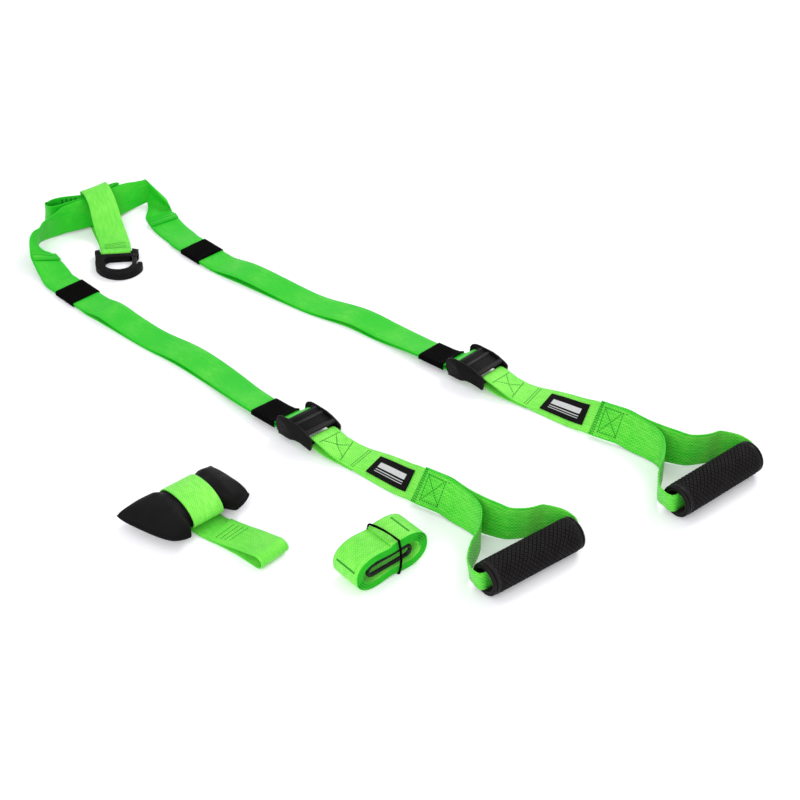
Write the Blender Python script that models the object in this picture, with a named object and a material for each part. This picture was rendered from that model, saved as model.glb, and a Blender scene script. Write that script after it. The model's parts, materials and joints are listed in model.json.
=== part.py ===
"""Suspension trainer: two webbing arms from one hook, each with a cam buckle, a yoke and a grip.

A door anchor and a rolled extension strap lie beside it, as parts of the same set.
Metres, +Z up. The origin is on the floor, in the middle of the whole spread.
"""

import math

import bmesh
import bpy
import numpy as np
from mathutils import Matrix, Vector

# Fits
GAP = 0.0003  # between pieces that touch
FLOOR_GAP = 0.0004  # webbing lies this far above the floor
LEAST_GAP = 0.0002  # and no edge of a strap comes nearer
OVERRUN = 0.002  # cutters run past what they cut
RUNNING_GAP = 0.00025  # pins in their holes

# Webbing
WEB_WIDTH = 0.038
WEB_THICKNESS = 0.0016
LAYER_SPACE = 0.0005  # air between two layers that lie on each other
LAYER = WEB_THICKNESS + LAYER_SPACE
HEM_LENGTH = 0.011
HEM_BEND = 0.00115  # radius of the folded end, at mid thickness
SEAM_ROOM = 0.00055  # between sewn layers where the webbing twists
TAIL_WAVE = 0.0045  # how far the upper layer lifts off the lower one
WEB_STEP = 3  # sections between two route points

# The laid-out plan: every plan point is a share of this spread
SPREAD = 0.5
CENTRE_shares = (-0.07857, 0.12048)  # the middle of everything laid out, where the origin is
LEFT_BUCKLE_shares = (-0.224, -0.098)
RIGHT_BUCKLE_shares = (0.154, 0.118)
LEFT_YAW = math.radians(-41)
RIGHT_YAW = math.radians(-38)
# Each buckle lies turned and tipped a little off its arm's line: x, y, yaw, tip
LEFT_SET_shares = (-0.226, -0.114, math.radians(-42), math.radians(-7.5))
RIGHT_SET_shares = (0.151, 0.107, math.radians(-39), math.radians(-6.5))

# Plan route of the load strap, left arm from the buckle back to the anchor: x, y, roll in right angles
LEFT_RUN_shares = [
    (-0.436, 0.104, 0), (-0.506, 0.170, 0), (-0.578, 0.228, 0), (-0.662, 0.304, 0),
    (-0.708, 0.346, 0), (-0.744, 0.377, 0), (-0.766, 0.400, 0), (-0.792, 0.427, 0),
    (-0.818, 0.454, 0), (-0.842, 0.479, 0), (-0.862, 0.513, 0.06), (-0.882, 0.546, 0.17),
    (-0.900, 0.574, 0.32), (-0.914, 0.598, 0.67), (-0.919, 0.624, 1.14),
]
# Round the back of the anchor, standing on its edge
BRIDGE_shares = [
    (-0.912, 0.657, 1.22), (-0.887, 0.683, 1.13), (-0.863, 0.713, 0.97), (-0.839, 0.730, 0.88),
    (-0.8076, 0.753, 0.80), (-0.7748, 0.782, 0.77), (-0.7426, 0.8078, 0.78), (-0.7092, 0.838, 0.86),
    (-0.678, 0.862, 0.98),
]
# Folded over at the back right corner: x, y, height, then the width's direction
FOLD_shares = [
    (-0.6620, 0.8710, 0.0430, (0.00, 0.00, 1.00)), (-0.6568, 0.8764, 0.0427, (-0.27, 0.26, 0.93)),
    (-0.6553, 0.8835, 0.0409, (-0.61, 0.29, 0.74)), (-0.6570, 0.8895, 0.0368, (-0.84, 0.07, 0.53)),
    (-0.6603, 0.8921, 0.0307, (-0.87, -0.28, 0.39)), (-0.6625, 0.8915, 0.0205, (-0.90, -0.30, 0.30)),
    (-0.6600, 0.8810, 0.0110, (-0.92, -0.32, 0.20)), (-0.6510, 0.8570, 0.0080, (-0.92, -0.34, 0.11)),
    (-0.6400, 0.8270, 0.0074, (-0.90, -0.42, 0.06)),
]
# Right arm from the anchor to the buckle, the webbing's other face up
RIGHT_RUN_shares = [
    (-0.631, 0.800, 2.03), (-0.6205, 0.773, 2.06), (-0.606, 0.745, 2.05), (-0.585, 0.716, 2.01),
    (-0.561, 0.686, 2), (-0.538, 0.653, 2), (-0.522, 0.6366, 2), (-0.504, 0.618, 2),
    (-0.486, 0.5994, 2), (-0.470, 0.5828, 2), (-0.430, 0.548, 2), (-0.380, 0.511, 2),
    (-0.276, 0.431, 2), (-0.194, 0.371, 2), (-0.106, 0.320, 2), (-0.034, 0.262, 2),
]
BRIDGE_LIFT = 0.0024  # the bridge stands on the hook strap's lower layer
LEFT_HEM_ROW = 12  # the tail ends over this point of LEFT_RUN_shares
RIGHT_HEM_ROW = 1
LEFT_KEEPER_shares = (-0.792, 0.427)
RIGHT_KEEPER_shares = (-0.504, 0.618)
UPPER_KEEPER_YAW = math.radians(-46.1)

# Equalizer: a sewn ring of webbing on edge behind the bridge: x, y, lean back
EQUALIZER_shares = [
    (-0.912, 0.732, -0.25), (-0.899, 0.724, -0.22), (-0.881, 0.726, -0.12), (-0.857, 0.736, 0.02),
    (-0.834, 0.7465, 0.16), (-0.8132, 0.7597, 0.28), (-0.7803, 0.7888, 0.33), (-0.762, 0.8088, 0.34),
    (-0.7450, 0.8230, 0.33), (-0.7375, 0.8302, 0.31), (-0.7395, 0.8348, 0.29), (-0.7500, 0.8298, 0.29),
    (-0.7859, 0.7985, 0.30), (-0.8185, 0.7725, 0.22), (-0.842, 0.7685, 0.12), (-0.864, 0.766, 0.02),
    (-0.892, 0.760, -0.10), (-0.908, 0.753, -0.20), (-0.917, 0.743, -0.25),
]
EQUALIZER_YAW = math.radians(41)

# Cam buckle, in the arm's own frame: x towards the handle, y to the left, z up
SIDE_ROOM = 0.0025  # from the webbing's edge to the cheek
CHEEK_THICKNESS = 0.0025
CHEEK_LENGTH = 0.054
CHEEK_HEIGHT = 0.0240
CHEEK_shares = [
    (-0.100, 0.050), (-0.170, 0.190), (-0.220, 0.430), (-0.215, 0.740), (-0.180, 0.880),
    (-0.100, 0.975), (0.000, 1.000), (0.160, 0.985), (0.370, 0.960), (0.520, 0.880),
    (0.700, 0.730), (0.765, 0.640), (0.785, 0.560), (0.780, 0.080), (0.760, 0.020),
    (0.600, 0.090), (0.460, 0.130), (0.340, 0.120), (0.200, 0.020), (0.060, 0.010),
]
BASE_LENGTH = 0.016
BASE_THICKNESS = 0.0016
PIN_RADIUS = 0.0022
PIN_HEIGHT = 0.0125
PIN_RECESS = 0.0004
DRUM_RADIUS = 0.0053
DRUM_SIDES = 20
TOOTH_COUNT = 4
TOOTH_SPREAD = math.radians(44)
LOCK_RADIUS = 0.0035
LOCK_X = 0.016
LOCK_SOCKET = 0.0012
YOKE_BAR_RADIUS = 0.003
YOKE_BAR_X = 0.037
YOKE_BAR_HEIGHT = 0.0085
ARM_THICKNESS = 0.0016
ARM_ROOM = 0.0005  # between the webbing's edge and the lever's arm
LEVER_BACK = 0.0005
LEVER_FRONT = 0.0355
LEVER_UNDER_BACK = 0.0215
LEVER_UNDER_FRONT = 0.0163
LEVER_THICKNESS = 0.0022
RIB_COUNT = 5
RIB_HEIGHT = 0.0009
SPRING_BAY = 0.0075
SPRING_RADIUS = 0.0036
SPRING_WIRE = 0.00045
SPRING_TURNS = 4
SPRING_PITCH = 0.00145
CURL_POINTS = 9

# Keepers: elastic sleeves round both layers
KEEPER_LENGTH = 0.036
KEEPER_WALL = 0.001
KEEPER_ROOM = 0.0005  # from the webbing to the sleeve's side and top
KEEPER_X = -0.036  # centre of the lower keeper
KEEPER_FLARE_shares = [(-0.5, 0), (0.10, 0.02), (0.34, 0.25), (0.5, 0.85)]
KEEPER_FLARE = 0.0042
KEEPER_CHAMFER = 0.0009
KEEPER_SLIDE = 0.004  # how far the upper keeper slides each way
KEEPER_EASE = 0.012  # over which the webbing leaves the keeper's straight run

# Yoke strap and its label
YOKE_LOWER_END = 0.098
SEAM_X = 0.180
YOKE_END = 0.211
LABEL_LENGTH = 0.050
LABEL_WIDTH = 0.025
LABEL_THICKNESS = 0.0005
LABEL_ROOM = 0.0007  # under the label, where the webbing twists
LABEL_X = 0.137

# Handle strap and grip
HANDLE_WIDTH = 0.040
HANDLE_THICKNESS = 0.0018
BORE_WEB_WIDTH = 0.0225
BORE_WEB_THICKNESS = 0.003
BORE_SAG = 0.0011  # the webbing rests on the bore's lower side
GRIP_LENGTH = 0.118
GRIP_RADIUS = 0.0184
GRIP_CENTRE = (0.336, -0.0185)
GRIP_YAW = math.radians(78)
BORE_RADIUS = 0.013
CORE_WALL = 0.0016
CAP_LENGTH = 0.006
CAP_INSET = 0.0004
CAP_GROOVE = 0.0008
SLEEVE_CHAMFER = 0.0012
GRIP_SIDES = 32

# Snap hook, in its own frame: x from the webbing bar towards the bow
HOOK_shares = (-0.720, 0.604)
HOOK_YAW = math.radians(-84)
HOOK_THICKNESS = 0.010
HOOK_FLOOR_GAP = 0.0  # the hook's flat side is the lowest face of all
HOOK_BAR_RADIUS = 0.0028
HOOK_SLOT_WIDTH = 0.0406
HOOK_SLOT_REACH = 0.008
HOOK_LENGTH = 0.057
HOOK_CHAMFER = 0.0012
HOOK_OUTLINE_shares = [
    (-0.090, -0.466), (0.080, -0.466), (0.110, -0.442), (0.220, -0.438), (0.430, -0.446),
    (0.610, -0.425), (0.780, -0.320), (0.920, -0.150), (0.990, 0.050), (0.980, 0.230),
    (0.900, 0.400), (0.780, 0.520), (0.660, 0.590), (0.540, 0.600), (0.508, 0.570),
    (0.508, 0.482), (0.600, 0.478), (0.600, 0.350), (0.640, 0.330), (0.710, 0.290),
    (0.760, 0.180), (0.772, 0.060), (0.735, -0.090), (0.650, -0.190), (0.540, -0.236),
    (0.420, -0.240), (0.300, -0.215), (0.255, -0.160), (0.250, -0.080), (0.250, 0.310),
    (0.262, 0.500), (-0.090, 0.500),
]
GATE_PIN_X = 0.011
GATE_PIN_Y = 0.0235
GATE_PIN_RADIUS = 0.0013
GATE_PIN_SIDES = 14
GATE_WIDTH = 0.0058
GATE_THICKNESS = 0.0056
GATE_TIP_X = 0.0331
GATE_BOTTOM = 0.0024
GATE_EYE_HEIGHT = 0.0030
GATE_SLOT_ROOM = 0.0006
GATE_SWING = math.radians(27)  # a little over the gate's range
GATE_SPRING_RADIUS = 0.0021
GATE_SPRING_WIRE = 0.0002
GATE_SPRING_PITCH = 0.00088
GATE_SPRING_TURNS = 2

# Hook strap: distance back from the webbing bar, height, share of the turn to the bridge's direction
HOOK_STRAP_TOP = 0.0440
HOOK_STRAP_REACH = 0.1115
HOOK_PLAN_shares = [
    (-0.720, 0.604), (-0.727, 0.642), (-0.737, 0.674), (-0.754, 0.717), (-0.771, 0.760),
    (-0.790, 0.792), (-0.802, 0.812),
]
BRIDGE_YAW = math.radians(41)

# Door anchor: a stuffed pad in a loop of webbing
PAD_shares = (-0.4394, -0.3974)
PAD_YAW = math.radians(41.5)
PAD_LENGTH = 0.108
PAD_WIDTH = 0.066
PAD_HEIGHT = 0.031
PAD_CORNER_shares = {
    (-1, -1): (-0.82, -1.08), (1, -1): (1.05, -0.86), (-1, 1): (-1.22, 1.00), (1, 1): (0.95, 0.90),
}
PAD_SEAM = 0.0016
PAD_WAIST = 0.0045  # how far the webbing bites into the pad
PAD_WRAP_X = 0.003
PAD_STEPS = (26, 12)
RING_SECTIONS = 36
TAIL_PLAN_shares = [
    (-0.414, -0.414), (-0.386, -0.439), (-0.346, -0.466), (-0.305, -0.497), (-0.265, -0.533),
]
TAIL_LOOP_RADIUS = 0.0046
TAIL_RISE = 0.0075

# Rolled extension strap with its carabiner, standing on the edge of the roll
ROLL_shares = (-0.040, -0.560)
ROLL_YAW = math.radians(41)
ROLL_LOOPS = 4.25
LOOP_POINTS = 24
ROLL_PITCH = 0.00225
ROLL_INNER_HALF_LENGTH = 0.037
ROLL_INNER_HALF_HEIGHT = 0.0142
ROLL_PINCH = 0.0036  # how far the band draws in the top
ROLL_ARCH = 0.0054  # and how far the bottom arches up over the band
ROLL_PINCH_WIDTH = 0.018
ROLL_SQUARE = 0.78
ROLL_FLAT = 0.0002
CARABINER_LENGTH = 0.060
CARABINER_HEIGHT = 0.0160
CARABINER_ROD = 0.0022
CARABINER_SETBACK = 0.0055  # from the roll's near face
CARABINER_DROP = 0.0015  # below the hollow's middle, where it rests on the webbing
CARABINER_GATE_GAP = 0.0005
FORK_WIDTH = 0.0022
GATE_RIVET = 0.0007
BAND_WIDTH = 0.0028
BAND_THICKNESS = 0.0010
BAND_X = 0.005  # from the roll's middle
BAND_SKEW = 0.16  # it lies a little aslant


def clear_scene():
    for old in list(bpy.data.objects):
        bpy.data.objects.remove(old, do_unlink=True)


def make_material(name, colour, roughness, metallic=0.0):
    material = bpy.data.materials.new(name)
    material.use_nodes = True
    shader = material.node_tree.nodes["Principled BSDF"]
    shader.inputs["Base Color"].default_value = (*colour, 1)
    shader.inputs["Roughness"].default_value = roughness
    shader.inputs["Metallic"].default_value = metallic
    return material


def make_materials():
    green = (0.045, 0.72, 0.06)
    black = (0.012, 0.011, 0.012)
    return {
        "webbing": make_material("webbing", green, 0.55),
        "handle_webbing": make_material("handle_webbing", green, 0.65),
        "keeper": make_material("keeper_elastic", black, 0.8),
        "plastic": make_material("moulded_plastic", black, 0.45),
        "steel": make_material("blackened_steel", (0.05, 0.05, 0.055), 0.4, 0.9),
        "rubber": make_material("grip_rubber", black, 0.75),
        "label": make_material("label_cloth", black, 0.7),
        "pad": make_material("pad_cloth", black, 0.6),
    }


def add_object(name, bm, material, smooth_angle=35.0):
    """Turns the bmesh into a named object with outward faces, its smooth angle in degrees."""
    bmesh.ops.recalc_face_normals(bm, faces=bm.faces)
    mesh = bpy.data.meshes.new(name)
    bm.to_mesh(mesh)
    bm.free()
    mesh.materials.append(material)
    mesh.shade_smooth()
    mesh.set_sharp_from_angle(angle=math.radians(smooth_angle))
    made = bpy.data.objects.new(name, mesh)
    bpy.context.scene.collection.objects.link(made)
    return made


def place(made, frame):
    """Puts the object in the frame; its origin becomes the frame's."""
    made.matrix_world = frame
    return made


def move_origin(made, point):
    """Moves the object's origin to a point of its own frame, with the mesh left where it is."""
    made.data.transform(Matrix.Translation(-Vector(point)))
    made.matrix_world = made.matrix_world @ Matrix.Translation(Vector(point))
    return made


def combine(made, others, operation):
    """Applies a Boolean of each other object to the first and removes the others."""
    for other in others:
        modifier = made.modifiers.new(operation.lower(), "BOOLEAN")
        modifier.operation = operation
        modifier.solver = "EXACT"
        modifier.object = other
    graph = bpy.context.evaluated_depsgraph_get()
    mesh = bpy.data.meshes.new_from_object(made.evaluated_get(graph))
    made.modifiers.clear()
    made.data = mesh
    mesh.shade_smooth()
    mesh.set_sharp_from_angle(angle=math.radians(35))
    for other in others:
        bpy.data.objects.remove(other, do_unlink=True)
    return made


def plan(shares):
    """A plan point in metres from its shares of the spread."""
    x, y = shares[0] - CENTRE_shares[0], shares[1] - CENTRE_shares[1]
    return Vector((x * SPREAD, y * SPREAD, 0))


def yaw_frame(origin, yaw, height=0.0):
    lift = Matrix.Translation(Vector((0, 0, height)))
    return Matrix.Translation(origin) @ lift @ Matrix.Rotation(yaw, 4, "Z")


def smooth_rows(rows, steps):
    """Rows on a smooth curve through the given rows, whose first three columns are a point."""
    rows = np.array(rows, float)
    gaps = np.linalg.norm(np.diff(rows[:, :3], axis=0), axis=1)
    slopes = np.diff(rows, axis=0) / gaps[:, None]
    tangents = np.empty_like(rows)
    tangents[0], tangents[-1] = slopes[0], slopes[-1]
    before, after = gaps[:-1, None], gaps[1:, None]
    tangents[1:-1] = (slopes[:-1] * after + slopes[1:] * before) / (before + after)
    out = []
    for i, gap in enumerate(gaps):
        for k in range(steps):
            t = k / steps
            start = (2 * t**3 - 3 * t**2 + 1) * rows[i] + (t**3 - 2 * t**2 + t) * gap * tangents[i]
            end = (3 * t**2 - 2 * t**3) * rows[i + 1] + (t**3 - t**2) * gap * tangents[i + 1]
            out.append(start + end)
    out.append(rows[-1])
    return np.array(out)


def section_frames(points, hints, closed=False):
    """Tangent, width direction and face normal at each point, from a hint of the width direction."""
    points = np.array(points, float)
    if closed:
        tangents = np.roll(points, -1, axis=0) - np.roll(points, 1, axis=0)
    else:
        tangents = np.gradient(points, axis=0)
    tangents /= np.linalg.norm(tangents, axis=1)[:, None]
    widths = np.array(hints, float)
    widths = widths - (widths * tangents).sum(axis=1)[:, None] * tangents
    widths /= np.linalg.norm(widths, axis=1)[:, None]
    return tangents, widths, np.cross(tangents, widths)


def strip(
    name, points, hints, material, width=WEB_WIDTH, thickness=WEB_THICKNESS, closed=False, sections=None,
    backwards=False,
):
    """A flat strap swept along the points; width and thickness may vary from point to point.

    Sections, where given, are the width directions and face normals, so that neighbours share them.
    Its faces are split the same way as those of a layer below; backwards is for one swept the other way.
    """
    across, normals = sections if sections else section_frames(points, hints, closed)[1:]
    widths = np.broadcast_to(width, (len(points),))
    depths = np.broadcast_to(thickness, (len(points),))
    bm = bmesh.new()
    rings = []
    for point, side, normal, w, t in zip(points, across, normals, widths, depths):
        corners = [(a * side * w + b * normal * t) / 2 for a, b in ((-1, -1), (1, -1), (1, 1), (-1, 1))]
        lowest = point[2] + min(corner[2] for corner in corners)
        lift = np.array((0.0, 0.0, max(0.0, LEAST_GAP - lowest)))
        rings.append([bm.verts.new(point + lift + corner) for corner in corners])
    ends = rings + [rings[0]] if closed else rings
    for first, second in zip(ends, ends[1:]):
        for k in range(4):
            a, b, c, d = first[k], first[k - 1], second[k - 1], second[k]
            split = ((a, b, d), (b, c, d)) if (k == 1) != backwards else ((a, b, c), (a, c, d))
            for corners in split:
                bm.faces.new(corners)
    if not closed:
        bm.faces.new(rings[0])
        bm.faces.new(rings[-1][::-1])
    return add_object(name, bm, material)


def prism(name, outline, low, high, material, axis="Y", chamfer=0.0):
    """An outline of (x, z) along y, or of (x, y) along z, with its end faces chamfered."""
    bm = bmesh.new()
    points = [Vector((a, low, b)) if axis == "Y" else Vector((a, b, low)) for a, b in outline]
    step = Vector((0, high - low, 0)) if axis == "Y" else Vector((0, 0, high - low))
    face = bm.faces.new([bm.verts.new(p) for p in points])
    top = bmesh.ops.extrude_face_region(bm, geom=[face])
    moved = [g for g in top["geom"] if isinstance(g, bmesh.types.BMVert)]
    bmesh.ops.translate(bm, verts=moved, vec=step)
    if chamfer:
        bmesh.ops.recalc_face_normals(bm, faces=bm.faces)
        rims = [e for e in bm.edges if len({round(v.co[1 if axis == "Y" else 2], 6) for v in e.verts}) == 1]
        bmesh.ops.bevel(bm, geom=rims, offset=chamfer, segments=1, affect="EDGES")
    return add_object(name, bm, material)


def box(name, low, high, material):
    outline = [(low[0], low[2]), (high[0], low[2]), (high[0], high[2]), (low[0], high[2])]
    return prism(name, outline, low[1], high[1], material)


def turned(name, profile, sides, material, axis="X"):
    """A closed (along, radius) profile turned about the X, Y or Z axis."""
    bm = bmesh.new()
    rings = []
    for k in range(sides):
        angle = math.tau * k / sides
        ring = []
        for along, radius in profile:
            a, b = radius * math.cos(angle), radius * math.sin(angle)
            place_at = {"X": (along, a, b), "Y": (a, along, b), "Z": (a, b, along)}[axis]
            ring.append(bm.verts.new(place_at))
        rings.append(ring)
    count = len(profile)
    for k in range(sides):
        first, second = rings[k - 1], rings[k]
        for j in range(count):
            bm.faces.new((first[j - 1], first[j], second[j], second[j - 1]))
    return add_object(name, bm, material)


def rod(name, low, high, radius, material, axis="Y", sides=20):
    """A round bar along the axis, between two places on it."""
    bm = bmesh.new()
    bmesh.ops.create_cone(
        bm, cap_ends=True, segments=sides, radius1=radius, radius2=radius, depth=high - low
    )
    turn = {
        "X": Matrix.Rotation(math.pi / 2, 4, "Y"),
        "Y": Matrix.Rotation(-math.pi / 2, 4, "X"),
        "Z": Matrix.Identity(4),
    }[axis]
    middle = {"X": (1, 0, 0), "Y": (0, 1, 0), "Z": (0, 0, 1)}[axis]
    bmesh.ops.transform(bm, matrix=turn, verts=bm.verts)
    bmesh.ops.translate(bm, vec=Vector(middle) * (low + high) / 2, verts=bm.verts)
    return add_object(name, bm, material)


def tube(name, points, radius, sides, material):
    """A round wire along the points, with flat ends."""
    points = np.array(points, float)
    tangents = np.gradient(points, axis=0)
    tangents /= np.linalg.norm(tangents, axis=1)[:, None]
    helper = np.array((0.0, 0.0, 1.0)) if abs(tangents[0][2]) < 0.9 else np.array((0.0, 1.0, 0.0))
    side = np.cross(tangents[0], helper)
    bm = bmesh.new()
    rings = []
    for point, tangent in zip(points, tangents):
        side = side - (side @ tangent) * tangent
        side /= np.linalg.norm(side)
        up = np.cross(tangent, side)
        angles = [math.tau * k / sides for k in range(sides)]
        rings.append([bm.verts.new(point + radius * (math.cos(a) * side + math.sin(a) * up)) for a in angles])
    for first, second in zip(rings, rings[1:]):
        for k in range(sides):
            bm.faces.new((first[k - 1], first[k], second[k], second[k - 1]))
    bm.faces.new(rings[0][::-1])
    bm.faces.new(rings[-1])
    return add_object(name, bm, material)


def coil(name, turns, radius, wire, pitch, start, material, axis="Y"):
    """A wire spring about an axis, from a start place along it."""
    points = []
    for k in range(round(turns * CURL_POINTS) + 1):
        angle = math.tau * k / CURL_POINTS
        a, b, along = radius * math.cos(angle), radius * math.sin(angle), start + pitch * k / CURL_POINTS
        points.append((a, along, b) if axis == "Y" else (a, b, along))
    print(f"{name}: least gap between curls {1000 * (pitch - 2 * wire):.2f} mm")
    return tube(name, points, wire, 6, material)


def arc(centre, radius, start, end, count):
    """Points (x, z) on an arc, angles in degrees."""
    angles = [math.radians(start + (end - start) * k / count) for k in range(count + 1)]
    return [(centre[0] + radius * math.cos(a), centre[1] + radius * math.sin(a)) for a in angles]


def to_world(frame, rows):
    """Local (x, y, z) points of a frame in world coordinates."""
    return [np.array(frame @ Vector(row)) for row in rows]


def direction(frame, local):
    return np.array(frame.to_3x3() @ Vector(local))


# Heights shared by the straps, the buckle and the keepers
FLAT_Z = FLOOR_GAP + WEB_THICKNESS / 2
KEPT_Z = FLOOR_GAP + KEEPER_WALL + GAP + WEB_THICKNESS / 2
BASE_TOP = FLOOR_GAP + BASE_THICKNESS
BASE_WEB_Z = BASE_TOP + GAP + WEB_THICKNESS / 2
LOCK_Z = BASE_WEB_Z + WEB_THICKNESS / 2 + GAP + LOCK_RADIUS
LOCK_WRAP = LOCK_RADIUS + GAP + WEB_THICKNESS / 2
DRUM_WEB_Z = PIN_HEIGHT + DRUM_RADIUS + LAYER_SPACE + WEB_THICKNESS / 2
INNER_HALF = WEB_WIDTH / 2 + SIDE_ROOM
OUTER_HALF = INNER_HALF + CHEEK_THICKNESS
BUCKLE_TAIL_X = KEEPER_X - KEEPER_LENGTH / 2 - 2 * SIDE_ROOM
GRIP_HEIGHT = GRIP_RADIUS + FLOOR_GAP


def buckle_frames():
    """Each buckle's frame: turned, and tipped about the foot of its left cheek, which stays on the floor."""
    frames = {}
    for side, (x, y, yaw, tip) in (("left", LEFT_SET_shares), ("right", RIGHT_SET_shares)):
        foot = Matrix.Translation((0, OUTER_HALF, 0))
        tipped = foot @ Matrix.Rotation(tip, 4, "X") @ foot.inverted()
        frames[side] = yaw_frame(plan((x, y)), yaw) @ tipped
    return frames


def keeper_frames():
    """The upper keepers' frames, with x along the webbing towards the handle."""
    places = {"left": LEFT_KEEPER_shares, "right": RIGHT_KEEPER_shares}
    return {side: yaw_frame(plan(place_at), UPPER_KEEPER_YAW) for side, place_at in places.items()}


def settle(points, hints, frame, reach_low, reach_high, ease):
    """Straightens the part of a route that runs through a keeper, in the keeper's frame."""
    inverse = frame.inverted()
    side = direction(frame, (0, 1, 0))
    for k, point in enumerate(points):
        local = inverse @ Vector(point)
        beyond = max(reach_low - local.x, local.x - reach_high, 0.0)
        if beyond > ease or abs(local.y) + abs(local.z) > WEB_WIDTH / 2:
            continue
        share = math.cos(beyond / ease * math.pi / 2) ** 2 if beyond else 1.0
        straight = np.array(frame @ Vector((local.x, 0, KEPT_Z)))
        points[k] = points[k] * (1 - share) + straight * share
        hint = hints[k] * (1 - share) + math.copysign(share, hints[k] @ side) * side
        hints[k] = hint / np.linalg.norm(hint)


def main_route():
    """The load strap from under the left cam, round the anchor, to under the right cam, with its marks."""
    frames = buckle_frames()
    base_end = BASE_LENGTH / 2
    local = [
        (LOCK_X - LOCK_RADIUS, BASE_WEB_Z), (0.0, BASE_WEB_Z), (-base_end, BASE_WEB_Z),
        (KEEPER_X + KEEPER_LENGTH / 2, KEPT_Z), (KEEPER_X, KEPT_Z), (BUCKLE_TAIL_X, KEPT_Z),
    ]
    ends = {}
    for side, frame in frames.items():
        hint = direction(frame, (0, -1, 0))
        ends[side] = [(*(frame @ Vector((x, 0, z))), *hint) for x, z in local]

    def lying(table, lift):
        """Rows of a table of x, y and roll, at the height where the lower edge is on the floor."""
        spots = np.array([plan((x, y)) for x, y, _ in table])
        slopes = np.gradient(spots, axis=0)
        rows = []
        for spot, slope, (_, _, roll) in zip(spots, slopes, table):
            heading = slope / np.linalg.norm(slope)
            angle = roll * math.pi / 2
            left = np.array((-heading[1], heading[0], 0.0))
            hint = math.cos(angle) * left + math.sin(angle) * np.array((0, 0, 1.0))
            half = WEB_WIDTH / 2 * abs(math.sin(angle)) + WEB_THICKNESS / 2 * abs(math.cos(angle))
            rows.append((*spot[:2], half + FLOOR_GAP + lift, *hint))
        return rows

    fold = [(*plan((x, y))[:2], z * SPREAD, *hint) for x, y, z, hint in FOLD_shares]
    parts = [
        ends["left"], lying(LEFT_RUN_shares, 0.0), lying(BRIDGE_shares, BRIDGE_LIFT), fold,
        lying(RIGHT_RUN_shares, 0.0), ends["right"][::-1],
    ]
    starts = np.cumsum([0] + [len(part) for part in parts]) * WEB_STEP
    dense = smooth_rows([row for part in parts for row in part], WEB_STEP)
    marks = {
        "left_tail": (len(local) - 1) * WEB_STEP,
        "left_hem": starts[1] + LEFT_HEM_ROW * WEB_STEP,
        "bridge_start": starts[2],
        "bridge_end": starts[4],
        "right_hem": starts[4] + RIGHT_HEM_ROW * WEB_STEP,
        "right_tail": starts[5],
    }
    points, hints = dense[:, :3], dense[:, 3:]
    margin = KEEPER_LENGTH / 2 + 3 * LAYER
    upper = margin + 2 * KEEPER_SLIDE
    for frame in keeper_frames().values():
        settle(points, hints, frame, -upper, upper, KEEPER_EASE)
    for frame in frames.values():
        settle(points, hints, frame, KEEPER_X - margin, KEEPER_X + margin, 0.0)
    return points, hints, marks


def cut_slice(points, across, normals, start, end):
    """Part of a route with half a gap taken off at each end that meets another piece."""
    points = points[start : end + 1].copy()
    for index, other in ((0, 1), (-1, -2)):
        inward = points[other] - points[index]
        points[index] += inward / np.linalg.norm(inward) * GAP / 2
    return points, (across[start : end + 1], normals[start : end + 1])


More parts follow.
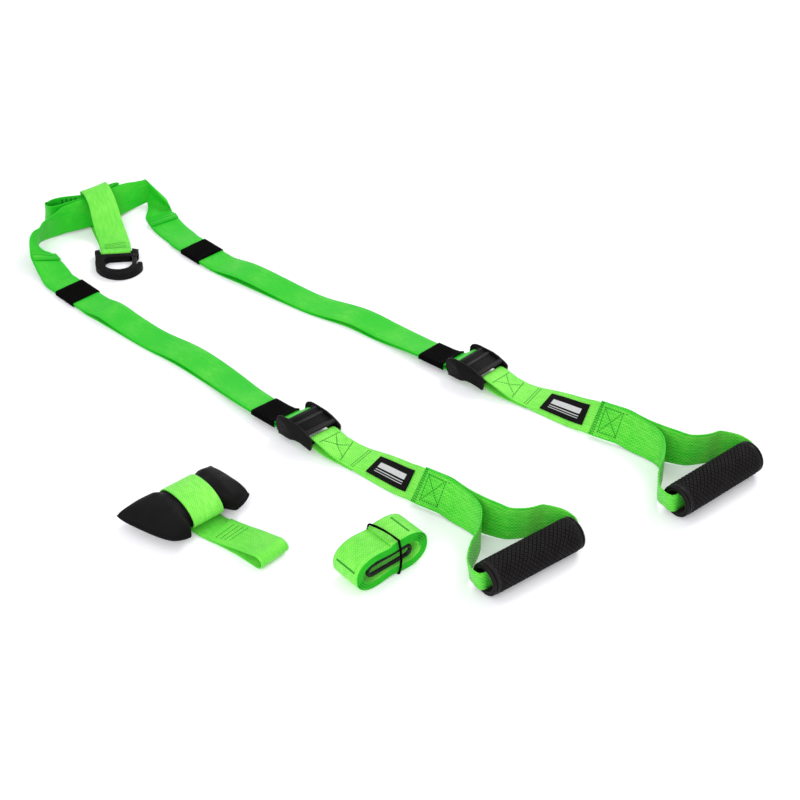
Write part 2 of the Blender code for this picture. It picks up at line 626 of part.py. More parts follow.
def tail_route(route, marks, side, frame):
    """The upper layer from its hem over the anchor end down to the wrap round the lock bar."""
    points, across, normals = route
    if side == "left":
        picked = list(range(marks["left_hem"], marks["left_tail"] - 1, -1))
    else:
        picked = list(range(marks["right_hem"], marks["right_tail"] + 1))
        normals = -normals
    keeper = keeper_frames()[side].translation
    distances = [(Vector(points[k]) - keeper).length for k in picked]
    nearest = int(np.argmin(distances))
    first = next(k for k in range(nearest, len(picked)) if distances[k] > 0.8 * KEEPER_LENGTH)
    out, sides, faces = [], [], []

    def add(station, back, lift):
        """A section over a station of the load strap, moved back along it and lifted off it."""
        start, after = points[picked[0]], points[picked[1]]
        inward = (after - start) / np.linalg.norm(after - start)
        k = picked[station]
        out.append(points[k] - inward * back + normals[k] * (LAYER + lift))
        sides.append(across[k])
        faces.append(normals[k])

    for station in (2, 1, 0):
        add(station, 0.0, 2 * HEM_BEND)
    for angle in (60, 30, 0, -30, -60):
        lean = math.radians(angle)
        add(0, HEM_BEND * math.cos(lean), HEM_BEND * (1 + math.sin(lean)))
    run = len(picked) - 1 - first
    for order, k in enumerate(picked):
        lift = 0.0
        if order > first:
            share = (order - first) / run
            lift = TAIL_WAVE * math.sin(2 * math.pi * share) ** 2 * (1 if share < 0.5 else 0.7)
        add(order, 0.0, lift)
    shared = len(out)
    drum = DRUM_WEB_Z - PIN_HEIGHT
    front = KEEPER_X + KEEPER_LENGTH / 2
    local = [
        (KEEPER_X - KEEPER_LENGTH / 4, KEPT_Z + LAYER), (KEEPER_X + KEEPER_LENGTH / 5, KEPT_Z + 1.04 * LAYER),
        (front - LAYER, KEPT_Z + 1.9 * LAYER), ((front - 0.7 * drum) / 2, (KEPT_Z + DRUM_WEB_Z) / 2),
    ]
    local += arc((0, PIN_HEIGHT), drum, 130, 45, 4)
    local += [((drum + LOCK_X) / 2 + LAYER_SPACE, (DRUM_WEB_Z + LOCK_Z + LOCK_WRAP) / 2 - LAYER_SPACE)]
    local += arc((LOCK_X, LOCK_Z), LOCK_WRAP, 90, -90, 8)
    local += [(LOCK_X - LOCK_RADIUS + GAP, BASE_WEB_Z)]
    sign = math.copysign(1.0, sides[-1] @ direction(frame, (0, 1, 0)))
    for x, z in local:
        out.append(np.array(frame @ Vector((x, 0, z))))
        sides.append(sign * direction(frame, (0, 1, 0)))
    out = np.array(out)
    _, own_sides, own_faces = section_frames(out, sides)
    folded = slice(3, 8)
    bend_faces = own_faces[folded].copy()
    own_sides[: shared - 1] = sides[: shared - 1]
    own_faces[: shared - 1] = faces[: shared - 1]
    own_faces[:3] *= -1
    own_faces[folded] = bend_faces * math.copysign(1.0, bend_faces[-1] @ faces[8])
    own_faces[shared - 1 :] *= math.copysign(1.0, own_faces[shared - 1] @ faces[shared - 1])
    return out, (own_sides, own_faces)


def build_main_straps(materials):
    points, hints, marks = main_route()
    _, across, normals = section_frames(points, hints)
    frames = buckle_frames()
    pieces = (
        ("left_load_webbing", 0, marks["bridge_start"]),
        ("bridge_webbing", marks["bridge_start"], marks["bridge_end"]),
        ("right_load_webbing", marks["bridge_end"], len(points) - 1),
    )
    for name, start, end in pieces:
        piece, sections = cut_slice(points, across, normals, start, end)
        strip(name, piece, None, materials["webbing"], sections=sections)
    for side, frame in frames.items():
        route, sections = tail_route((points, across, normals), marks, side, frame)
        tail_name, turned_back = f"{side}_tail_webbing", side == "left"
        strip(tail_name, route, None, materials["webbing"], sections=sections, backwards=turned_back)
    back = (-math.sin(EQUALIZER_YAW), math.cos(EQUALIZER_YAW))
    rows = []
    for x, y, lean in EQUALIZER_shares:
        hint = Vector((lean * back[0], lean * back[1], 1)).normalized()
        rows.append((*plan((x, y))[:2], FLOOR_GAP + BRIDGE_LIFT + WEB_WIDTH / 2 * hint.z, *hint))
    ring = smooth_rows(rows + rows[:1], 2)[:-1]
    strip("equalizer_loop", ring[:, :3], ring[:, 3:], materials["webbing"], closed=True)


def sleeve(name, stations, material):
    """A sleeve along x: each station is x, half width, bottom and top of its hollow."""
    bm = bmesh.new()
    outer, inner = [], []
    for x, half, low, high in stations:
        for rings, grow, cut in ((inner, 0.0, KEEPER_CHAMFER / 2), (outer, KEEPER_WALL, KEEPER_CHAMFER)):
            y, z0, z1 = half + grow, low - grow, high + grow
            outline = [
                (-y + cut, z0), (y - cut, z0), (y, z0 + cut), (y, z1 - cut),
                (y - cut, z1), (-y + cut, z1), (-y, z1 - cut), (-y, z0 + cut),
            ]
            rings.append([bm.verts.new((x, a, b)) for a, b in outline])
    for rings in (outer, inner):
        for first, second in zip(rings, rings[1:]):
            for k in range(8):
                bm.faces.new((first[k - 1], first[k], second[k], second[k - 1]))
    for k in range(8):
        for end in (0, -1):
            bm.faces.new((outer[end][k - 1], outer[end][k], inner[end][k], inner[end][k - 1]))
    return add_object(name, bm, material)


def build_keepers(side, frame, materials):
    half = WEB_WIDTH / 2 + KEEPER_ROOM
    low = KEPT_Z - WEB_THICKNESS / 2 - GAP
    high = KEPT_Z + LAYER + WEB_THICKNESS / 2 + KEEPER_ROOM
    stations = [
        (KEEPER_X + along * KEEPER_LENGTH, half, low, high + rise * KEEPER_FLARE)
        for along, rise in KEEPER_FLARE_shares
    ]
    lower = sleeve(f"{side}_lower_keeper", stations, materials["keeper"])
    place(lower, frame)
    reach = KEEPER_LENGTH / 2
    straight = [(along, half, low, high) for along in (-reach, 0.0, reach)]
    upper = sleeve(f"{side}_upper_keeper", straight, materials["keeper"])
    place(upper, keeper_frames()[side])


def build_frame(side, frame, materials):
    """Two cheeks, the base plate under the cam and the bar that the yoke hangs on."""
    black = materials["plastic"]
    name = f"{side}_buckle_frame"
    outline = [(x * CHEEK_LENGTH, FLOOR_GAP + z * CHEEK_HEIGHT) for x, z in CHEEK_shares]
    far = prism(name, outline, INNER_HALF, OUTER_HALF, black)
    near = prism("near_cheek", outline, -OUTER_HALF, -INNER_HALF, black)
    sunk = INNER_HALF + CHEEK_THICKNESS / 2
    base = box("base", (-BASE_LENGTH / 2, -sunk, FLOOR_GAP), (BASE_LENGTH / 2, sunk, BASE_TOP), black)
    bar = rod("bar", -sunk, sunk, YOKE_BAR_RADIUS, black)
    bar.data.transform(Matrix.Translation((YOKE_BAR_X, 0, YOKE_BAR_HEIGHT)))
    combine(far, [near, base, bar], "UNION")
    through = OUTER_HALF + OVERRUN
    hole = rod("pin_hole", -through, through, PIN_RADIUS + RUNNING_GAP, black)
    hole.data.transform(Matrix.Translation((0, 0, PIN_HEIGHT)))
    socket_reach = INNER_HALF + LOCK_SOCKET
    socket = rod("sockets", -socket_reach, socket_reach, LOCK_RADIUS + RUNNING_GAP, black)
    socket.data.transform(Matrix.Translation((LOCK_X, 0, LOCK_Z)))
    combine(far, [hole, socket], "DIFFERENCE")
    place(far, frame)


def lever_profiles():
    """Side outlines (x, z) of the lever's plate, its arms and the toothed drum, about the pin."""
    slope = (LEVER_UNDER_FRONT - LEVER_UNDER_BACK) / (LEVER_FRONT - LEVER_BACK)

    def under(x):
        return LEVER_UNDER_BACK + slope * (x - LEVER_BACK) - PIN_HEIGHT

    plate = [(LEVER_BACK, under(LEVER_BACK)), (LEVER_FRONT, under(LEVER_FRONT))]
    rib = (LEVER_FRONT - LEVER_BACK) / (2 * RIB_COUNT + 1)
    tops = []
    for k in range(2 * RIB_COUNT + 2):
        x = LEVER_FRONT - k * rib
        low = under(x) + LEVER_THICKNESS
        high = low + RIB_HEIGHT
        tops += [(x, low), (x - rib / 4, high)] if k % 2 == 0 else [(x + rib / 4, high), (x, low)]
    plate += [p for p in tops if p[0] >= LEVER_BACK]
    boss = arc((0, 0), DRUM_RADIUS, 150, 330, 9)
    arm = boss + [(0.55 * LEVER_FRONT, under(0.55 * LEVER_FRONT) - LEVER_THICKNESS)]
    arm += [(LEVER_FRONT - rib, under(LEVER_FRONT - rib) - LEVER_THICKNESS / 2)]
    arm += [(LEVER_FRONT - rib, under(LEVER_FRONT - rib) + LEVER_THICKNESS / 2)]
    arm += [(LEVER_BACK, under(LEVER_BACK) + LEVER_THICKNESS / 2)]
    reach = PIN_HEIGHT - BASE_WEB_Z - WEB_THICKNESS / 2 - GAP
    drum = []
    tooth_start = -math.pi / 2 - TOOTH_SPREAD / 2
    for k in range(DRUM_SIDES):
        angle = math.tau * k / DRUM_SIDES
        off = (angle + math.pi / 2 + math.pi) % math.tau - math.pi
        if abs(off) > TOOTH_SPREAD / 2 + math.pi / DRUM_SIDES:
            drum.append((angle if angle < 1.5 * math.pi else angle - math.tau, DRUM_RADIUS))
    for k in range(2 * TOOTH_COUNT + 1):
        angle = tooth_start + TOOTH_SPREAD * k / (2 * TOOTH_COUNT)
        drum.append((angle, reach if k % 2 else (reach + DRUM_RADIUS) / 2))
    drum = sorted(((a + math.tau if a < -math.pi else a, r) for a, r in drum))
    drum = [(r * math.cos(a), r * math.sin(a)) for a, r in drum]
    return plate, arm, drum


def build_lever(side, frame, materials):
    """Thumb plate, two arms outside the webbing, and the toothed drum that bites the load strap."""
    black = materials["plastic"]
    plate, arm, drum = lever_profiles()
    inside = WEB_WIDTH / 2 + ARM_ROOM
    outside = inside + ARM_THICKNESS
    lever = prism(f"{side}_cam_lever", plate, -outside, outside, black)
    right_arm = prism("right_arm", arm, -outside, -inside, black)
    left_arm = prism("left_arm", arm, inside, outside, black)
    roller = prism("drum", drum, -inside - ARM_THICKNESS / 2, inside - SPRING_BAY, black)
    combine(lever, [right_arm, left_arm, roller], "UNION")
    bore = rod("bore", -outside - OVERRUN, outside + OVERRUN, PIN_RADIUS + RUNNING_GAP, black)
    combine(lever, [bore], "DIFFERENCE")
    place(lever, frame @ Matrix.Translation((0, 0, PIN_HEIGHT)))


def build_buckle_small_parts(side, frame, materials):
    steel = materials["steel"]
    reach = OUTER_HALF - PIN_RECESS
    pin = rod(f"{side}_cam_pin", -reach, reach, PIN_RADIUS, steel)
    place(pin, frame @ Matrix.Translation((0, 0, PIN_HEIGHT)))
    lock_reach = INNER_HALF + LOCK_SOCKET - GAP
    lock = rod(f"{side}_lock_bar", -lock_reach, lock_reach, LOCK_RADIUS, steel)
    place(lock, frame @ Matrix.Translation((LOCK_X, 0, LOCK_Z)))
    bay_end = WEB_WIDTH / 2 + ARM_ROOM
    length = SPRING_TURNS * SPRING_PITCH + 2 * SPRING_WIRE
    start = bay_end - SPRING_BAY + (SPRING_BAY - length) / 2 + SPRING_WIRE
    spring = coil(
        f"{side}_cam_spring", SPRING_TURNS, SPRING_RADIUS, SPRING_WIRE, SPRING_PITCH, start, steel
    )
    place(spring, frame @ Matrix.Translation((0, 0, PIN_HEIGHT)))


# Yoke: x share of the seam distance, near edge's y share of half the width, roll in right angles
YOKE_TABLE_shares = [
    (0.43, -1.150, -0.02), (0.53, -1.070, 0.05), (0.62, -1.040, 0.16),
    (0.75, -1.050, 0.29), (0.89, -1.040, 0.41), (0.96, -1.000, 0.48), (1.02, -0.960, 0.54),
    (1.10, -0.840, 0.60), (1.178, -0.700, 0.66),
]
YOKE_RISE = 0.0021  # the seam stands on the handle strap's lower layer


def yoke_surface():
    """Rows x, y, z and width direction of the yoke's middle, with its near edge along the floor."""
    rows = []
    for x, edge, roll in YOKE_TABLE_shares:
        angle = roll * math.pi / 2
        half = WEB_WIDTH / 2
        rise = YOKE_RISE * min(1.0, max(0.0, (x - 0.85) / 0.1))
        y = edge * half + half * math.cos(angle)
        z = FLOOR_GAP + half * abs(math.sin(angle)) + WEB_THICKNESS / 2 * math.cos(angle) + rise
        rows.append((x * SEAM_X, y, z, 0.0, math.cos(angle), math.sin(angle)))
    return rows


def yoke_route(arm, buckle):
    """The yoke's rows in the arm's frame: lower layer, loop round the bar, upper layer to its end."""
    into_arm = arm.inverted() @ buckle
    side = into_arm.to_3x3() @ Vector((0, 1, 0))
    surface = yoke_surface()
    lower = [row for row in surface if row[0] < YOKE_LOWER_END + LAYER][::-1]
    wrap = YOKE_BAR_RADIUS + GAP + WEB_THICKNESS / 2
    top = YOKE_BAR_HEIGHT + wrap
    sag = 0.7 * YOKE_BAR_HEIGHT
    below = [(YOKE_BAR_X + 2.4 * sag, FLAT_Z), (YOKE_BAR_X + sag, (FLAT_Z + YOKE_BAR_HEIGHT - wrap) / 2)]
    above = [
        (YOKE_BAR_X + sag, 0.97 * top), (YOKE_BAR_X + 2.2 * sag, 0.84 * top),
        (YOKE_BAR_X + 4.0 * sag, 0.60 * top),
    ]
    rows = list(lower)
    for x, z in below + arc((YOKE_BAR_X, YOKE_BAR_HEIGHT), wrap, -90, -270, 8) + above:
        rows.append((*(into_arm @ Vector((x, 0, z))), *side))
    for x, y, z, _, cosine, sine in surface:
        over = 1.5 if x < 0.48 * SEAM_X else 1.0 if x < YOKE_LOWER_END + LAYER else 0.0
        if x > 0.41 * SEAM_X:
            rows.append((x, y - sine * over * LAYER, z + cosine * over * LAYER, 0.0, cosine, sine))
    coarse, fine = rows[:-7], rows[-8:]
    return np.array(list(smooth_rows(coarse, 2)[:-1]) + list(smooth_rows(fine, 4)))


def layer_over(dense, lift, low, high, count, shift=0.0):
    """Rows of a layer on the yoke's face from x low to high, lifted along the face's normal."""
    last = max(k for k in range(1, len(dense)) if dense[k][0] < dense[k - 1][0])
    upper = dense[last:]
    _, sides, faces = section_frames(upper[:, :3], upper[:, 3:])
    rows = []
    for x in np.linspace(low, high, count):
        point, side, face = (
            np.array([np.interp(x, upper[:, 0], values[:, j]) for j in range(3)])
            for values in (upper, sides, faces)
        )
        rows.append((*(point + lift * face + shift * side), *side))
    return rows


def build_yoke(side, arm, buckle, materials):
    dense = yoke_route(arm, buckle)
    points = to_world(arm, dense[:, :3])
    hints = [direction(arm, hint) for hint in dense[:, 3:]]
    strip(f"{side}_yoke_webbing", points, hints, materials["webbing"])
    lift = WEB_THICKNESS / 2 + LABEL_ROOM + LABEL_THICKNESS / 2
    rows = layer_over(dense, lift, LABEL_X - LABEL_LENGTH / 2, LABEL_X + LABEL_LENGTH / 2, 12)
    strip(
        f"{side}_label", to_world(arm, [row[:3] for row in rows]), [direction(arm, row[3:]) for row in rows],
        materials["label"], width=LABEL_WIDTH, thickness=LABEL_THICKNESS,
    )


# Handle strap's legs beyond the seam, in the arm's frame: shares of the seam distance, roll in right angles
FAR_LEG_shares = [
    (1.31, -0.018, 0.74), (1.435, -0.014, 0.80), (1.545, 0.006, 0.86), (1.612, 0.026, 0.93),
    (1.657, 0.064, 0.98), (1.698, 0.112, 1.0),
]
NEAR_LEG_shares = [
    (1.29, -0.034, 0.72), (1.40, -0.050, 0.82), (1.485, -0.080, 0.92), (1.53, -0.120, 0.98),
    (1.565, -0.170, 1.0), (1.595, -0.235, 1.0),
]
# Round the grip's end: shares of the grip radius out from the end face and away from the axis
END_TURN_shares = [
    (-0.65, 1.88), (-0.10, 1.40), (0.14, 1.06), (0.25, 0.70), (0.27, 0.36), (0.18, 0.10), (0.0, 0.0),
]
END_WIDTH_shares = [0.95, 0.80, 0.70, 0.62, 0.58, 0.56, 0.5625]
END_LEAN_shares = [0.04, 0.12, 0.18, 0.20, 0.18, 0.08, 0.0]  # the upper edge leans out


def grip_frame(frame):
    centre = Vector((GRIP_CENTRE[0], GRIP_CENTRE[1], GRIP_HEIGHT))
    return frame @ Matrix.Translation(centre) @ Matrix.Rotation(GRIP_YAW, 4, "Z")


def handle_rows(yoke):
    """Rows x, y, z, width direction, width, thickness from the near layer round through the grip."""
    grip = Matrix.Translation((*GRIP_CENTRE, GRIP_HEIGHT)) @ Matrix.Rotation(GRIP_YAW, 4, "Z")
    spacing = WEB_THICKNESS / 2 + SEAM_ROOM + HANDLE_THICKNESS / 2
    stand = FLOOR_GAP + HANDLE_WIDTH / 2
    size = (HANDLE_WIDTH, HANDLE_THICKNESS)
    wider = (HANDLE_WIDTH - WEB_WIDTH) / 2

    def leg(sign, table):
        seam = layer_over(yoke, sign * spacing, SEAM_X, YOKE_END - GAP, 8, wider)
        rows = [(*row, *size) for row in seam]
        for x, y, roll in table:
            angle = roll * math.pi / 2
            height = min(FLOOR_GAP + HANDLE_WIDTH / 2 * math.sin(angle) + HANDLE_THICKNESS / 2, stand)
            rows.append((x * SEAM_X, y * SEAM_X, height, 0.0, math.cos(angle), math.sin(angle), *size))
        return rows

    def end(sign):
        rows = []
        for (out, away), share, lean in zip(END_TURN_shares, END_WIDTH_shares, END_LEAN_shares):
            sag = BORE_SAG * max(0.0, 1 - away / 0.7)
            local = Vector((sign * (GRIP_LENGTH / 2 + out * GRIP_RADIUS), away * GRIP_RADIUS, -sag))
            wide = max(share * HANDLE_WIDTH, BORE_WEB_WIDTH)
            thick = HANDLE_THICKNESS if away > 0.5 else (HANDLE_THICKNESS + BORE_WEB_THICKNESS) / 2
            hint = grip.to_3x3() @ Vector((sign * lean, 0, 1))
            rows.append((*(grip @ local), *hint, wide, thick))
        return rows

    inside = []
    for share in (-0.45, -0.3, 0.0, 0.3, 0.45):
        point = grip @ Vector((share * GRIP_LENGTH, 0, -BORE_SAG))
        inside.append((*point, 0.0, 0.0, 1.0, BORE_WEB_WIDTH, BORE_WEB_THICKNESS))
    near = leg(1.0, NEAR_LEG_shares) + end(-1.0)
    far = leg(-1.0, FAR_LEG_shares) + end(1.0)
    return near + inside + far[::-1]


def build_handle_strap(side, frame, buckle, materials):
    dense = smooth_rows(handle_rows(yoke_route(frame, buckle)), WEB_STEP)
    points = to_world(frame, dense[:, :3])
    hints = [direction(frame, row[3:6]) for row in dense]
    strip(
        f"{side}_handle_webbing", points, hints, materials["handle_webbing"],
        width=dense[:, 6], thickness=dense[:, 7],
    )


def build_grip(side, frame, materials):
    """Core tube, rubber sleeve and two ring caps, all round the grip's axis along x."""
    where = grip_frame(frame)
    half = GRIP_LENGTH / 2
    core_radius = BORE_RADIUS + CORE_WALL
    sleeve_half = half - CAP_LENGTH - GAP
    core_half = half - CAP_LENGTH / 2
    core = turned(
        f"{side}_grip_core",
        [
            (-core_half, BORE_RADIUS), (-core_half, core_radius),
            (core_half, core_radius), (core_half, BORE_RADIUS),
        ],
        GRIP_SIDES, materials["plastic"],
    )
    inner = core_radius + GAP
    cut = SLEEVE_CHAMFER
    cover = turned(
        f"{side}_grip_sleeve",
        [
            (-sleeve_half, inner), (-sleeve_half, GRIP_RADIUS - cut), (-sleeve_half + cut, GRIP_RADIUS),
            (sleeve_half - cut, GRIP_RADIUS), (sleeve_half, GRIP_RADIUS - cut), (sleeve_half, inner),
        ],
        GRIP_SIDES, materials["rubber"],
    )
    place(core, where)
    place(cover, where)
    cap_radius = GRIP_RADIUS - CAP_INSET
    seat = core_half + GAP
    groove = half - CAP_LENGTH / 2
    for cap_name, sign in (("near", -1), ("far", 1)):
        profile = [
            (half - CAP_LENGTH, inner), (half - CAP_LENGTH, cap_radius), (groove - CAP_GROOVE, cap_radius),
            (groove, cap_radius - CAP_GROOVE), (groove + CAP_GROOVE, cap_radius),
            (half - CAP_GROOVE, cap_radius), (half, cap_radius - CAP_GROOVE), (half, BORE_RADIUS),
            (seat, BORE_RADIUS), (seat, inner),
        ]
        cap = turned(
            f"{side}_{cap_name}_cap", [(sign * a, r) for a, r in profile], GRIP_SIDES, materials["plastic"]
        )
        place(cap, where)


def build_arm(side, frame, materials):
    buckle = buckle_frames()[side]
    build_keepers(side, buckle, materials)
    build_frame(side, buckle, materials)
    build_lever(side, buckle, materials)
    build_buckle_small_parts(side, buckle, materials)
    build_yoke(side, frame, buckle, materials)
    build_handle_strap(side, frame, buckle, materials)
    build_grip(side, frame, materials)


HOOK_AXIS_Z = HOOK_FLOOR_GAP + HOOK_THICKNESS / 2


def gate_pocket():
    """Plan of the slot that the gate lies and swings in, in the hook's frame."""
    room = GATE_WIDTH / 2 + GATE_SLOT_ROOM
    slope = math.tan(GATE_SWING)
    left, right = GATE_PIN_X - room, HOOK_LENGTH / 3
    near, far = GATE_PIN_Y - room, HOOK_LENGTH / 2 + OVERRUN
    turn = GATE_PIN_X - room * (1 / math.cos(GATE_SWING) - 1) / slope
    return [(left, near), (turn, near), (right, near - (right - turn) * slope), (right, far), (left, far)]


def build_hook(materials):
    """D-shaped body with a webbing bar, and a gate that swings in on an upright pin."""
    black = materials["plastic"]
    frame = yaw_frame(plan(HOOK_shares), HOOK_YAW)
    outline = [(x * HOOK_LENGTH, y * HOOK_LENGTH) for x, y in HOOK_OUTLINE_shares]
    top = HOOK_FLOOR_GAP + HOOK_THICKNESS
    body = prism("hook_body", outline, HOOK_FLOOR_GAP, top, black, axis="Z", chamfer=HOOK_CHAMFER)
    half_slot = HOOK_SLOT_WIDTH / 2
    slot = box(
        "slot", (-HOOK_LENGTH / 4, -half_slot, -OVERRUN), (HOOK_SLOT_REACH, half_slot, top + OVERRUN), black
    )
    high = GATE_BOTTOM + GATE_THICKNESS + GATE_SLOT_ROOM / 2
    low = GATE_BOTTOM - GATE_SLOT_ROOM / 2
    eye_radius = GATE_WIDTH / 2
    pocket = prism("pocket", gate_pocket(), low, high, black, axis="Z")
    pin_room = GATE_PIN_RADIUS + RUNNING_GAP
    pin_hole = rod("pin_hole", -OVERRUN, top + OVERRUN, pin_room, black, axis="Z", sides=GATE_PIN_SIDES)
    pin_hole.data.transform(Matrix.Translation((GATE_PIN_X, GATE_PIN_Y, 0)))
    combine(body, [slot, pocket, pin_hole], "DIFFERENCE")
    reach = half_slot + HOOK_CHAMFER
    bar = rod("bar", -reach, reach, HOOK_BAR_RADIUS, black)
    bar.data.transform(Matrix.Translation((0, 0, HOOK_AXIS_Z)))
    combine(body, [bar], "UNION")
    place(body, frame)
    move_origin(body, (0, 0, HOOK_AXIS_Z))

    pin_frame = frame @ Matrix.Translation((GATE_PIN_X, GATE_PIN_Y, 0))
    eye = arc((0, 0), eye_radius, 90, 270, 8)
    gate_outline = eye + [(GATE_TIP_X - GATE_PIN_X, -eye_radius), (GATE_TIP_X - GATE_PIN_X, eye_radius)]
    gate_top = GATE_BOTTOM + GATE_THICKNESS
    gate = prism("hook_gate", gate_outline, GATE_BOTTOM, gate_top, black, axis="Z")
    eye_top = GATE_BOTTOM + GATE_EYE_HEIGHT
    relief = box(
        "relief", (-2 * eye_radius, -2 * eye_radius, eye_top),
        (eye_radius + GATE_SLOT_ROOM, 2 * eye_radius, 2 * gate_top), black,
    )
    bore = rod("bore", -OVERRUN, gate_top + OVERRUN, pin_room, black, axis="Z", sides=GATE_PIN_SIDES)
    combine(gate, [relief, bore], "DIFFERENCE")
    place(gate, pin_frame)
    pin = rod(
        "hook_gate_pin", HOOK_FLOOR_GAP + PIN_RECESS, top - PIN_RECESS, GATE_PIN_RADIUS,
        materials["steel"], axis="Z", sides=GATE_PIN_SIDES,
    )
    place(pin, pin_frame)
    spring_start = eye_top + GAP + GATE_SPRING_WIRE
    spring = coil(
        "hook_gate_spring", GATE_SPRING_TURNS, GATE_SPRING_RADIUS, GATE_SPRING_WIRE, GATE_SPRING_PITCH,
        spring_start, materials["steel"], axis="Z",
    )
    place(spring, pin_frame)


# Hook strap's side view: shares of its reach back from the bar, and heights as shares of its top
HOOK_STRAP_UPPER_shares = [
    (0.050, 0.190), (0.100, 0.140), (0.180, 0.110), (0.300, 0.140), (0.420, 0.210),
    (0.530, 0.370), (0.640, 0.580), (0.730, 0.770), (0.800, 0.900), (0.860, 0.975),
    (0.920, 1.000), (0.970, 0.985), (0.998, 0.930), (1.006, 0.840), (1.008, 0.640),
    (1.006, 0.400), (0.995, 0.170), (0.960, 0.050),
]


def build_hook_strap(materials):
    """One loop of webbing: over the bridge and equalizer, and round the hook's bar."""
    wrap = HOOK_BAR_RADIUS + GAP + WEB_THICKNESS / 2
    hook = yaw_frame(plan(HOOK_shares), HOOK_YAW)
    plan_rows = smooth_rows([(*plan(xy)[:2], 0.0) for xy in HOOK_PLAN_shares], 6)
    steps = np.linalg.norm(np.diff(plan_rows, axis=0), axis=1)
    run = np.concatenate([[0.0], np.cumsum(steps)])

    def at(back):
        reach = min(back, run[-1])
        spot = np.array([np.interp(reach, run, plan_rows[:, j]) for j in (0, 1)])
        heading = (plan_rows[-1] - plan_rows[-2])[:2]
        return spot + (back - reach) * heading / np.linalg.norm(heading)

    def width_hint(back):
        share = min(1.0, max(0.0, (back / HOOK_STRAP_REACH - 0.25) / 0.5))
        yaw = (HOOK_YAW + math.pi / 2) * (1 - share) + BRIDGE_YAW * share
        return (math.cos(yaw), math.sin(yaw), 0.0)

    lower_z = FLOOR_GAP + WEB_THICKNESS / 2
    side = [(share * HOOK_STRAP_REACH, lower_z) for share in (0.72, 0.5, 0.3, 0.1)]
    loop = [(-x, z) for x, z in arc((0, HOOK_AXIS_Z), wrap, -90, 90, 8)]
    upper = [(b * HOOK_STRAP_REACH, h * HOOK_STRAP_TOP) for b, h in HOOK_STRAP_UPPER_shares]
    closing = [(0.86 * HOOK_STRAP_REACH, lower_z)]
    rows = []
    for back, z in side + loop + upper + closing:
        if back < 0:
            point = hook @ Vector((-back, 0, z))
            rows.append((*point, *width_hint(0.0)))
        else:
            rows.append((*at(back), z, *width_hint(back)))
    dense = smooth_rows(rows + rows[:1], 2)[:-1]
    strip("hook_webbing", dense[:, :3], dense[:, 3:6], materials["webbing"], closed=True)


def pad_height(u, v):
    """Half height of the pad at shares u along and v across it: a crown that falls to the seam."""
    return max(0.0, 1 - abs(u) ** 2.6) ** 0.55 * max(0.0, 1 - abs(v) ** 2.4) ** 0.55


def pad_half_width(u):
    """The pad's side draws in between its corners, as a share of the half width."""
    return 1 - 0.10 * (1 - u * u)


PAD_MIDDLE = 2 * FLOOR_GAP + 2 * WEB_THICKNESS + 0.38 * PAD_HEIGHT
PAD_UPPER_share = 0.60


def pad_waist(x):
    """How far the webbing pulls the pad in at x, as a share: whole under the webbing, none beyond."""
    return math.exp(-(((x - PAD_WRAP_X) / (0.72 * WEB_WIDTH)) ** 8))


def pad_point(u, v, skin):
    """A point of the pad's upper (1) or lower (-1) skin at shares u along and v across it."""
    x = y = 0.0
    for (i, j), (a, b) in PAD_CORNER_shares.items():
        weight = (1 + i * u) / 2 * (1 + j * v) / 2
        x += weight * a * PAD_LENGTH / 2 * (1 - 0.06 * (1 - v * v))
        y += weight * b * PAD_WIDTH / 2 * pad_half_width(u)
    waist = pad_waist(x)
    y *= 1 - 0.6 * PAD_WAIST / PAD_WIDTH * waist
    if abs(u) == 1 or abs(v) == 1:
        return x, y, PAD_MIDDLE + skin * PAD_SEAM / 2
    share = PAD_UPPER_share if skin > 0 else 1 - PAD_UPPER_share
    z = PAD_MIDDLE + skin * (PAD_SEAM / 2 + share * PAD_HEIGHT * pad_height(u, v) * (1 - 0.1 * waist))
    return x, y, max(z, 2 * FLOOR_GAP + (2 * WEB_THICKNESS + 6 * GAP) * waist)


def build_pad(materials):
    """The stuffed pad: two skins meeting at a seam, with a waist where the webbing bites."""
    frame = yaw_frame(plan(PAD_shares), PAD_YAW)
    along, across = PAD_STEPS
    bm = bmesh.new()
    skins = {}
    for skin in (1, -1):
        for i in range(along + 1):
            for j in range(across + 1):
                u, v = -math.cos(math.pi * i / along), -math.cos(math.pi * j / across)
                skins[skin, i, j] = bm.verts.new(pad_point(round(u, 9), round(v, 9), skin))
        for i in range(along):
            for j in range(across):
                square = ((i, j), (i + 1, j), (i + 1, j + 1), (i, j + 1))
                bm.faces.new([skins[skin, *spot] for spot in square])
    border = [(i, 0) for i in range(along)] + [(along, j) for j in range(across)]
    border += [(i, across) for i in range(along, 0, -1)] + [(0, j) for j in range(across, 0, -1)]
    for k in range(len(border)):
        a, b = border[k - 1], border[k]
        bm.faces.new((skins[1, *a], skins[1, *b], skins[-1, *b], skins[-1, *a]))
    place(add_object("anchor_pad", bm, materials["pad"], 60), frame)


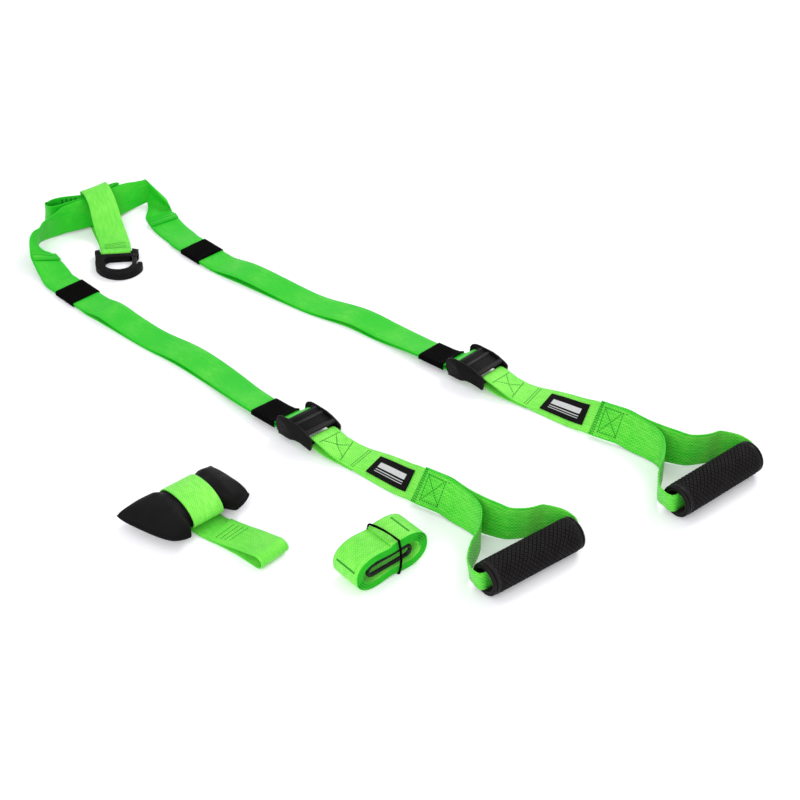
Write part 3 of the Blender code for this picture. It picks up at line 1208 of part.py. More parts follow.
def wrap_ring():
    """The ring's section (y, z): the taut outline round the pad's part under the webbing, with room."""
    reach = WEB_WIDTH / 2 + 2 * WEB_THICKNESS
    under = []
    shares = np.linspace(-1, 1, 4 * PAD_STEPS[0] + 1)
    for skin in (1, -1):
        for u in shares:
            for v in shares:
                x, y, z = pad_point(u, v, skin)
                if abs(x - PAD_WRAP_X) < reach:
                    under.append((y, z))
    under = np.array(under)
    room = WEB_THICKNESS / 2 + 1.5 * GAP
    angles = [math.tau * k / (4 * RING_SECTIONS) for k in range(4 * RING_SECTIONS)]
    lines = [(math.cos(a), math.sin(a)) for a in angles]
    heights = [float((under @ np.array(line)).max()) + room for line in lines]
    outline = []
    for k in range(len(lines)):
        (a, b), (c, d) = lines[k - 1], lines[k]
        p, q = heights[k - 1], heights[k]
        outline.append(((p * d - q * b) / (a * d - b * c), (a * q - c * p) / (a * d - b * c)))
    closed = np.array(outline + outline[:1])
    run = np.concatenate([[0.0], np.cumsum(np.linalg.norm(np.diff(closed, axis=0), axis=1))])
    picks = np.linspace(0, run[-1], RING_SECTIONS + 1)[:-1]
    return [(np.interp(at, run, closed[:, 0]), np.interp(at, run, closed[:, 1])) for at in picks]


def build_anchor_strap(materials):
    """The webbing ring round the pad, and its doubled tail that ends in an open loop."""
    frame = yaw_frame(plan(PAD_shares), PAD_YAW)
    points = to_world(frame, [(PAD_WRAP_X, y, z) for y, z in wrap_ring()])
    hint = direction(frame, (1, 0, 0))
    strip("anchor_wrap", points, [hint] * len(points), materials["webbing"], closed=True)

    route = smooth_rows([(*plan(xy)[:2], 0.0) for xy in TAIL_PLAN_shares], 5)
    tangents, _, _ = section_frames(route, [(0, 0, 1)] * len(route))
    sides = [np.array((-t[1], t[0], 0.0)) for t in tangents]
    lower, upper = [], []
    count = len(route)
    for k, point in enumerate(route):
        share = k / (count - 1)
        lower.append(point + np.array((0, 0, FLAT_Z)))
        rise = LAYER + TAIL_RISE * max(0.0, (share - 0.45) / 0.55) ** 1.5
        upper.append(point + np.array((0, 0, FLAT_Z + rise)))
    forward = tangents[-1]
    centre_z = (lower[-1][2] + upper[-1][2]) / 2
    bend = (upper[-1][2] - lower[-1][2]) / 2
    turn = []
    for k in range(1, 8):
        angle = -math.pi / 2 + math.pi * k / 8
        place_at = route[-1] + forward * 1.3 * bend * math.cos(angle)
        turn.append(np.array((place_at[0], place_at[1], centre_z + bend * math.sin(angle))))
    clear = 0.59 * PAD_WIDTH
    back = [k for k in reversed(range(count)) if (Vector(upper[k]) - plan(PAD_shares)).length > clear]
    path = lower + turn + [upper[k] for k in back]
    hints = sides + [sides[-1]] * len(turn) + [sides[k] for k in back]
    strip("anchor_tail", path, hints, materials["webbing"])


def roll_point(turn):
    """Side view (x, z) of the roll at a turn count, from its centre."""
    angle = math.tau * turn
    grow = ROLL_PITCH * turn
    c, s = math.cos(angle), math.sin(angle)
    x = (ROLL_INNER_HALF_LENGTH + grow) * math.copysign(abs(c) ** ROLL_SQUARE, c)
    pinch = (ROLL_PINCH if s > 0 else ROLL_ARCH) * math.exp(-((x / ROLL_PINCH_WIDTH) ** 2))
    z = (ROLL_INNER_HALF_HEIGHT + grow - pinch) * math.copysign(abs(s) ** ROLL_SQUARE, s)
    return x, z


def roll_side():
    """All points of the roll's side view, from its centre."""
    return [roll_point(k / LOOP_POINTS) for k in range(round(ROLL_LOOPS * LOOP_POINTS) + 1)]


def roll_centre_height():
    return FLOOR_GAP + WEB_THICKNESS / 2 - min(z for _, z in roll_side()) - ROLL_FLAT


def build_roll(materials):
    """The webbing as one unbroken winding, cut flat where it stands."""
    frame = yaw_frame(plan(ROLL_shares), ROLL_YAW)
    height = roll_centre_height()
    flat = [np.array((x, 0.0, max(z + height, FLOOR_GAP + WEB_THICKNESS / 2))) for x, z in roll_side()]
    least = min(
        np.linalg.norm(flat[k] - flat[j])
        for k in range(len(flat))
        for j in range(len(flat))
        if k - j > LOOP_POINTS // 2
    )
    print(f"rolled_strap: least gap between loops {1000 * (least - WEB_THICKNESS):.2f} mm")
    points = to_world(frame, flat)
    strip("rolled_strap", points, [direction(frame, (0, 1, 0))] * len(points), materials["webbing"])
    return frame


def build_band(frame, materials):
    """The elastic band round the middle of the roll."""
    side = roll_side()
    heights = []
    reach = BAND_WIDTH + BAND_SKEW * WEB_WIDTH / 2
    for first, second in zip(side, side[1:]):
        if min(first[0], second[0]) < BAND_X + reach and max(first[0], second[0]) > BAND_X - reach:
            heights += [first[1], second[1]]
    room = WEB_THICKNESS / 2 + 3 * GAP + BAND_THICKNESS / 2
    height = roll_centre_height()
    top, bottom = height + max(heights) + room, height + min(heights) - room
    half = WEB_WIDTH / 2 + GAP + BAND_THICKNESS / 2
    corner = 1.6 * BAND_THICKNESS
    ring = []
    for cy, cz, start in ((1, 1, 0), (-1, 1, 90), (-1, -1, 180), (1, -1, 270)):
        middle_y, middle_z = cy * (half - corner), (top if cz > 0 else bottom) - cz * corner
        for a, b in arc((middle_y, middle_z), corner, start, start + 90, 3):
            ring.append((0.0, a, b))
    points = to_world(frame, [(BAND_X - BAND_SKEW * y, y, z) for _, y, z in ring])
    hint = direction(frame, (1, 0, 0))
    strip(
        "elastic_band", points, [hint] * len(points), materials["keeper"],
        width=BAND_WIDTH, thickness=BAND_THICKNESS, closed=True,
    )


def build_carabiner(frame, materials):
    """An oval link of round rod with a gate on a pin, lying in the roll's hollow."""
    steel = materials["steel"]
    half_long = CARABINER_LENGTH / 2 - CARABINER_ROD
    half_high = CARABINER_HEIGHT / 2 - CARABINER_ROD
    straight = half_long - half_high
    hinge, tip = 0.80 * straight, -0.72 * straight
    y = -WEB_WIDTH / 2 + CARABINER_SETBACK
    height = roll_centre_height()
    centre = frame @ Matrix.Translation((0, y, height - CARABINER_DROP))
    side = [(hinge - CARABINER_ROD, half_high), (hinge + CARABINER_ROD, half_high)]
    side += arc((straight, 0), half_high, 80, -90, 10)
    side += arc((-straight, 0), half_high, 270, 90, 10)
    side += [(tip, half_high)]
    points = [np.array((x, 0.0, z)) for x, z in side]
    body = tube("carabiner_body", points, CARABINER_ROD, 10, steel)
    fork = FORK_WIDTH / 2
    slot = box(
        "slot", (hinge - 2 * CARABINER_ROD, -fork, 0.4 * half_high),
        (hinge + CARABINER_ROD, fork, half_high + 2 * CARABINER_ROD), steel,
    )
    reach = CARABINER_ROD + OVERRUN
    bore = rod("bore", -reach, reach, GATE_RIVET + RUNNING_GAP, steel, sides=12)
    bore.data.transform(Matrix.Translation((hinge, 0, half_high)))
    combine(body, [slot, bore], "DIFFERENCE")
    place(body, centre)
    gate_rod = 0.86 * CARABINER_ROD
    shoulder = -CARABINER_ROD - CARABINER_GATE_GAP
    gate_tip = tip + CARABINER_GATE_GAP - hinge
    gate = rod("carabiner_gate", gate_tip, shoulder, gate_rod, steel, axis="X", sides=10)
    tongue_half = fork - GAP
    tongue = rod("tongue", -tongue_half, tongue_half, 0.7 * CARABINER_ROD, steel, sides=12)
    neck = box(
        "neck", (shoulder - gate_rod, -tongue_half, -0.5 * CARABINER_ROD),
        (0, tongue_half, 0.5 * CARABINER_ROD), steel,
    )
    combine(gate, [tongue, neck], "UNION")
    eye = rod("eye", -reach, reach, GATE_RIVET + RUNNING_GAP, steel, sides=12)
    combine(gate, [eye], "DIFFERENCE")
    pivot = centre @ Matrix.Translation((hinge, 0, half_high))
    place(gate, pivot)
    rivet_reach = 0.92 * CARABINER_ROD
    place(rod("carabiner_gate_pin", -rivet_reach, rivet_reach, GATE_RIVET, steel, sides=12), pivot)


def build():
    clear_scene()
    materials = make_materials()
    build_main_straps(materials)
    build_arm("left", yaw_frame(plan(LEFT_BUCKLE_shares), LEFT_YAW), materials)
    build_arm("right", yaw_frame(plan(RIGHT_BUCKLE_shares), RIGHT_YAW), materials)
    build_hook(materials)
    build_hook_strap(materials)
    build_pad(materials)
    build_anchor_strap(materials)
    roll_frame = build_roll(materials)
    build_band(roll_frame, materials)
    build_carabiner(roll_frame, materials)


build()
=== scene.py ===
"""Suspension trainer: the finished pieces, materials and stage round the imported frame.

Metres, +Z up, the frame's own axes. Each operator makes one piece or one group of like pieces.
"""

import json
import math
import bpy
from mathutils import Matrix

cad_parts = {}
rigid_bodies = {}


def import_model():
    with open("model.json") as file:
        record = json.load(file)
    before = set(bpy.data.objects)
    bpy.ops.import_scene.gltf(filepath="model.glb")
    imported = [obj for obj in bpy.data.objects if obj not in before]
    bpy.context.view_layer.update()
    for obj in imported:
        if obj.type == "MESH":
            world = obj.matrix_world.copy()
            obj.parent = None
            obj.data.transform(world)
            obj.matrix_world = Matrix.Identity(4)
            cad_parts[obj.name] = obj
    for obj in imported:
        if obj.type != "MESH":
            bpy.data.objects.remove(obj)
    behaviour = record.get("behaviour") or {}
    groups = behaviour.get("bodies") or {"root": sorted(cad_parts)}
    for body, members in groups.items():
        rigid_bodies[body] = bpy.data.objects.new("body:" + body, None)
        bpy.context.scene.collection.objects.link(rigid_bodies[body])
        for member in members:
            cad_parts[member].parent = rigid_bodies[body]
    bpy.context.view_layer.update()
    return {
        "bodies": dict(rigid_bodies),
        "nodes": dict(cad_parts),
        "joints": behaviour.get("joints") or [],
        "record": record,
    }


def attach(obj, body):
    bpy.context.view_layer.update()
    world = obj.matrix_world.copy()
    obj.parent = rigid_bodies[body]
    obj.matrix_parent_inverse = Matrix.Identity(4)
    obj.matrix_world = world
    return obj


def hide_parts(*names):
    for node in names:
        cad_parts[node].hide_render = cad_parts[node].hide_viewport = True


bl_info = {
    "name": "Suspension trainer",
    "version": (1, 0, 0),
    "blender": (4, 5, 0),
    "location": "3D View > Sidebar > Trainer",
    "description": "Builds the trainer's straps, buckles, grips, door anchor and rolled strap",
    "category": "Object",
}

import bmesh
import bpy
import numpy as np
from bpy.props import FloatProperty, FloatVectorProperty, IntProperty, PointerProperty
from mathutils import Matrix, Vector

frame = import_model()

# Fits
GAP = 0.0003  # between pieces that touch
FLOOR_GAP = 0.0004  # webbing lies this far above the floor
LEAST_GAP = 0.0002  # and no edge of a strap comes nearer
OVERRUN = 0.002  # cutters run past what they cut
RUNNING_GAP = 0.00025  # pins in their holes

# Webbing
WEB_WIDTH = 0.038
WEB_THICKNESS = 0.0016
LAYER_SPACE = 0.0005  # air between two layers that lie on each other
LAYER = WEB_THICKNESS + LAYER_SPACE
HEM_BEND = 0.00115  # radius of the folded end, at mid thickness
SEAM_ROOM = 0.00055  # between sewn layers where the webbing twists
TAIL_WAVE = 0.0045  # how far the upper layer lifts off the lower one
WEB_STEP = 3  # sections between two route points

# The laid-out plan: every plan point is a share of this spread
SPREAD = 0.5
CENTRE_SHARES = (-0.07857, 0.12048)  # the middle of everything laid out, where the origin is
LEFT_BUCKLE_SHARES = (-0.224, -0.098)
RIGHT_BUCKLE_SHARES = (0.154, 0.118)
LEFT_YAW = math.radians(-41)
RIGHT_YAW = math.radians(-38)
# Each buckle lies turned and tipped a little off its arm's line: x, y, yaw, tip
LEFT_SET_SHARES = (-0.226, -0.114, math.radians(-42), math.radians(-7.5))
RIGHT_SET_SHARES = (0.151, 0.107, math.radians(-39), math.radians(-6.5))

# Plan route of the load strap, left arm from the buckle back to the anchor: x, y, and the roll in
# right angles
LEFT_RUN_SHARES = [
    (-0.436, 0.104, 0), (-0.506, 0.170, 0), (-0.578, 0.228, 0), (-0.662, 0.304, 0),
    (-0.708, 0.346, 0), (-0.744, 0.377, 0), (-0.766, 0.400, 0), (-0.792, 0.427, 0),
    (-0.818, 0.454, 0), (-0.842, 0.479, 0), (-0.862, 0.513, 0.06), (-0.882, 0.546, 0.17),
    (-0.900, 0.574, 0.32), (-0.914, 0.598, 0.67), (-0.919, 0.624, 1.14),
]
# Round the back of the anchor, standing on its edge
BRIDGE_SHARES = [
    (-0.912, 0.657, 1.22), (-0.887, 0.683, 1.13), (-0.863, 0.713, 0.97), (-0.839, 0.730, 0.88),
    (-0.8076, 0.753, 0.80), (-0.7748, 0.782, 0.77), (-0.7426, 0.8078, 0.78), (-0.7092, 0.838, 0.86),
    (-0.678, 0.862, 0.98),
]
# Folded over at the back right corner: x, y, height, then the width's direction
FOLD_SHARES = [
    (-0.6620, 0.8710, 0.0430, (0.00, 0.00, 1.00)), (-0.6568, 0.8764, 0.0427, (-0.27, 0.26, 0.93)),
    (-0.6553, 0.8835, 0.0409, (-0.61, 0.29, 0.74)), (-0.6570, 0.8895, 0.0368, (-0.84, 0.07, 0.53)),
    (-0.6603, 0.8921, 0.0307, (-0.87, -0.28, 0.39)),
    (-0.6625, 0.8915, 0.0205, (-0.90, -0.30, 0.30)),
    (-0.6600, 0.8810, 0.0110, (-0.92, -0.32, 0.20)),
    (-0.6510, 0.8570, 0.0080, (-0.92, -0.34, 0.11)),
    (-0.6400, 0.8270, 0.0074, (-0.90, -0.42, 0.06)),
]
# Right arm from the anchor to the buckle, the webbing's other face up
RIGHT_RUN_SHARES = [
    (-0.631, 0.800, 2.03), (-0.6205, 0.773, 2.06), (-0.606, 0.745, 2.05), (-0.585, 0.716, 2.01),
    (-0.561, 0.686, 2), (-0.538, 0.653, 2), (-0.522, 0.6366, 2), (-0.504, 0.618, 2),
    (-0.486, 0.5994, 2), (-0.470, 0.5828, 2), (-0.430, 0.548, 2), (-0.380, 0.511, 2),
    (-0.276, 0.431, 2), (-0.194, 0.371, 2), (-0.106, 0.320, 2), (-0.034, 0.262, 2),
]
BRIDGE_LIFT = 0.0024  # the bridge stands on the hook strap's lower layer
LEFT_HEM_ROW = 12  # the tail ends over this point of LEFT_RUN_SHARES
RIGHT_HEM_ROW = 1
LEFT_KEEPER_SHARES = (-0.792, 0.427)
RIGHT_KEEPER_SHARES = (-0.504, 0.618)
UPPER_KEEPER_YAW = math.radians(-46.1)

# Equalizer: a sewn ring of webbing on edge behind the bridge: x, y, lean back
EQUALIZER_SHARES = [
    (-0.912, 0.732, -0.25), (-0.899, 0.724, -0.22), (-0.881, 0.726, -0.12), (-0.857, 0.736, 0.02),
    (-0.834, 0.7465, 0.16), (-0.8132, 0.7597, 0.28), (-0.7803, 0.7888, 0.33),
    (-0.762, 0.8088, 0.34), (-0.7450, 0.8230, 0.33), (-0.7375, 0.8302, 0.31),
    (-0.7395, 0.8348, 0.29), (-0.7500, 0.8298, 0.29), (-0.7859, 0.7985, 0.30),
    (-0.8185, 0.7725, 0.22), (-0.842, 0.7685, 0.12), (-0.864, 0.766, 0.02), (-0.892, 0.760, -0.10),
    (-0.908, 0.753, -0.20), (-0.917, 0.743, -0.25),
]
EQUALIZER_YAW = math.radians(41)

# Cam buckle, in the arm's own frame: x towards the handle, y to the left, z up
SIDE_ROOM = 0.0025  # from the webbing's edge to the cheek
CHEEK_THICKNESS = 0.0025
CHEEK_LENGTH = 0.054
CHEEK_HEIGHT = 0.0240
CHEEK_SHARES = [
    (-0.100, 0.050), (-0.170, 0.190), (-0.220, 0.430), (-0.215, 0.740), (-0.180, 0.880),
    (-0.100, 0.975), (0.000, 1.000), (0.160, 0.985), (0.370, 0.960), (0.520, 0.880), (0.700, 0.730),
    (0.765, 0.640), (0.785, 0.560), (0.780, 0.080), (0.760, 0.020), (0.600, 0.090), (0.460, 0.130),
    (0.340, 0.120), (0.200, 0.020), (0.060, 0.010),
]
BASE_LENGTH = 0.016
BASE_THICKNESS = 0.0016
PIN_RADIUS = 0.0022
PIN_HEIGHT = 0.0125
PIN_RECESS = 0.0004
DRUM_RADIUS = 0.0053
DRUM_SIDES = 20
TOOTH_COUNT = 4
TOOTH_SPREAD = math.radians(44)
LOCK_RADIUS = 0.0035
LOCK_X = 0.016
LOCK_SOCKET = 0.0012
YOKE_BAR_RADIUS = 0.003
YOKE_BAR_X = 0.037
YOKE_BAR_HEIGHT = 0.0085
ARM_THICKNESS = 0.0016
ARM_ROOM = 0.0005  # between the webbing's edge and the lever's arm
LEVER_BACK = 0.0005
LEVER_FRONT = 0.0355
LEVER_UNDER_BACK = 0.0215
LEVER_UNDER_FRONT = 0.0163
LEVER_THICKNESS = 0.0022
SPRING_BAY = 0.0075

# Keepers: elastic sleeves round both layers
KEEPER_LENGTH = 0.036
KEEPER_WALL = 0.001
KEEPER_ROOM = 0.0005  # from the webbing to the sleeve's side and top
KEEPER_X = -0.036  # centre of the lower keeper
KEEPER_FLARE_SHARES = [(-0.5, 0), (0.10, 0.02), (0.34, 0.25), (0.5, 0.85)]
KEEPER_FLARE = 0.0042
KEEPER_SLIDE = 0.004  # how far the upper keeper slides each way
KEEPER_EASE = 0.012  # over which the webbing leaves the keeper's straight run

# Yoke strap and its label
YOKE_LOWER_END = 0.098
SEAM_X = 0.180
YOKE_END = 0.211
LABEL_LENGTH = 0.050
LABEL_WIDTH = 0.025
LABEL_THICKNESS = 0.0005
LABEL_ROOM = 0.0007  # under the label, where the webbing twists
LABEL_X = 0.137

# Handle strap and grip
HANDLE_WIDTH = 0.040
HANDLE_THICKNESS = 0.0018
BORE_WEB_WIDTH = 0.0225
BORE_WEB_THICKNESS = 0.003
BORE_SAG = 0.0011  # the webbing rests on the bore's lower side
GRIP_LENGTH = 0.118
GRIP_RADIUS = 0.0184
GRIP_CENTRE = (0.336, -0.0185)
GRIP_YAW = math.radians(78)
BORE_RADIUS = 0.013
CORE_WALL = 0.0016
CAP_LENGTH = 0.006
CAP_INSET = 0.0004
SLEEVE_CHAMFER = 0.0012

# Snap hook, in its own frame: x from the webbing bar towards the bow
HOOK_SHARES = (-0.720, 0.604)
HOOK_YAW = math.radians(-84)
HOOK_THICKNESS = 0.010
HOOK_FLOOR_GAP = 0.0  # the hook's flat side is the lowest face of all
HOOK_BAR_RADIUS = 0.0028
HOOK_SLOT_WIDTH = 0.0406
HOOK_SLOT_REACH = 0.008
HOOK_LENGTH = 0.057
HOOK_CHAMFER = 0.0012
HOOK_OUTLINE_SHARES = [
    (-0.090, -0.466), (0.080, -0.466), (0.110, -0.442), (0.220, -0.438), (0.430, -0.446),
    (0.610, -0.425), (0.780, -0.320), (0.920, -0.150), (0.990, 0.050), (0.980, 0.230),
    (0.900, 0.400), (0.780, 0.520), (0.660, 0.590), (0.540, 0.600), (0.508, 0.570), (0.508, 0.482),
    (0.600, 0.478), (0.600, 0.350), (0.640, 0.330), (0.710, 0.290), (0.760, 0.180), (0.772, 0.060),
    (0.735, -0.090), (0.650, -0.190), (0.540, -0.236), (0.420, -0.240), (0.300, -0.215),
    (0.255, -0.160), (0.250, -0.080), (0.250, 0.310), (0.262, 0.500), (-0.090, 0.500),
]
GATE_PIN_X = 0.011
GATE_PIN_Y = 0.0235
GATE_PIN_RADIUS = 0.0013
GATE_WIDTH = 0.0058
GATE_THICKNESS = 0.0056
GATE_TIP_X = 0.0331
GATE_BOTTOM = 0.0024
GATE_EYE_HEIGHT = 0.0030
GATE_SLOT_ROOM = 0.0006
GATE_SWING = math.radians(27)  # a little over the gate's range

# Hook strap: its highest point, how far back from the webbing bar it runs, and its plan
HOOK_STRAP_TOP = 0.0440
HOOK_STRAP_REACH = 0.1115
HOOK_PLAN_SHARES = [
    (-0.720, 0.604), (-0.727, 0.642), (-0.737, 0.674), (-0.754, 0.717), (-0.771, 0.760),
    (-0.790, 0.792), (-0.802, 0.812),
]
BRIDGE_YAW = math.radians(41)

# Door anchor: a stuffed pad in a loop of webbing
PAD_SHARES = (-0.4394, -0.3974)
PAD_YAW = math.radians(41.5)
PAD_LENGTH = 0.108
PAD_WIDTH = 0.066
PAD_HEIGHT = 0.031
PAD_CORNER_SHARES = {
    (-1, -1): (-0.82, -1.08), (1, -1): (1.05, -0.86), (-1, 1): (-1.22, 1.00), (1, 1): (0.95, 0.90),
}
PAD_SEAM = 0.0016
PAD_WAIST = 0.0045  # how far the webbing bites into the pad
PAD_WRAP_X = 0.003
PAD_STEPS = (26, 12)
RING_SECTIONS = 36
TAIL_PLAN_SHARES = [
    (-0.414, -0.414), (-0.386, -0.439), (-0.346, -0.466), (-0.305, -0.497), (-0.265, -0.533),
]
TAIL_RISE = 0.0075

# Rolled extension strap with its carabiner, standing on the edge of the roll
ROLL_SHARES = (-0.040, -0.560)
ROLL_YAW = math.radians(41)
ROLL_LOOPS = 4.25
LOOP_POINTS = 24
ROLL_PITCH = 0.00225
ROLL_INNER_HALF_LENGTH = 0.037
ROLL_INNER_HALF_HEIGHT = 0.0142
ROLL_PINCH = 0.0036  # how far the band draws in the top
ROLL_ARCH = 0.0054  # and how far the bottom arches up over the band
ROLL_PINCH_WIDTH = 0.018
ROLL_SQUARE = 0.78
ROLL_FLAT = 0.0002
CARABINER_LENGTH = 0.060
CARABINER_HEIGHT = 0.0160
CARABINER_ROD = 0.0022
CARABINER_SETBACK = 0.0055  # from the roll's near face
CARABINER_DROP = 0.0015  # below the hollow's middle, where it rests on the webbing
CARABINER_GATE_GAP = 0.0005
FORK_WIDTH = 0.0022
GATE_RIVET = 0.0007
BAND_WIDTH = 0.0028
BAND_THICKNESS = 0.0010
BAND_X = 0.005  # from the roll's middle
BAND_SKEW = 0.16  # it lies a little aslant


def plan(shares):
    """A plan point in metres from its shares of the spread."""
    x, y = shares[0] - CENTRE_SHARES[0], shares[1] - CENTRE_SHARES[1]
    return Vector((x * SPREAD, y * SPREAD, 0))


def yaw_frame(origin, yaw, height=0.0):
    lift = Matrix.Translation(Vector((0, 0, height)))
    return Matrix.Translation(origin) @ lift @ Matrix.Rotation(yaw, 4, "Z")


def smooth_rows(rows, steps):
    """Rows on a smooth curve through the given rows, whose first three columns are a point."""
    rows = np.array(rows, float)
    gaps = np.linalg.norm(np.diff(rows[:, :3], axis=0), axis=1)
    slopes = np.diff(rows, axis=0) / gaps[:, None]
    tangents = np.empty_like(rows)
    tangents[0], tangents[-1] = slopes[0], slopes[-1]
    before, after = gaps[:-1, None], gaps[1:, None]
    tangents[1:-1] = (slopes[:-1] * after + slopes[1:] * before) / (before + after)
    out = []
    for i, gap in enumerate(gaps):
        for k in range(steps):
            t = k / steps
            start = (2 * t**3 - 3 * t**2 + 1) * rows[i] + (t**3 - 2 * t**2 + t) * gap * tangents[i]
            end = (3 * t**2 - 2 * t**3) * rows[i + 1] + (t**3 - t**2) * gap * tangents[i + 1]
            out.append(start + end)
    out.append(rows[-1])
    return np.array(out)


def section_frames(points, hints, closed=False):
    """Tangent, width direction and face normal at each point, from hints of the width direction."""
    points = np.array(points, float)
    if closed:
        tangents = np.roll(points, -1, axis=0) - np.roll(points, 1, axis=0)
    else:
        tangents = np.gradient(points, axis=0)
    tangents /= np.linalg.norm(tangents, axis=1)[:, None]
    widths = np.array(hints, float)
    widths = widths - (widths * tangents).sum(axis=1)[:, None] * tangents
    widths /= np.linalg.norm(widths, axis=1)[:, None]
    return tangents, widths, np.cross(tangents, widths)


def arc(centre, radius, start, end, count):
    """Points (x, z) on an arc, angles in degrees."""
    angles = [math.radians(start + (end - start) * k / count) for k in range(count + 1)]
    return [(centre[0] + radius * math.cos(a), centre[1] + radius * math.sin(a)) for a in angles]


def circle(centre, radius, sides=32):
    """Points (x, z) once round a circle."""
    return arc(centre, radius, 0, 360 - 360 / sides, sides - 1)


def corners_of(left, right, low, high):
    """The four corners of an upright box (x, z)."""
    return [(left, low), (right, low), (right, high), (left, high)]


def to_world(frame, rows):
    """Local (x, y, z) points of a frame in world coordinates."""
    return [np.array(frame @ Vector(row)) for row in rows]


def direction(frame, local):
    return np.array(frame.to_3x3() @ Vector(local))


# Heights shared by the straps, the buckle and the keepers
FLAT_Z = FLOOR_GAP + WEB_THICKNESS / 2
KEPT_Z = FLOOR_GAP + KEEPER_WALL + GAP + WEB_THICKNESS / 2
BASE_TOP = FLOOR_GAP + BASE_THICKNESS
BASE_WEB_Z = BASE_TOP + GAP + WEB_THICKNESS / 2
LOCK_Z = BASE_WEB_Z + WEB_THICKNESS / 2 + GAP + LOCK_RADIUS
LOCK_WRAP = LOCK_RADIUS + GAP + WEB_THICKNESS / 2
DRUM_WEB_Z = PIN_HEIGHT + DRUM_RADIUS + LAYER_SPACE + WEB_THICKNESS / 2
INNER_HALF = WEB_WIDTH / 2 + SIDE_ROOM
OUTER_HALF = INNER_HALF + CHEEK_THICKNESS
BUCKLE_TAIL_X = KEEPER_X - KEEPER_LENGTH / 2 - 2 * SIDE_ROOM
GRIP_HEIGHT = GRIP_RADIUS + FLOOR_GAP


def buckle_frames():
    """Each buckle's frame: turned, and tipped about the foot of its left cheek."""
    frames = {}
    for side, (x, y, yaw, tip) in (("left", LEFT_SET_SHARES), ("right", RIGHT_SET_SHARES)):
        foot = Matrix.Translation((0, OUTER_HALF, 0))
        tipped = foot @ Matrix.Rotation(tip, 4, "X") @ foot.inverted()
        frames[side] = yaw_frame(plan((x, y)), yaw) @ tipped
    return frames


def keeper_frames():
    """The upper keepers' frames, with x along the webbing towards the handle."""
    places = {"left": LEFT_KEEPER_SHARES, "right": RIGHT_KEEPER_SHARES}
    return {side: yaw_frame(plan(place_at), UPPER_KEEPER_YAW) for side, place_at in places.items()}


def settle(points, hints, frame, reach_low, reach_high, ease):
    """Straightens the part of a route that runs through a keeper, in the keeper's frame."""
    inverse = frame.inverted()
    side = direction(frame, (0, 1, 0))
    for k, point in enumerate(points):
        local = inverse @ Vector(point)
        beyond = max(reach_low - local.x, local.x - reach_high, 0.0)
        if beyond > ease or abs(local.y) + abs(local.z) > WEB_WIDTH / 2:
            continue
        share = math.cos(beyond / ease * math.pi / 2) ** 2 if beyond else 1.0
        straight = np.array(frame @ Vector((local.x, 0, KEPT_Z)))
        points[k] = points[k] * (1 - share) + straight * share
        hint = hints[k] * (1 - share) + math.copysign(share, hints[k] @ side) * side
        hints[k] = hint / np.linalg.norm(hint)


def main_route():
    """The load strap from the left cam round the anchor to the right cam, with its marks."""
    frames = buckle_frames()
    base_end = BASE_LENGTH / 2
    local = [
        (LOCK_X - LOCK_RADIUS, BASE_WEB_Z), (0.0, BASE_WEB_Z), (-base_end, BASE_WEB_Z),
        (KEEPER_X + KEEPER_LENGTH / 2, KEPT_Z), (KEEPER_X, KEPT_Z), (BUCKLE_TAIL_X, KEPT_Z),
    ]
    ends = {}
    for side, frame in frames.items():
        hint = direction(frame, (0, -1, 0))
        ends[side] = [(*(frame @ Vector((x, 0, z))), *hint) for x, z in local]

    def lying(table, lift):
        """Rows of a table of x, y and roll, at the height where the lower edge is on the floor."""
        spots = np.array([plan((x, y)) for x, y, _ in table])
        slopes = np.gradient(spots, axis=0)
        rows = []
        for spot, slope, (_, _, roll) in zip(spots, slopes, table):
            heading = slope / np.linalg.norm(slope)
            angle = roll * math.pi / 2
            left = np.array((-heading[1], heading[0], 0.0))
            hint = math.cos(angle) * left + math.sin(angle) * np.array((0, 0, 1.0))
            half = WEB_WIDTH / 2 * abs(math.sin(angle)) + WEB_THICKNESS / 2 * abs(math.cos(angle))
            rows.append((*spot[:2], half + FLOOR_GAP + lift, *hint))
        return rows

    fold = [(*plan((x, y))[:2], z * SPREAD, *hint) for x, y, z, hint in FOLD_SHARES]
    parts = [
        ends["left"], lying(LEFT_RUN_SHARES, 0.0), lying(BRIDGE_SHARES, BRIDGE_LIFT), fold,
        lying(RIGHT_RUN_SHARES, 0.0), ends["right"][::-1],
    ]
    starts = np.cumsum([0] + [len(part) for part in parts]) * WEB_STEP
    dense = smooth_rows([row for part in parts for row in part], WEB_STEP)
    marks = {
        "left_tail": (len(local) - 1) * WEB_STEP,
        "left_hem": starts[1] + LEFT_HEM_ROW * WEB_STEP,
        "bridge_start": starts[2],
        "bridge_end": starts[4],
        "right_hem": starts[4] + RIGHT_HEM_ROW * WEB_STEP,
        "right_tail": starts[5],
    }
    points, hints = dense[:, :3], dense[:, 3:]
    margin = KEEPER_LENGTH / 2 + 3 * LAYER
    upper = margin + 2 * KEEPER_SLIDE
    for frame in keeper_frames().values():
        settle(points, hints, frame, -upper, upper, KEEPER_EASE)
    for frame in frames.values():
        settle(points, hints, frame, KEEPER_X - margin, KEEPER_X + margin, 0.0)
    return points, hints, marks


def cut_slice(points, across, normals, start, end):
    """Part of a route with half a gap taken off at each end that meets another piece."""
    points = points[start : end + 1].copy()
    for index, other in ((0, 1), (-1, -2)):
        inward = points[other] - points[index]
        points[index] += inward / np.linalg.norm(inward) * GAP / 2
    return points, (across[start : end + 1], normals[start : end + 1])


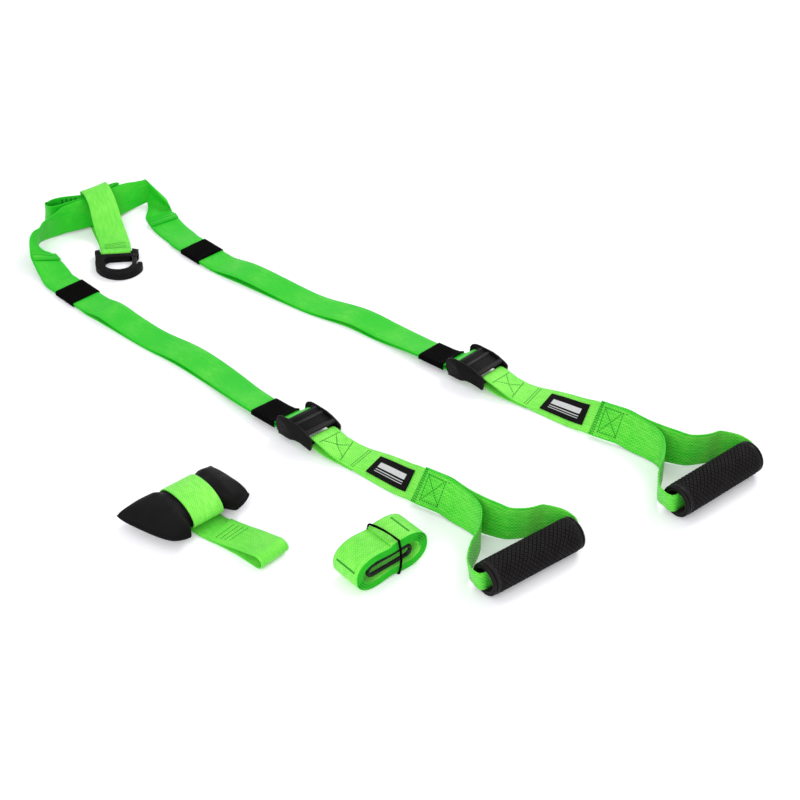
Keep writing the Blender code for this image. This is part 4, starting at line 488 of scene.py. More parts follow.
def tail_route(route, marks, side, frame):
    """The upper layer from its hem over the anchor end down to the wrap round the lock bar."""
    points, across, normals = route
    if side == "left":
        picked = list(range(marks["left_hem"], marks["left_tail"] - 1, -1))
    else:
        picked = list(range(marks["right_hem"], marks["right_tail"] + 1))
        normals = -normals
    keeper = keeper_frames()[side].translation
    distances = [(Vector(points[k]) - keeper).length for k in picked]
    nearest = int(np.argmin(distances))
    first = next(k for k in range(nearest, len(picked)) if distances[k] > 0.8 * KEEPER_LENGTH)
    out, sides, faces = [], [], []

    def add(station, back, lift):
        """A section over a station of the load strap, moved back along it and lifted off it."""
        start, after = points[picked[0]], points[picked[1]]
        inward = (after - start) / np.linalg.norm(after - start)
        k = picked[station]
        out.append(points[k] - inward * back + normals[k] * (LAYER + lift))
        sides.append(across[k])
        faces.append(normals[k])

    for station in (2, 1, 0):
        add(station, 0.0, 2 * HEM_BEND)
    for angle in (60, 30, 0, -30, -60):
        lean = math.radians(angle)
        add(0, HEM_BEND * math.cos(lean), HEM_BEND * (1 + math.sin(lean)))
    run = len(picked) - 1 - first
    for order, k in enumerate(picked):
        lift = 0.0
        if order > first:
            share = (order - first) / run
            lift = TAIL_WAVE * math.sin(2 * math.pi * share) ** 2 * (1 if share < 0.5 else 0.7)
        add(order, 0.0, lift)
    shared = len(out)
    drum = DRUM_WEB_Z - PIN_HEIGHT
    front = KEEPER_X + KEEPER_LENGTH / 2
    local = [
        (KEEPER_X - KEEPER_LENGTH / 4, KEPT_Z + LAYER),
        (KEEPER_X + KEEPER_LENGTH / 5, KEPT_Z + 1.04 * LAYER),
        (front - LAYER, KEPT_Z + 1.9 * LAYER),
        ((front - 0.7 * drum) / 2, (KEPT_Z + DRUM_WEB_Z) / 2),
    ]
    local += arc((0, PIN_HEIGHT), drum, 130, 45, 4)
    local += [
        ((drum + LOCK_X) / 2 + LAYER_SPACE, (DRUM_WEB_Z + LOCK_Z + LOCK_WRAP) / 2 - LAYER_SPACE)
    ]
    local += arc((LOCK_X, LOCK_Z), LOCK_WRAP, 90, -90, 8)
    local += [(LOCK_X - LOCK_RADIUS + GAP, BASE_WEB_Z)]
    sign = math.copysign(1.0, sides[-1] @ direction(frame, (0, 1, 0)))
    for x, z in local:
        out.append(np.array(frame @ Vector((x, 0, z))))
        sides.append(sign * direction(frame, (0, 1, 0)))
    out = np.array(out)
    _, own_sides, own_faces = section_frames(out, sides)
    folded = slice(3, 8)
    bend_faces = own_faces[folded].copy()
    own_sides[: shared - 1] = sides[: shared - 1]
    own_faces[: shared - 1] = faces[: shared - 1]
    own_faces[:3] *= -1
    own_faces[folded] = bend_faces * math.copysign(1.0, bend_faces[-1] @ faces[8])
    own_faces[shared - 1 :] *= math.copysign(1.0, own_faces[shared - 1] @ faces[shared - 1])
    return out, (own_sides, own_faces)


# Yoke: x share of the seam distance, near edge's y share of half the width, roll in right angles
YOKE_TABLE_SHARES = [
    (0.43, -1.150, -0.02), (0.53, -1.070, 0.05), (0.62, -1.040, 0.16), (0.75, -1.050, 0.29),
    (0.89, -1.040, 0.41), (0.96, -1.000, 0.48), (1.02, -0.960, 0.54), (1.10, -0.840, 0.60),
    (1.178, -0.700, 0.66),
]
YOKE_RISE = 0.0021  # the seam stands on the handle strap's lower layer


def yoke_surface():
    """Rows x, y, z and width direction of the yoke's middle, with its near edge along the floor."""
    rows = []
    for x, edge, roll in YOKE_TABLE_SHARES:
        angle = roll * math.pi / 2
        half = WEB_WIDTH / 2
        rise = YOKE_RISE * min(1.0, max(0.0, (x - 0.85) / 0.1))
        y = edge * half + half * math.cos(angle)
        z = FLOOR_GAP + half * abs(math.sin(angle)) + WEB_THICKNESS / 2 * math.cos(angle) + rise
        rows.append((x * SEAM_X, y, z, 0.0, math.cos(angle), math.sin(angle)))
    return rows


def yoke_route(arm, buckle):
    """The yoke's rows in the arm's frame: lower layer, loop round the bar, upper layer."""
    into_arm = arm.inverted() @ buckle
    side = into_arm.to_3x3() @ Vector((0, 1, 0))
    surface = yoke_surface()
    lower = [row for row in surface if row[0] < YOKE_LOWER_END + LAYER][::-1]
    wrap = YOKE_BAR_RADIUS + GAP + WEB_THICKNESS / 2
    top = YOKE_BAR_HEIGHT + wrap
    sag = 0.7 * YOKE_BAR_HEIGHT
    below = [
        (YOKE_BAR_X + 2.4 * sag, FLAT_Z), (YOKE_BAR_X + sag, (FLAT_Z + YOKE_BAR_HEIGHT - wrap) / 2)
    ]
    above = [
        (YOKE_BAR_X + sag, 0.97 * top), (YOKE_BAR_X + 2.2 * sag, 0.84 * top),
        (YOKE_BAR_X + 4.0 * sag, 0.60 * top),
    ]
    rows = list(lower)
    for x, z in below + arc((YOKE_BAR_X, YOKE_BAR_HEIGHT), wrap, -90, -270, 8) + above:
        rows.append((*(into_arm @ Vector((x, 0, z))), *side))
    for x, y, z, _, cosine, sine in surface:
        over = 1.5 if x < 0.48 * SEAM_X else 1.0 if x < YOKE_LOWER_END + LAYER else 0.0
        if x > 0.41 * SEAM_X:
            rows.append((x, y - sine * over * LAYER, z + cosine * over * LAYER, 0.0, cosine, sine))
    coarse, fine = rows[:-7], rows[-8:]
    return np.array(list(smooth_rows(coarse, 2)[:-1]) + list(smooth_rows(fine, 4)))


def layer_over(dense, lift, low, high, count, shift=0.0):
    """Rows of a layer on the yoke's face from x low to high, lifted along the face's normal."""
    last = max(k for k in range(1, len(dense)) if dense[k][0] < dense[k - 1][0])
    upper = dense[last:]
    _, sides, faces = section_frames(upper[:, :3], upper[:, 3:])
    rows = []
    for x in np.linspace(low, high, count):
        point, side, face = (
            np.array([np.interp(x, upper[:, 0], values[:, j]) for j in range(3)])
            for values in (upper, sides, faces)
        )
        rows.append((*(point + lift * face + shift * side), *side))
    return rows


# Handle strap's legs beyond the seam, in the arm's frame: x and y as shares of the seam distance,
# and the roll in right angles
FAR_LEG_SHARES = [
    (1.31, -0.018, 0.74), (1.435, -0.014, 0.80), (1.545, 0.006, 0.86), (1.612, 0.026, 0.93),
    (1.657, 0.064, 0.98), (1.698, 0.112, 1.0),
]
NEAR_LEG_SHARES = [
    (1.29, -0.034, 0.72), (1.40, -0.050, 0.82), (1.485, -0.080, 0.92), (1.53, -0.120, 0.98),
    (1.565, -0.170, 1.0), (1.595, -0.235, 1.0),
]
# Round the grip's end: shares of the grip radius out from the end face and away from the axis
END_TURN_SHARES = [
    (-0.65, 1.88), (-0.10, 1.40), (0.14, 1.06), (0.25, 0.70), (0.27, 0.36), (0.18, 0.10),
    (0.0, 0.0),
]
END_WIDTH_SHARES = [0.95, 0.80, 0.70, 0.62, 0.58, 0.56, 0.5625]
END_LEAN_SHARES = [0.04, 0.12, 0.18, 0.20, 0.18, 0.08, 0.0]  # the upper edge leans out


def grip_frame(frame):
    centre = Vector((GRIP_CENTRE[0], GRIP_CENTRE[1], GRIP_HEIGHT))
    return frame @ Matrix.Translation(centre) @ Matrix.Rotation(GRIP_YAW, 4, "Z")


def handle_rows(yoke):
    """Rows x, y, z, width direction, width, thickness, from the near layer through the grip."""
    grip = Matrix.Translation((*GRIP_CENTRE, GRIP_HEIGHT)) @ Matrix.Rotation(GRIP_YAW, 4, "Z")
    spacing = WEB_THICKNESS / 2 + SEAM_ROOM + HANDLE_THICKNESS / 2
    stand = FLOOR_GAP + HANDLE_WIDTH / 2
    size = (HANDLE_WIDTH, HANDLE_THICKNESS)
    wider = (HANDLE_WIDTH - WEB_WIDTH) / 2

    def leg(sign, table):
        seam = layer_over(yoke, sign * spacing, SEAM_X, YOKE_END - GAP, 8, wider)
        rows = [(*row, *size) for row in seam]
        for x, y, roll in table:
            angle = roll * math.pi / 2
            height = min(
                FLOOR_GAP + HANDLE_WIDTH / 2 * math.sin(angle) + HANDLE_THICKNESS / 2, stand
            )
            rows.append(
                (x * SEAM_X, y * SEAM_X, height, 0.0, math.cos(angle), math.sin(angle), *size)
            )
        return rows

    def end(sign):
        rows = []
        for (out, away), share, lean in zip(END_TURN_SHARES, END_WIDTH_SHARES, END_LEAN_SHARES):
            sag = BORE_SAG * max(0.0, 1 - away / 0.7)
            local = Vector((sign * (GRIP_LENGTH / 2 + out * GRIP_RADIUS), away * GRIP_RADIUS, -sag))
            wide = max(share * HANDLE_WIDTH, BORE_WEB_WIDTH)
            thick = HANDLE_THICKNESS if away > 0.5 else (HANDLE_THICKNESS + BORE_WEB_THICKNESS) / 2
            hint = grip.to_3x3() @ Vector((sign * lean, 0, 1))
            rows.append((*(grip @ local), *hint, wide, thick))
        return rows

    inside = []
    for share in (-0.45, -0.3, 0.0, 0.3, 0.45):
        point = grip @ Vector((share * GRIP_LENGTH, 0, -BORE_SAG))
        inside.append((*point, 0.0, 0.0, 1.0, BORE_WEB_WIDTH, BORE_WEB_THICKNESS))
    near = leg(1.0, NEAR_LEG_SHARES) + end(-1.0)
    far = leg(-1.0, FAR_LEG_SHARES) + end(1.0)
    return near + inside + far[::-1]


HOOK_AXIS_Z = HOOK_FLOOR_GAP + HOOK_THICKNESS / 2


def gate_pocket():
    """Plan of the slot that the gate lies and swings in, in the hook's frame."""
    room = GATE_WIDTH / 2 + GATE_SLOT_ROOM
    slope = math.tan(GATE_SWING)
    left, right = GATE_PIN_X - room, HOOK_LENGTH / 3
    near, far = GATE_PIN_Y - room, HOOK_LENGTH / 2 + OVERRUN
    turn = GATE_PIN_X - room * (1 / math.cos(GATE_SWING) - 1) / slope
    return [
        (left, near), (turn, near), (right, near - (right - turn) * slope), (right, far),
        (left, far)
    ]


# Hook strap's side view: shares of its reach back from the bar, and heights as shares of its top
HOOK_STRAP_UPPER_SHARES = [
    (0.050, 0.190), (0.100, 0.140), (0.180, 0.110), (0.300, 0.140), (0.420, 0.210), (0.530, 0.370),
    (0.640, 0.580), (0.730, 0.770), (0.800, 0.900), (0.860, 0.975), (0.920, 1.000), (0.970, 0.985),
    (0.998, 0.930), (1.006, 0.840), (1.008, 0.640), (1.006, 0.400), (0.995, 0.170), (0.960, 0.050),
]


def pad_height(u, v):
    """Half height of the pad at shares u along and v across it: a crown that falls to the seam."""
    return max(0.0, 1 - abs(u) ** 2.6) ** 0.55 * max(0.0, 1 - abs(v) ** 2.4) ** 0.55


def pad_half_width(u):
    """The pad's side draws in between its corners, as a share of the half width."""
    return 1 - 0.10 * (1 - u * u)


PAD_MIDDLE = 2 * FLOOR_GAP + 2 * WEB_THICKNESS + 0.38 * PAD_HEIGHT
PAD_UPPER_SHARE = 0.60


def pad_waist(x):
    """How far the webbing pulls the pad in at x: 1 under the webbing, 0 beyond."""
    return math.exp(-(((x - PAD_WRAP_X) / (0.72 * WEB_WIDTH)) ** 8))


def pad_point(u, v, skin):
    """A point of the pad's upper (1) or lower (-1) skin at shares u along and v across it."""
    x = y = 0.0
    for (i, j), (a, b) in PAD_CORNER_SHARES.items():
        weight = (1 + i * u) / 2 * (1 + j * v) / 2
        x += weight * a * PAD_LENGTH / 2 * (1 - 0.06 * (1 - v * v))
        y += weight * b * PAD_WIDTH / 2 * pad_half_width(u)
    waist = pad_waist(x)
    y *= 1 - 0.6 * PAD_WAIST / PAD_WIDTH * waist
    if abs(u) == 1 or abs(v) == 1:
        return x, y, PAD_MIDDLE + skin * PAD_SEAM / 2
    share = PAD_UPPER_SHARE if skin > 0 else 1 - PAD_UPPER_SHARE
    z = PAD_MIDDLE + skin * (
        PAD_SEAM / 2 + share * PAD_HEIGHT * pad_height(u, v) * (1 - 0.1 * waist)
    )
    return x, y, max(z, 2 * FLOOR_GAP + (2 * WEB_THICKNESS + 6 * GAP) * waist)


def wrap_ring():
    """The ring's section (y, z): a taut outline round the pad's part under the webbing."""
    reach = WEB_WIDTH / 2 + 2 * WEB_THICKNESS
    under = []
    shares = np.linspace(-1, 1, 4 * PAD_STEPS[0] + 1)
    for skin in (1, -1):
        for u in shares:
            for v in shares:
                x, y, z = pad_point(u, v, skin)
                if abs(x - PAD_WRAP_X) < reach:
                    under.append((y, z))
    under = np.array(under)
    room = WEB_THICKNESS / 2 + 1.5 * GAP
    angles = [math.tau * k / (4 * RING_SECTIONS) for k in range(4 * RING_SECTIONS)]
    lines = [(math.cos(a), math.sin(a)) for a in angles]
    heights = [float((under @ np.array(line)).max()) + room for line in lines]
    outline = []
    for k in range(len(lines)):
        (a, b), (c, d) = lines[k - 1], lines[k]
        p, q = heights[k - 1], heights[k]
        outline.append(((p * d - q * b) / (a * d - b * c), (a * q - c * p) / (a * d - b * c)))
    closed = np.array(outline + outline[:1])
    run = np.concatenate([[0.0], np.cumsum(np.linalg.norm(np.diff(closed, axis=0), axis=1))])
    picks = np.linspace(0, run[-1], RING_SECTIONS + 1)[:-1]
    return [(np.interp(at, run, closed[:, 0]), np.interp(at, run, closed[:, 1])) for at in picks]


def roll_point(turn):
    """Side view (x, z) of the roll at a turn count, from its centre."""
    angle = math.tau * turn
    grow = ROLL_PITCH * turn
    c, s = math.cos(angle), math.sin(angle)
    x = (ROLL_INNER_HALF_LENGTH + grow) * math.copysign(abs(c) ** ROLL_SQUARE, c)
    pinch = (ROLL_PINCH if s > 0 else ROLL_ARCH) * math.exp(-((x / ROLL_PINCH_WIDTH) ** 2))
    z = (ROLL_INNER_HALF_HEIGHT + grow - pinch) * math.copysign(abs(s) ** ROLL_SQUARE, s)
    return x, z


def roll_side():
    """All points of the roll's side view, from its centre."""
    return [roll_point(k / LOOP_POINTS) for k in range(round(ROLL_LOOPS * LOOP_POINTS) + 1)]


def roll_centre_height():
    return FLOOR_GAP + WEB_THICKNESS / 2 - min(z for _, z in roll_side()) - ROLL_FLAT


class Wire:
    """A node's output in an expression: each operator adds one Math node."""

    def __init__(self, graph, socket):
        self.graph = graph
        self.socket = socket

    def __add__(self, other):
        return self.graph.maths("ADD", self, other)

    def __sub__(self, other):
        return self.graph.maths("SUBTRACT", self, other)

    def __rsub__(self, other):
        return self.graph.maths("SUBTRACT", other, self)

    def __mul__(self, other):
        return self.graph.maths("MULTIPLY", self, other)

    def __gt__(self, other):
        return self.graph.maths("GREATER_THAN", self, other)

    __radd__ = __add__
    __rmul__ = __mul__


class Graph:
    """A node tree being built, of a material or of geometry."""

    def __init__(self, tree):
        self.tree = tree

    def node(self, kind, settings=None, inputs=None, out=0):
        """Adds a node with its settings, then its sockets' values or links. Returns its output."""
        made = self.tree.nodes.new(kind)
        for key, value in (settings or {}).items():
            setattr(made, key, value)
        for key, value in (inputs or {}).items():
            self.feed(made.inputs[key], value)
        if isinstance(out, tuple):
            return [Wire(self, made.outputs[name]) for name in out]
        return Wire(self, made.outputs[out])

    def feed(self, socket, value):
        if isinstance(value, Wire):
            self.tree.links.new(value.socket, socket)
        else:
            socket.default_value = value

    def maths(self, operation, *values):
        return self.node("ShaderNodeMath", {"operation": operation}, dict(enumerate(values)))

    def sine(self, value):
        return self.maths("SINE", value)

    def ripple(self, value, spacing):
        """Rises from 0 to 1 and back once in each spacing."""
        return self.sine(value * (math.tau / spacing)) * 0.5 + 0.5

    def lowest(self, a, b):
        return self.maths("MINIMUM", a, b)

    def highest(self, a, b):
        return self.maths("MAXIMUM", a, b)

    def size_of(self, value):
        return self.maths("ABSOLUTE", value)

    def ease(self, value, low, high):
        """0 below low, 1 above high, and smooth between."""
        settings = {"interpolation_type": "SMOOTHSTEP"}
        return self.node("ShaderNodeMapRange", settings, {0: value, 1: low, 2: high})

    def blend(self, share, first, second):
        """A colour between two, by share."""
        made = self.tree.nodes.new("ShaderNodeMix")
        made.data_type = "RGBA"
        self.feed(made.inputs[0], share)
        for socket, colour in ((made.inputs[6], first), (made.inputs[7], second)):
            self.feed(socket, colour if isinstance(colour, Wire) else (*colour, 1))
        return Wire(self, made.outputs[2])

    def noise(self, vector, scale, detail=2.0, out="Fac"):
        inputs = {"Vector": vector, "Scale": scale, "Detail": detail}
        return self.node("ShaderNodeTexNoise", None, inputs, out)


class Finish(Graph):
    """A material being built round one Principled shader."""

    def __init__(self, name, **plain):
        self.material = bpy.data.materials.new(name)
        self.material.use_nodes = True
        super().__init__(self.material.node_tree)
        self.shader = self.tree.nodes["Principled BSDF"]
        self.set(**plain)

    def set(self, **values):
        for key, value in values.items():
            socket = self.shader.inputs[key.replace("_", " ")]
            wide = isinstance(value, tuple) and len(value) == 3 and socket.type == "RGBA"
            self.feed(socket, (*value, 1) if wide else value)
        return self

    def across_and_along(self):
        """The strap's own map: metres across from the middle, and metres along."""
        place = self.node("ShaderNodeUVMap", {"uv_map": "Strap"})
        across, along, _ = self.node("ShaderNodeSeparateXYZ", None, {0: place}, ("X", "Y", "Z"))
        return place, across, along

    def object_place(self):
        return self.node("ShaderNodeTexCoord", None, None, "Object")

    def edges(self, low, high):
        """1 on edges that stand out, 0 elsewhere."""
        pointed = self.node("ShaderNodeNewGeometry", None, None, "Pointiness")
        return self.ease(pointed, low, high)

    def bump(self, height, distance, strength=1.0):
        inputs = {"Height": height, "Distance": distance, "Strength": strength}
        self.set(Normal=self.node("ShaderNodeBump", None, inputs))
        return self


def shaded(colour, share):
    """The colour times share, kept within 0 to 1."""
    return tuple(min(1.0, part * share) for part in colour)


# Seams: how far apart the stitches are, and how far the rows reach from the webbing's middle
STITCH_PITCH = 0.0026
TACK_PITCH = 0.0019
SEAM_HALF = 0.0150
HEM_ROWS = (0.0022, 0.0076)  # from the tail's folded end
HEM_SEAM_HALF = 0.0165


class Strap:
    """A flat strap: its middle line, width directions and faces, finely spaced, and the run."""

    def __init__(
        self, points, hints, width, thickness, closed=False, sections=None, fineness=2,
        oblique=False
    ):
        across, normals = sections if sections else section_frames(points, hints, closed)[1:]
        count = len(points)
        sizes = [np.broadcast_to(size, (count,))[:, None] for size in (width, thickness)]
        rows = np.hstack([np.array(points), np.array(across), np.array(normals), *sizes])
        if closed:
            wrapped = smooth_rows(np.vstack([rows[-3:], rows, rows[:4]]), fineness)
            rows = wrapped[3 * fineness : (3 + count) * fineness + 1]
        else:
            rows = smooth_rows(rows, fineness)
        self.closed = closed
        self.points = rows[:, :3].copy()
        tangents = np.gradient(self.points, axis=0)
        if closed:
            tangents[0] = tangents[-1] = self.points[1] - self.points[-2]
        self.tangents = tangents / np.linalg.norm(tangents, axis=1)[:, None]
        across = rows[:, 3:6]
        if not oblique:
            across = across - (across * self.tangents).sum(axis=1)[:, None] * self.tangents
        self.across = across / np.linalg.norm(across, axis=1)[:, None]
        faces = np.cross(self.tangents, self.across)
        faces /= np.linalg.norm(faces, axis=1)[:, None]
        self.faces = faces * np.sign((faces * rows[:, 6:9]).sum(axis=1))[:, None]
        self.widths, self.depths = np.minimum(rows[:, 9], np.max(width)), rows[:, 10]
        side_reach = np.abs(self.across[:, 2]) * self.widths / 2
        reach = side_reach + np.abs(self.faces[:, 2]) * self.depths / 2
        self.points[:, 2] += np.maximum(0.0, LEAST_GAP - (self.points[:, 2] - reach))
        steps = np.linalg.norm(np.diff(self.points, axis=0), axis=1)
        self.run = np.concatenate([[0.0], np.cumsum(steps)])
        self.length = float(self.run[-1])

    def at(self, run, offset=0.0, face=1.0):
        """A point on a face of the strap, with the directions along, across and out."""
        def pick(table):
            return np.array([np.interp(run, self.run, table[:, j]) for j in range(3)])

        along, across, out = pick(self.tangents), pick(self.across), pick(self.faces) * face
        depth = np.interp(run, self.run, self.depths)
        point = pick(self.points) + offset * across + out * (depth / 2)
        return point, along, across, out

    def nearest_run(self, point, after=0.0):
        """The run where the middle line passes nearest to a point."""
        gaps = np.linalg.norm(self.points - np.array(point), axis=1)
        gaps[self.run < after] = 1e9
        return float(self.run[int(np.argmin(gaps))])

    def seam(self, start, end, face=1.0, pitch=STITCH_PITCH):
        """Stitch marks (point, along, out) on a face, from (run, offset) to (run, offset)."""
        start, end = np.array(start), np.array(end)
        places = []
        length = float(np.linalg.norm(end - start))
        count = max(2, round(length / pitch) + 1)
        for share in np.linspace(0, 1, count):
            run, offset = start + (end - start) * share
            places.append(self.at(run, offset, face))
        marks = []
        for k, (point, _, _, out) in enumerate(places):
            before, after = places[max(0, k - 1)][0], places[min(count - 1, k + 1)][0]
            along = after - before
            marks.append((point, along / np.linalg.norm(along), out))
        return marks

    def rows(self, runs, half, face=None, pitch=STITCH_PITCH):
        """Stitch marks of rows straight across, on the face given or else the one that looks up."""
        marks = []
        for run in runs:
            marks += self.seam((run, -half), (run, half), face or upward(self, run), pitch)
        return marks

    def box_seam(self, low, high, half, face=1.0, crossed=True, pitch=STITCH_PITCH):
        """Stitch marks of a box, with its two diagonals if crossed."""
        corners = [(low, -half), (high, -half), (high, half), (low, half)]
        marks = []
        for k in range(4):
            marks += self.seam(corners[k - 1], corners[k], face, pitch)
        if crossed:
            marks += self.seam(corners[0], corners[2], face, pitch)
            marks += self.seam(corners[1], corners[3], face, pitch)
        return marks


# A strap's section from its edge to its upper face: shares of the half width and half depth
EDGE_SHARES = [(-1.0, 0.0), (-0.988, 0.62), (-0.955, 0.94), (-0.6, 1.0), (-0.2, 1.0)]


def link(name, data):
    """A new object in the scene that holds a mesh, a lamp or the camera."""
    made = bpy.data.objects.new(name, data)
    bpy.context.scene.collection.objects.link(made)
    return made


def link_mesh(name, mesh, material):
    made = link(name, mesh)
    mesh.materials.clear()
    mesh.materials.append(material)
    return made


def finish_bmesh(name, bm, material, smooth=40.0):
    """Turns a bmesh into a piece with outward faces, smooth up to the angle given in degrees."""
    bmesh.ops.recalc_face_normals(bm, faces=bm.faces)
    mesh = bpy.data.meshes.new(name)
    bm.to_mesh(mesh)
    bm.free()
    mesh.shade_smooth()
    mesh.set_sharp_from_angle(angle=math.radians(smooth))
    return link_mesh(name, mesh, material)


def skin_rings(bm, rings, first=0, start=0):
    """Faces between each ring of vertices and the one before, from a first ring and vertex on."""
    for k in range(first, len(rings)):
        for j in range(start, len(rings[k])):
            bm.faces.new((rings[k - 1][j - 1], rings[k - 1][j], rings[k][j], rings[k][j - 1]))


def strap_piece(name, strap, material, section=EDGE_SHARES):
    """The strap as a mesh with rounded edges and the map of its weave."""
    top = section + [(-a, b) for a, b in section[::-1]]
    ring = top + [(a, -b) for a, b in top[-2:0:-1]]
    bm = bmesh.new()
    uv = bm.loops.layers.uv.new("Strap")
    count = len(strap.run) - (1 if strap.closed else 0)
    rings = []
    for k in range(count):
        side, out = strap.across[k] * strap.widths[k] / 2, strap.faces[k] * strap.depths[k] / 2
        rings.append([bm.verts.new(strap.points[k] + side * a + out * b) for a, b in ring])
    spans = [(k, (k + 1) % count) for k in range(count if strap.closed else count - 1)]
    for first, second in spans:
        for j in range(len(ring)):
            corners = (rings[first][j - 1], rings[first][j], rings[second][j], rings[second][j - 1])
            face = bm.faces.new(corners)
            ends = (first, first, second if second else count, second if second else count)
            for loop, end, share in zip(face.loops, ends, (j - 1, j, j, j - 1)):
                width = strap.widths[min(end, count - 1)]
                loop[uv].uv = (ring[share][0] * width / 2, strap.run[min(end, len(strap.run) - 1)])
    if not strap.closed:
        for rim in (rings[0], rings[-1][::-1]):
            cap = bm.faces.new(rim)
            for loop in cap.loops:
                loop[uv].uv = (0.0, 0.0)
    return finish_bmesh(name, bm, material, 70.0)


def bake(made, name, material):
    """The evaluated object as a plain mesh of its own, with the first one removed."""
    graph = bpy.context.evaluated_depsgraph_get()
    mesh = bpy.data.meshes.new_from_object(made.evaluated_get(graph))
    bpy.data.objects.remove(made, do_unlink=True)
    mesh.name = name
    return link_mesh(name, mesh, material)


def geometry_tree(name, sizes, counts=()):
    """A geometry tree with named inputs: its graph, and the inputs' wires and identifiers."""
    tree = bpy.data.node_groups.new(name, "GeometryNodeTree")
    tree.interface.new_socket("Geometry", in_out="INPUT", socket_type="NodeSocketGeometry")
    wanted = [(label, "NodeSocketFloat") for label in sizes]
    wanted += [(label, "NodeSocketInt") for label in counts] + [("Finish", "NodeSocketMaterial")]
    identifiers = {}
    for label, kind in wanted:
        socket = tree.interface.new_socket(label, in_out="INPUT", socket_type=kind)
        identifiers[label] = socket.identifier
    tree.interface.new_socket("Geometry", in_out="OUTPUT", socket_type="NodeSocketGeometry")
    graph = Graph(tree)
    entry = tree.nodes.new("NodeGroupInput")
    wires = {socket.name: Wire(graph, socket) for socket in entry.outputs if socket.name}
    return graph, wires, identifiers


def close_tree(graph, geometry, finish):
    """Realizes the instances, sets the material and joins the tree's output."""
    real = graph.node("GeometryNodeRealizeInstances", None, {"Geometry": geometry})
    dressed = graph.node("GeometryNodeSetMaterial", None, {"Geometry": real, "Material": finish})
    graph.feed(graph.tree.nodes.new("NodeGroupOutput").inputs[0], dressed)


def run_tree(made, tree, identifiers, values):
    """Puts the tree on the object as a modifier with its inputs set."""
    modifier = made.modifiers.new(tree.name, "NODES")
    modifier.node_group = tree
    for label, value in values.items():
        modifier[identifiers[label]] = value
    return made


def stitch_tree():
    """One thread stitch on each point, laid along the point's own direction."""
    graph, wires, identifiers = geometry_tree("Stitches", ("Length", "Width", "Height"))
    bead = graph.node("GeometryNodeMeshUVSphere", None, {"Segments": 6, "Rings": 4, "Radius": 0.5})
    sizes = {"X": wires["Length"], "Y": wires["Width"], "Z": wires["Height"]}
    scale = graph.node("ShaderNodeCombineXYZ", None, sizes)
    shaped = graph.node("GeometryNodeTransform", None, {"Geometry": bead, "Scale": scale})

    def direction_of(name):
        settings = {"data_type": "FLOAT_VECTOR"}
        return graph.node("GeometryNodeInputNamedAttribute", settings, {"Name": name})

    first = graph.node(
        "FunctionNodeAlignRotationToVector", {"axis": "X"}, {"Vector": direction_of("along")}
    )
    second = graph.node(
        "FunctionNodeAlignRotationToVector", {"axis": "Z", "pivot_axis": "X"},
        {"Rotation": first, "Vector": direction_of("out")},
    )
    placed = graph.node(
        "GeometryNodeInstanceOnPoints", None,
        {"Points": wires["Geometry"], "Instance": shaped, "Rotation": second},
    )
    close_tree(graph, placed, wires["Finish"])
    return graph.tree, identifiers


def sew(name, marks, finish, body, length, width, height=0.00045):
    """Thread stitches on all the marks, as one piece."""
    mesh = bpy.data.meshes.new(name)
    mesh.from_pydata([tuple(point) for point, _, _ in marks], [], [])
    for label, column in (("along", 1), ("out", 2)):
        values = np.array([mark[column] for mark in marks], np.float32).ravel()
        mesh.attributes.new(label, "FLOAT_VECTOR", "POINT").data.foreach_set("vector", values)
    made = link(name + "_marks", mesh)
    tree, identifiers = made_trees("Stitches", stitch_tree)
    values = {"Length": length, "Width": width, "Height": height, "Finish": finish}
    run_tree(made, tree, identifiers, values)
    piece = bake(made, name, finish)
    piece.data.shade_smooth()
    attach(piece, body)
    return piece


TREES = {}


def made_trees(name, maker):
    """A geometry tree by name, made once."""
    if name not in TREES:
        TREES[name] = maker()
    return TREES[name]


def dress(piece, body, slot, *nodes):
    """The piece rides on a body and stands for CAD nodes; the slot is not used."""
    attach(piece, body)
    if nodes:
        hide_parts(*nodes)
    return piece


def prism_piece(
    name, outline, low, high, material, axis="Y", round_by=0.0, segments=3, smooth=40.0
):
    """An outline of (x, z) along y, or (x, y) along z, with rounded rims."""
    bm = bmesh.new()
    at = (lambda a, b: (a, low, b)) if axis == "Y" else (lambda a, b: (a, b, low))
    face = bm.faces.new([bm.verts.new(at(a, b)) for a, b in outline])
    grown = bmesh.ops.extrude_face_region(bm, geom=[face])
    moved = [item for item in grown["geom"] if isinstance(item, bmesh.types.BMVert)]
    step = Vector((0, high - low, 0)) if axis == "Y" else Vector((0, 0, high - low))
    bmesh.ops.translate(bm, verts=moved, vec=step)
    bmesh.ops.recalc_face_normals(bm, faces=bm.faces)
    if round_by:
        column = 1 if axis == "Y" else 2
        rims = [
            edge for edge in bm.edges
            if abs(edge.verts[0].co[column] - edge.verts[1].co[column]) < 1e-7
        ]
        bmesh.ops.bevel(
            bm, geom=rims, offset=round_by, segments=segments, profile=0.5, affect="EDGES"
        )
    return finish_bmesh(name, bm, material, smooth)


def turned_piece(name, profile, sides, material, where, closed=True, smooth=40.0):
    """A closed (along, radius) profile turned about the X axis, moved to a place."""
    bm = bmesh.new()
    rings = []
    for k in range(sides):
        angle = math.tau * k / sides
        c, s = math.cos(angle), math.sin(angle)
        rings.append([bm.verts.new((along, radius * c, radius * s)) for along, radius in profile])
    skin_rings(bm, rings, start=0 if closed else 1)
    if not closed:
        bm.faces.new([ring[0] for ring in rings])
        bm.faces.new([ring[-1] for ring in rings])
    bmesh.ops.transform(bm, matrix=where, verts=bm.verts)
    return finish_bmesh(name, bm, material, smooth)


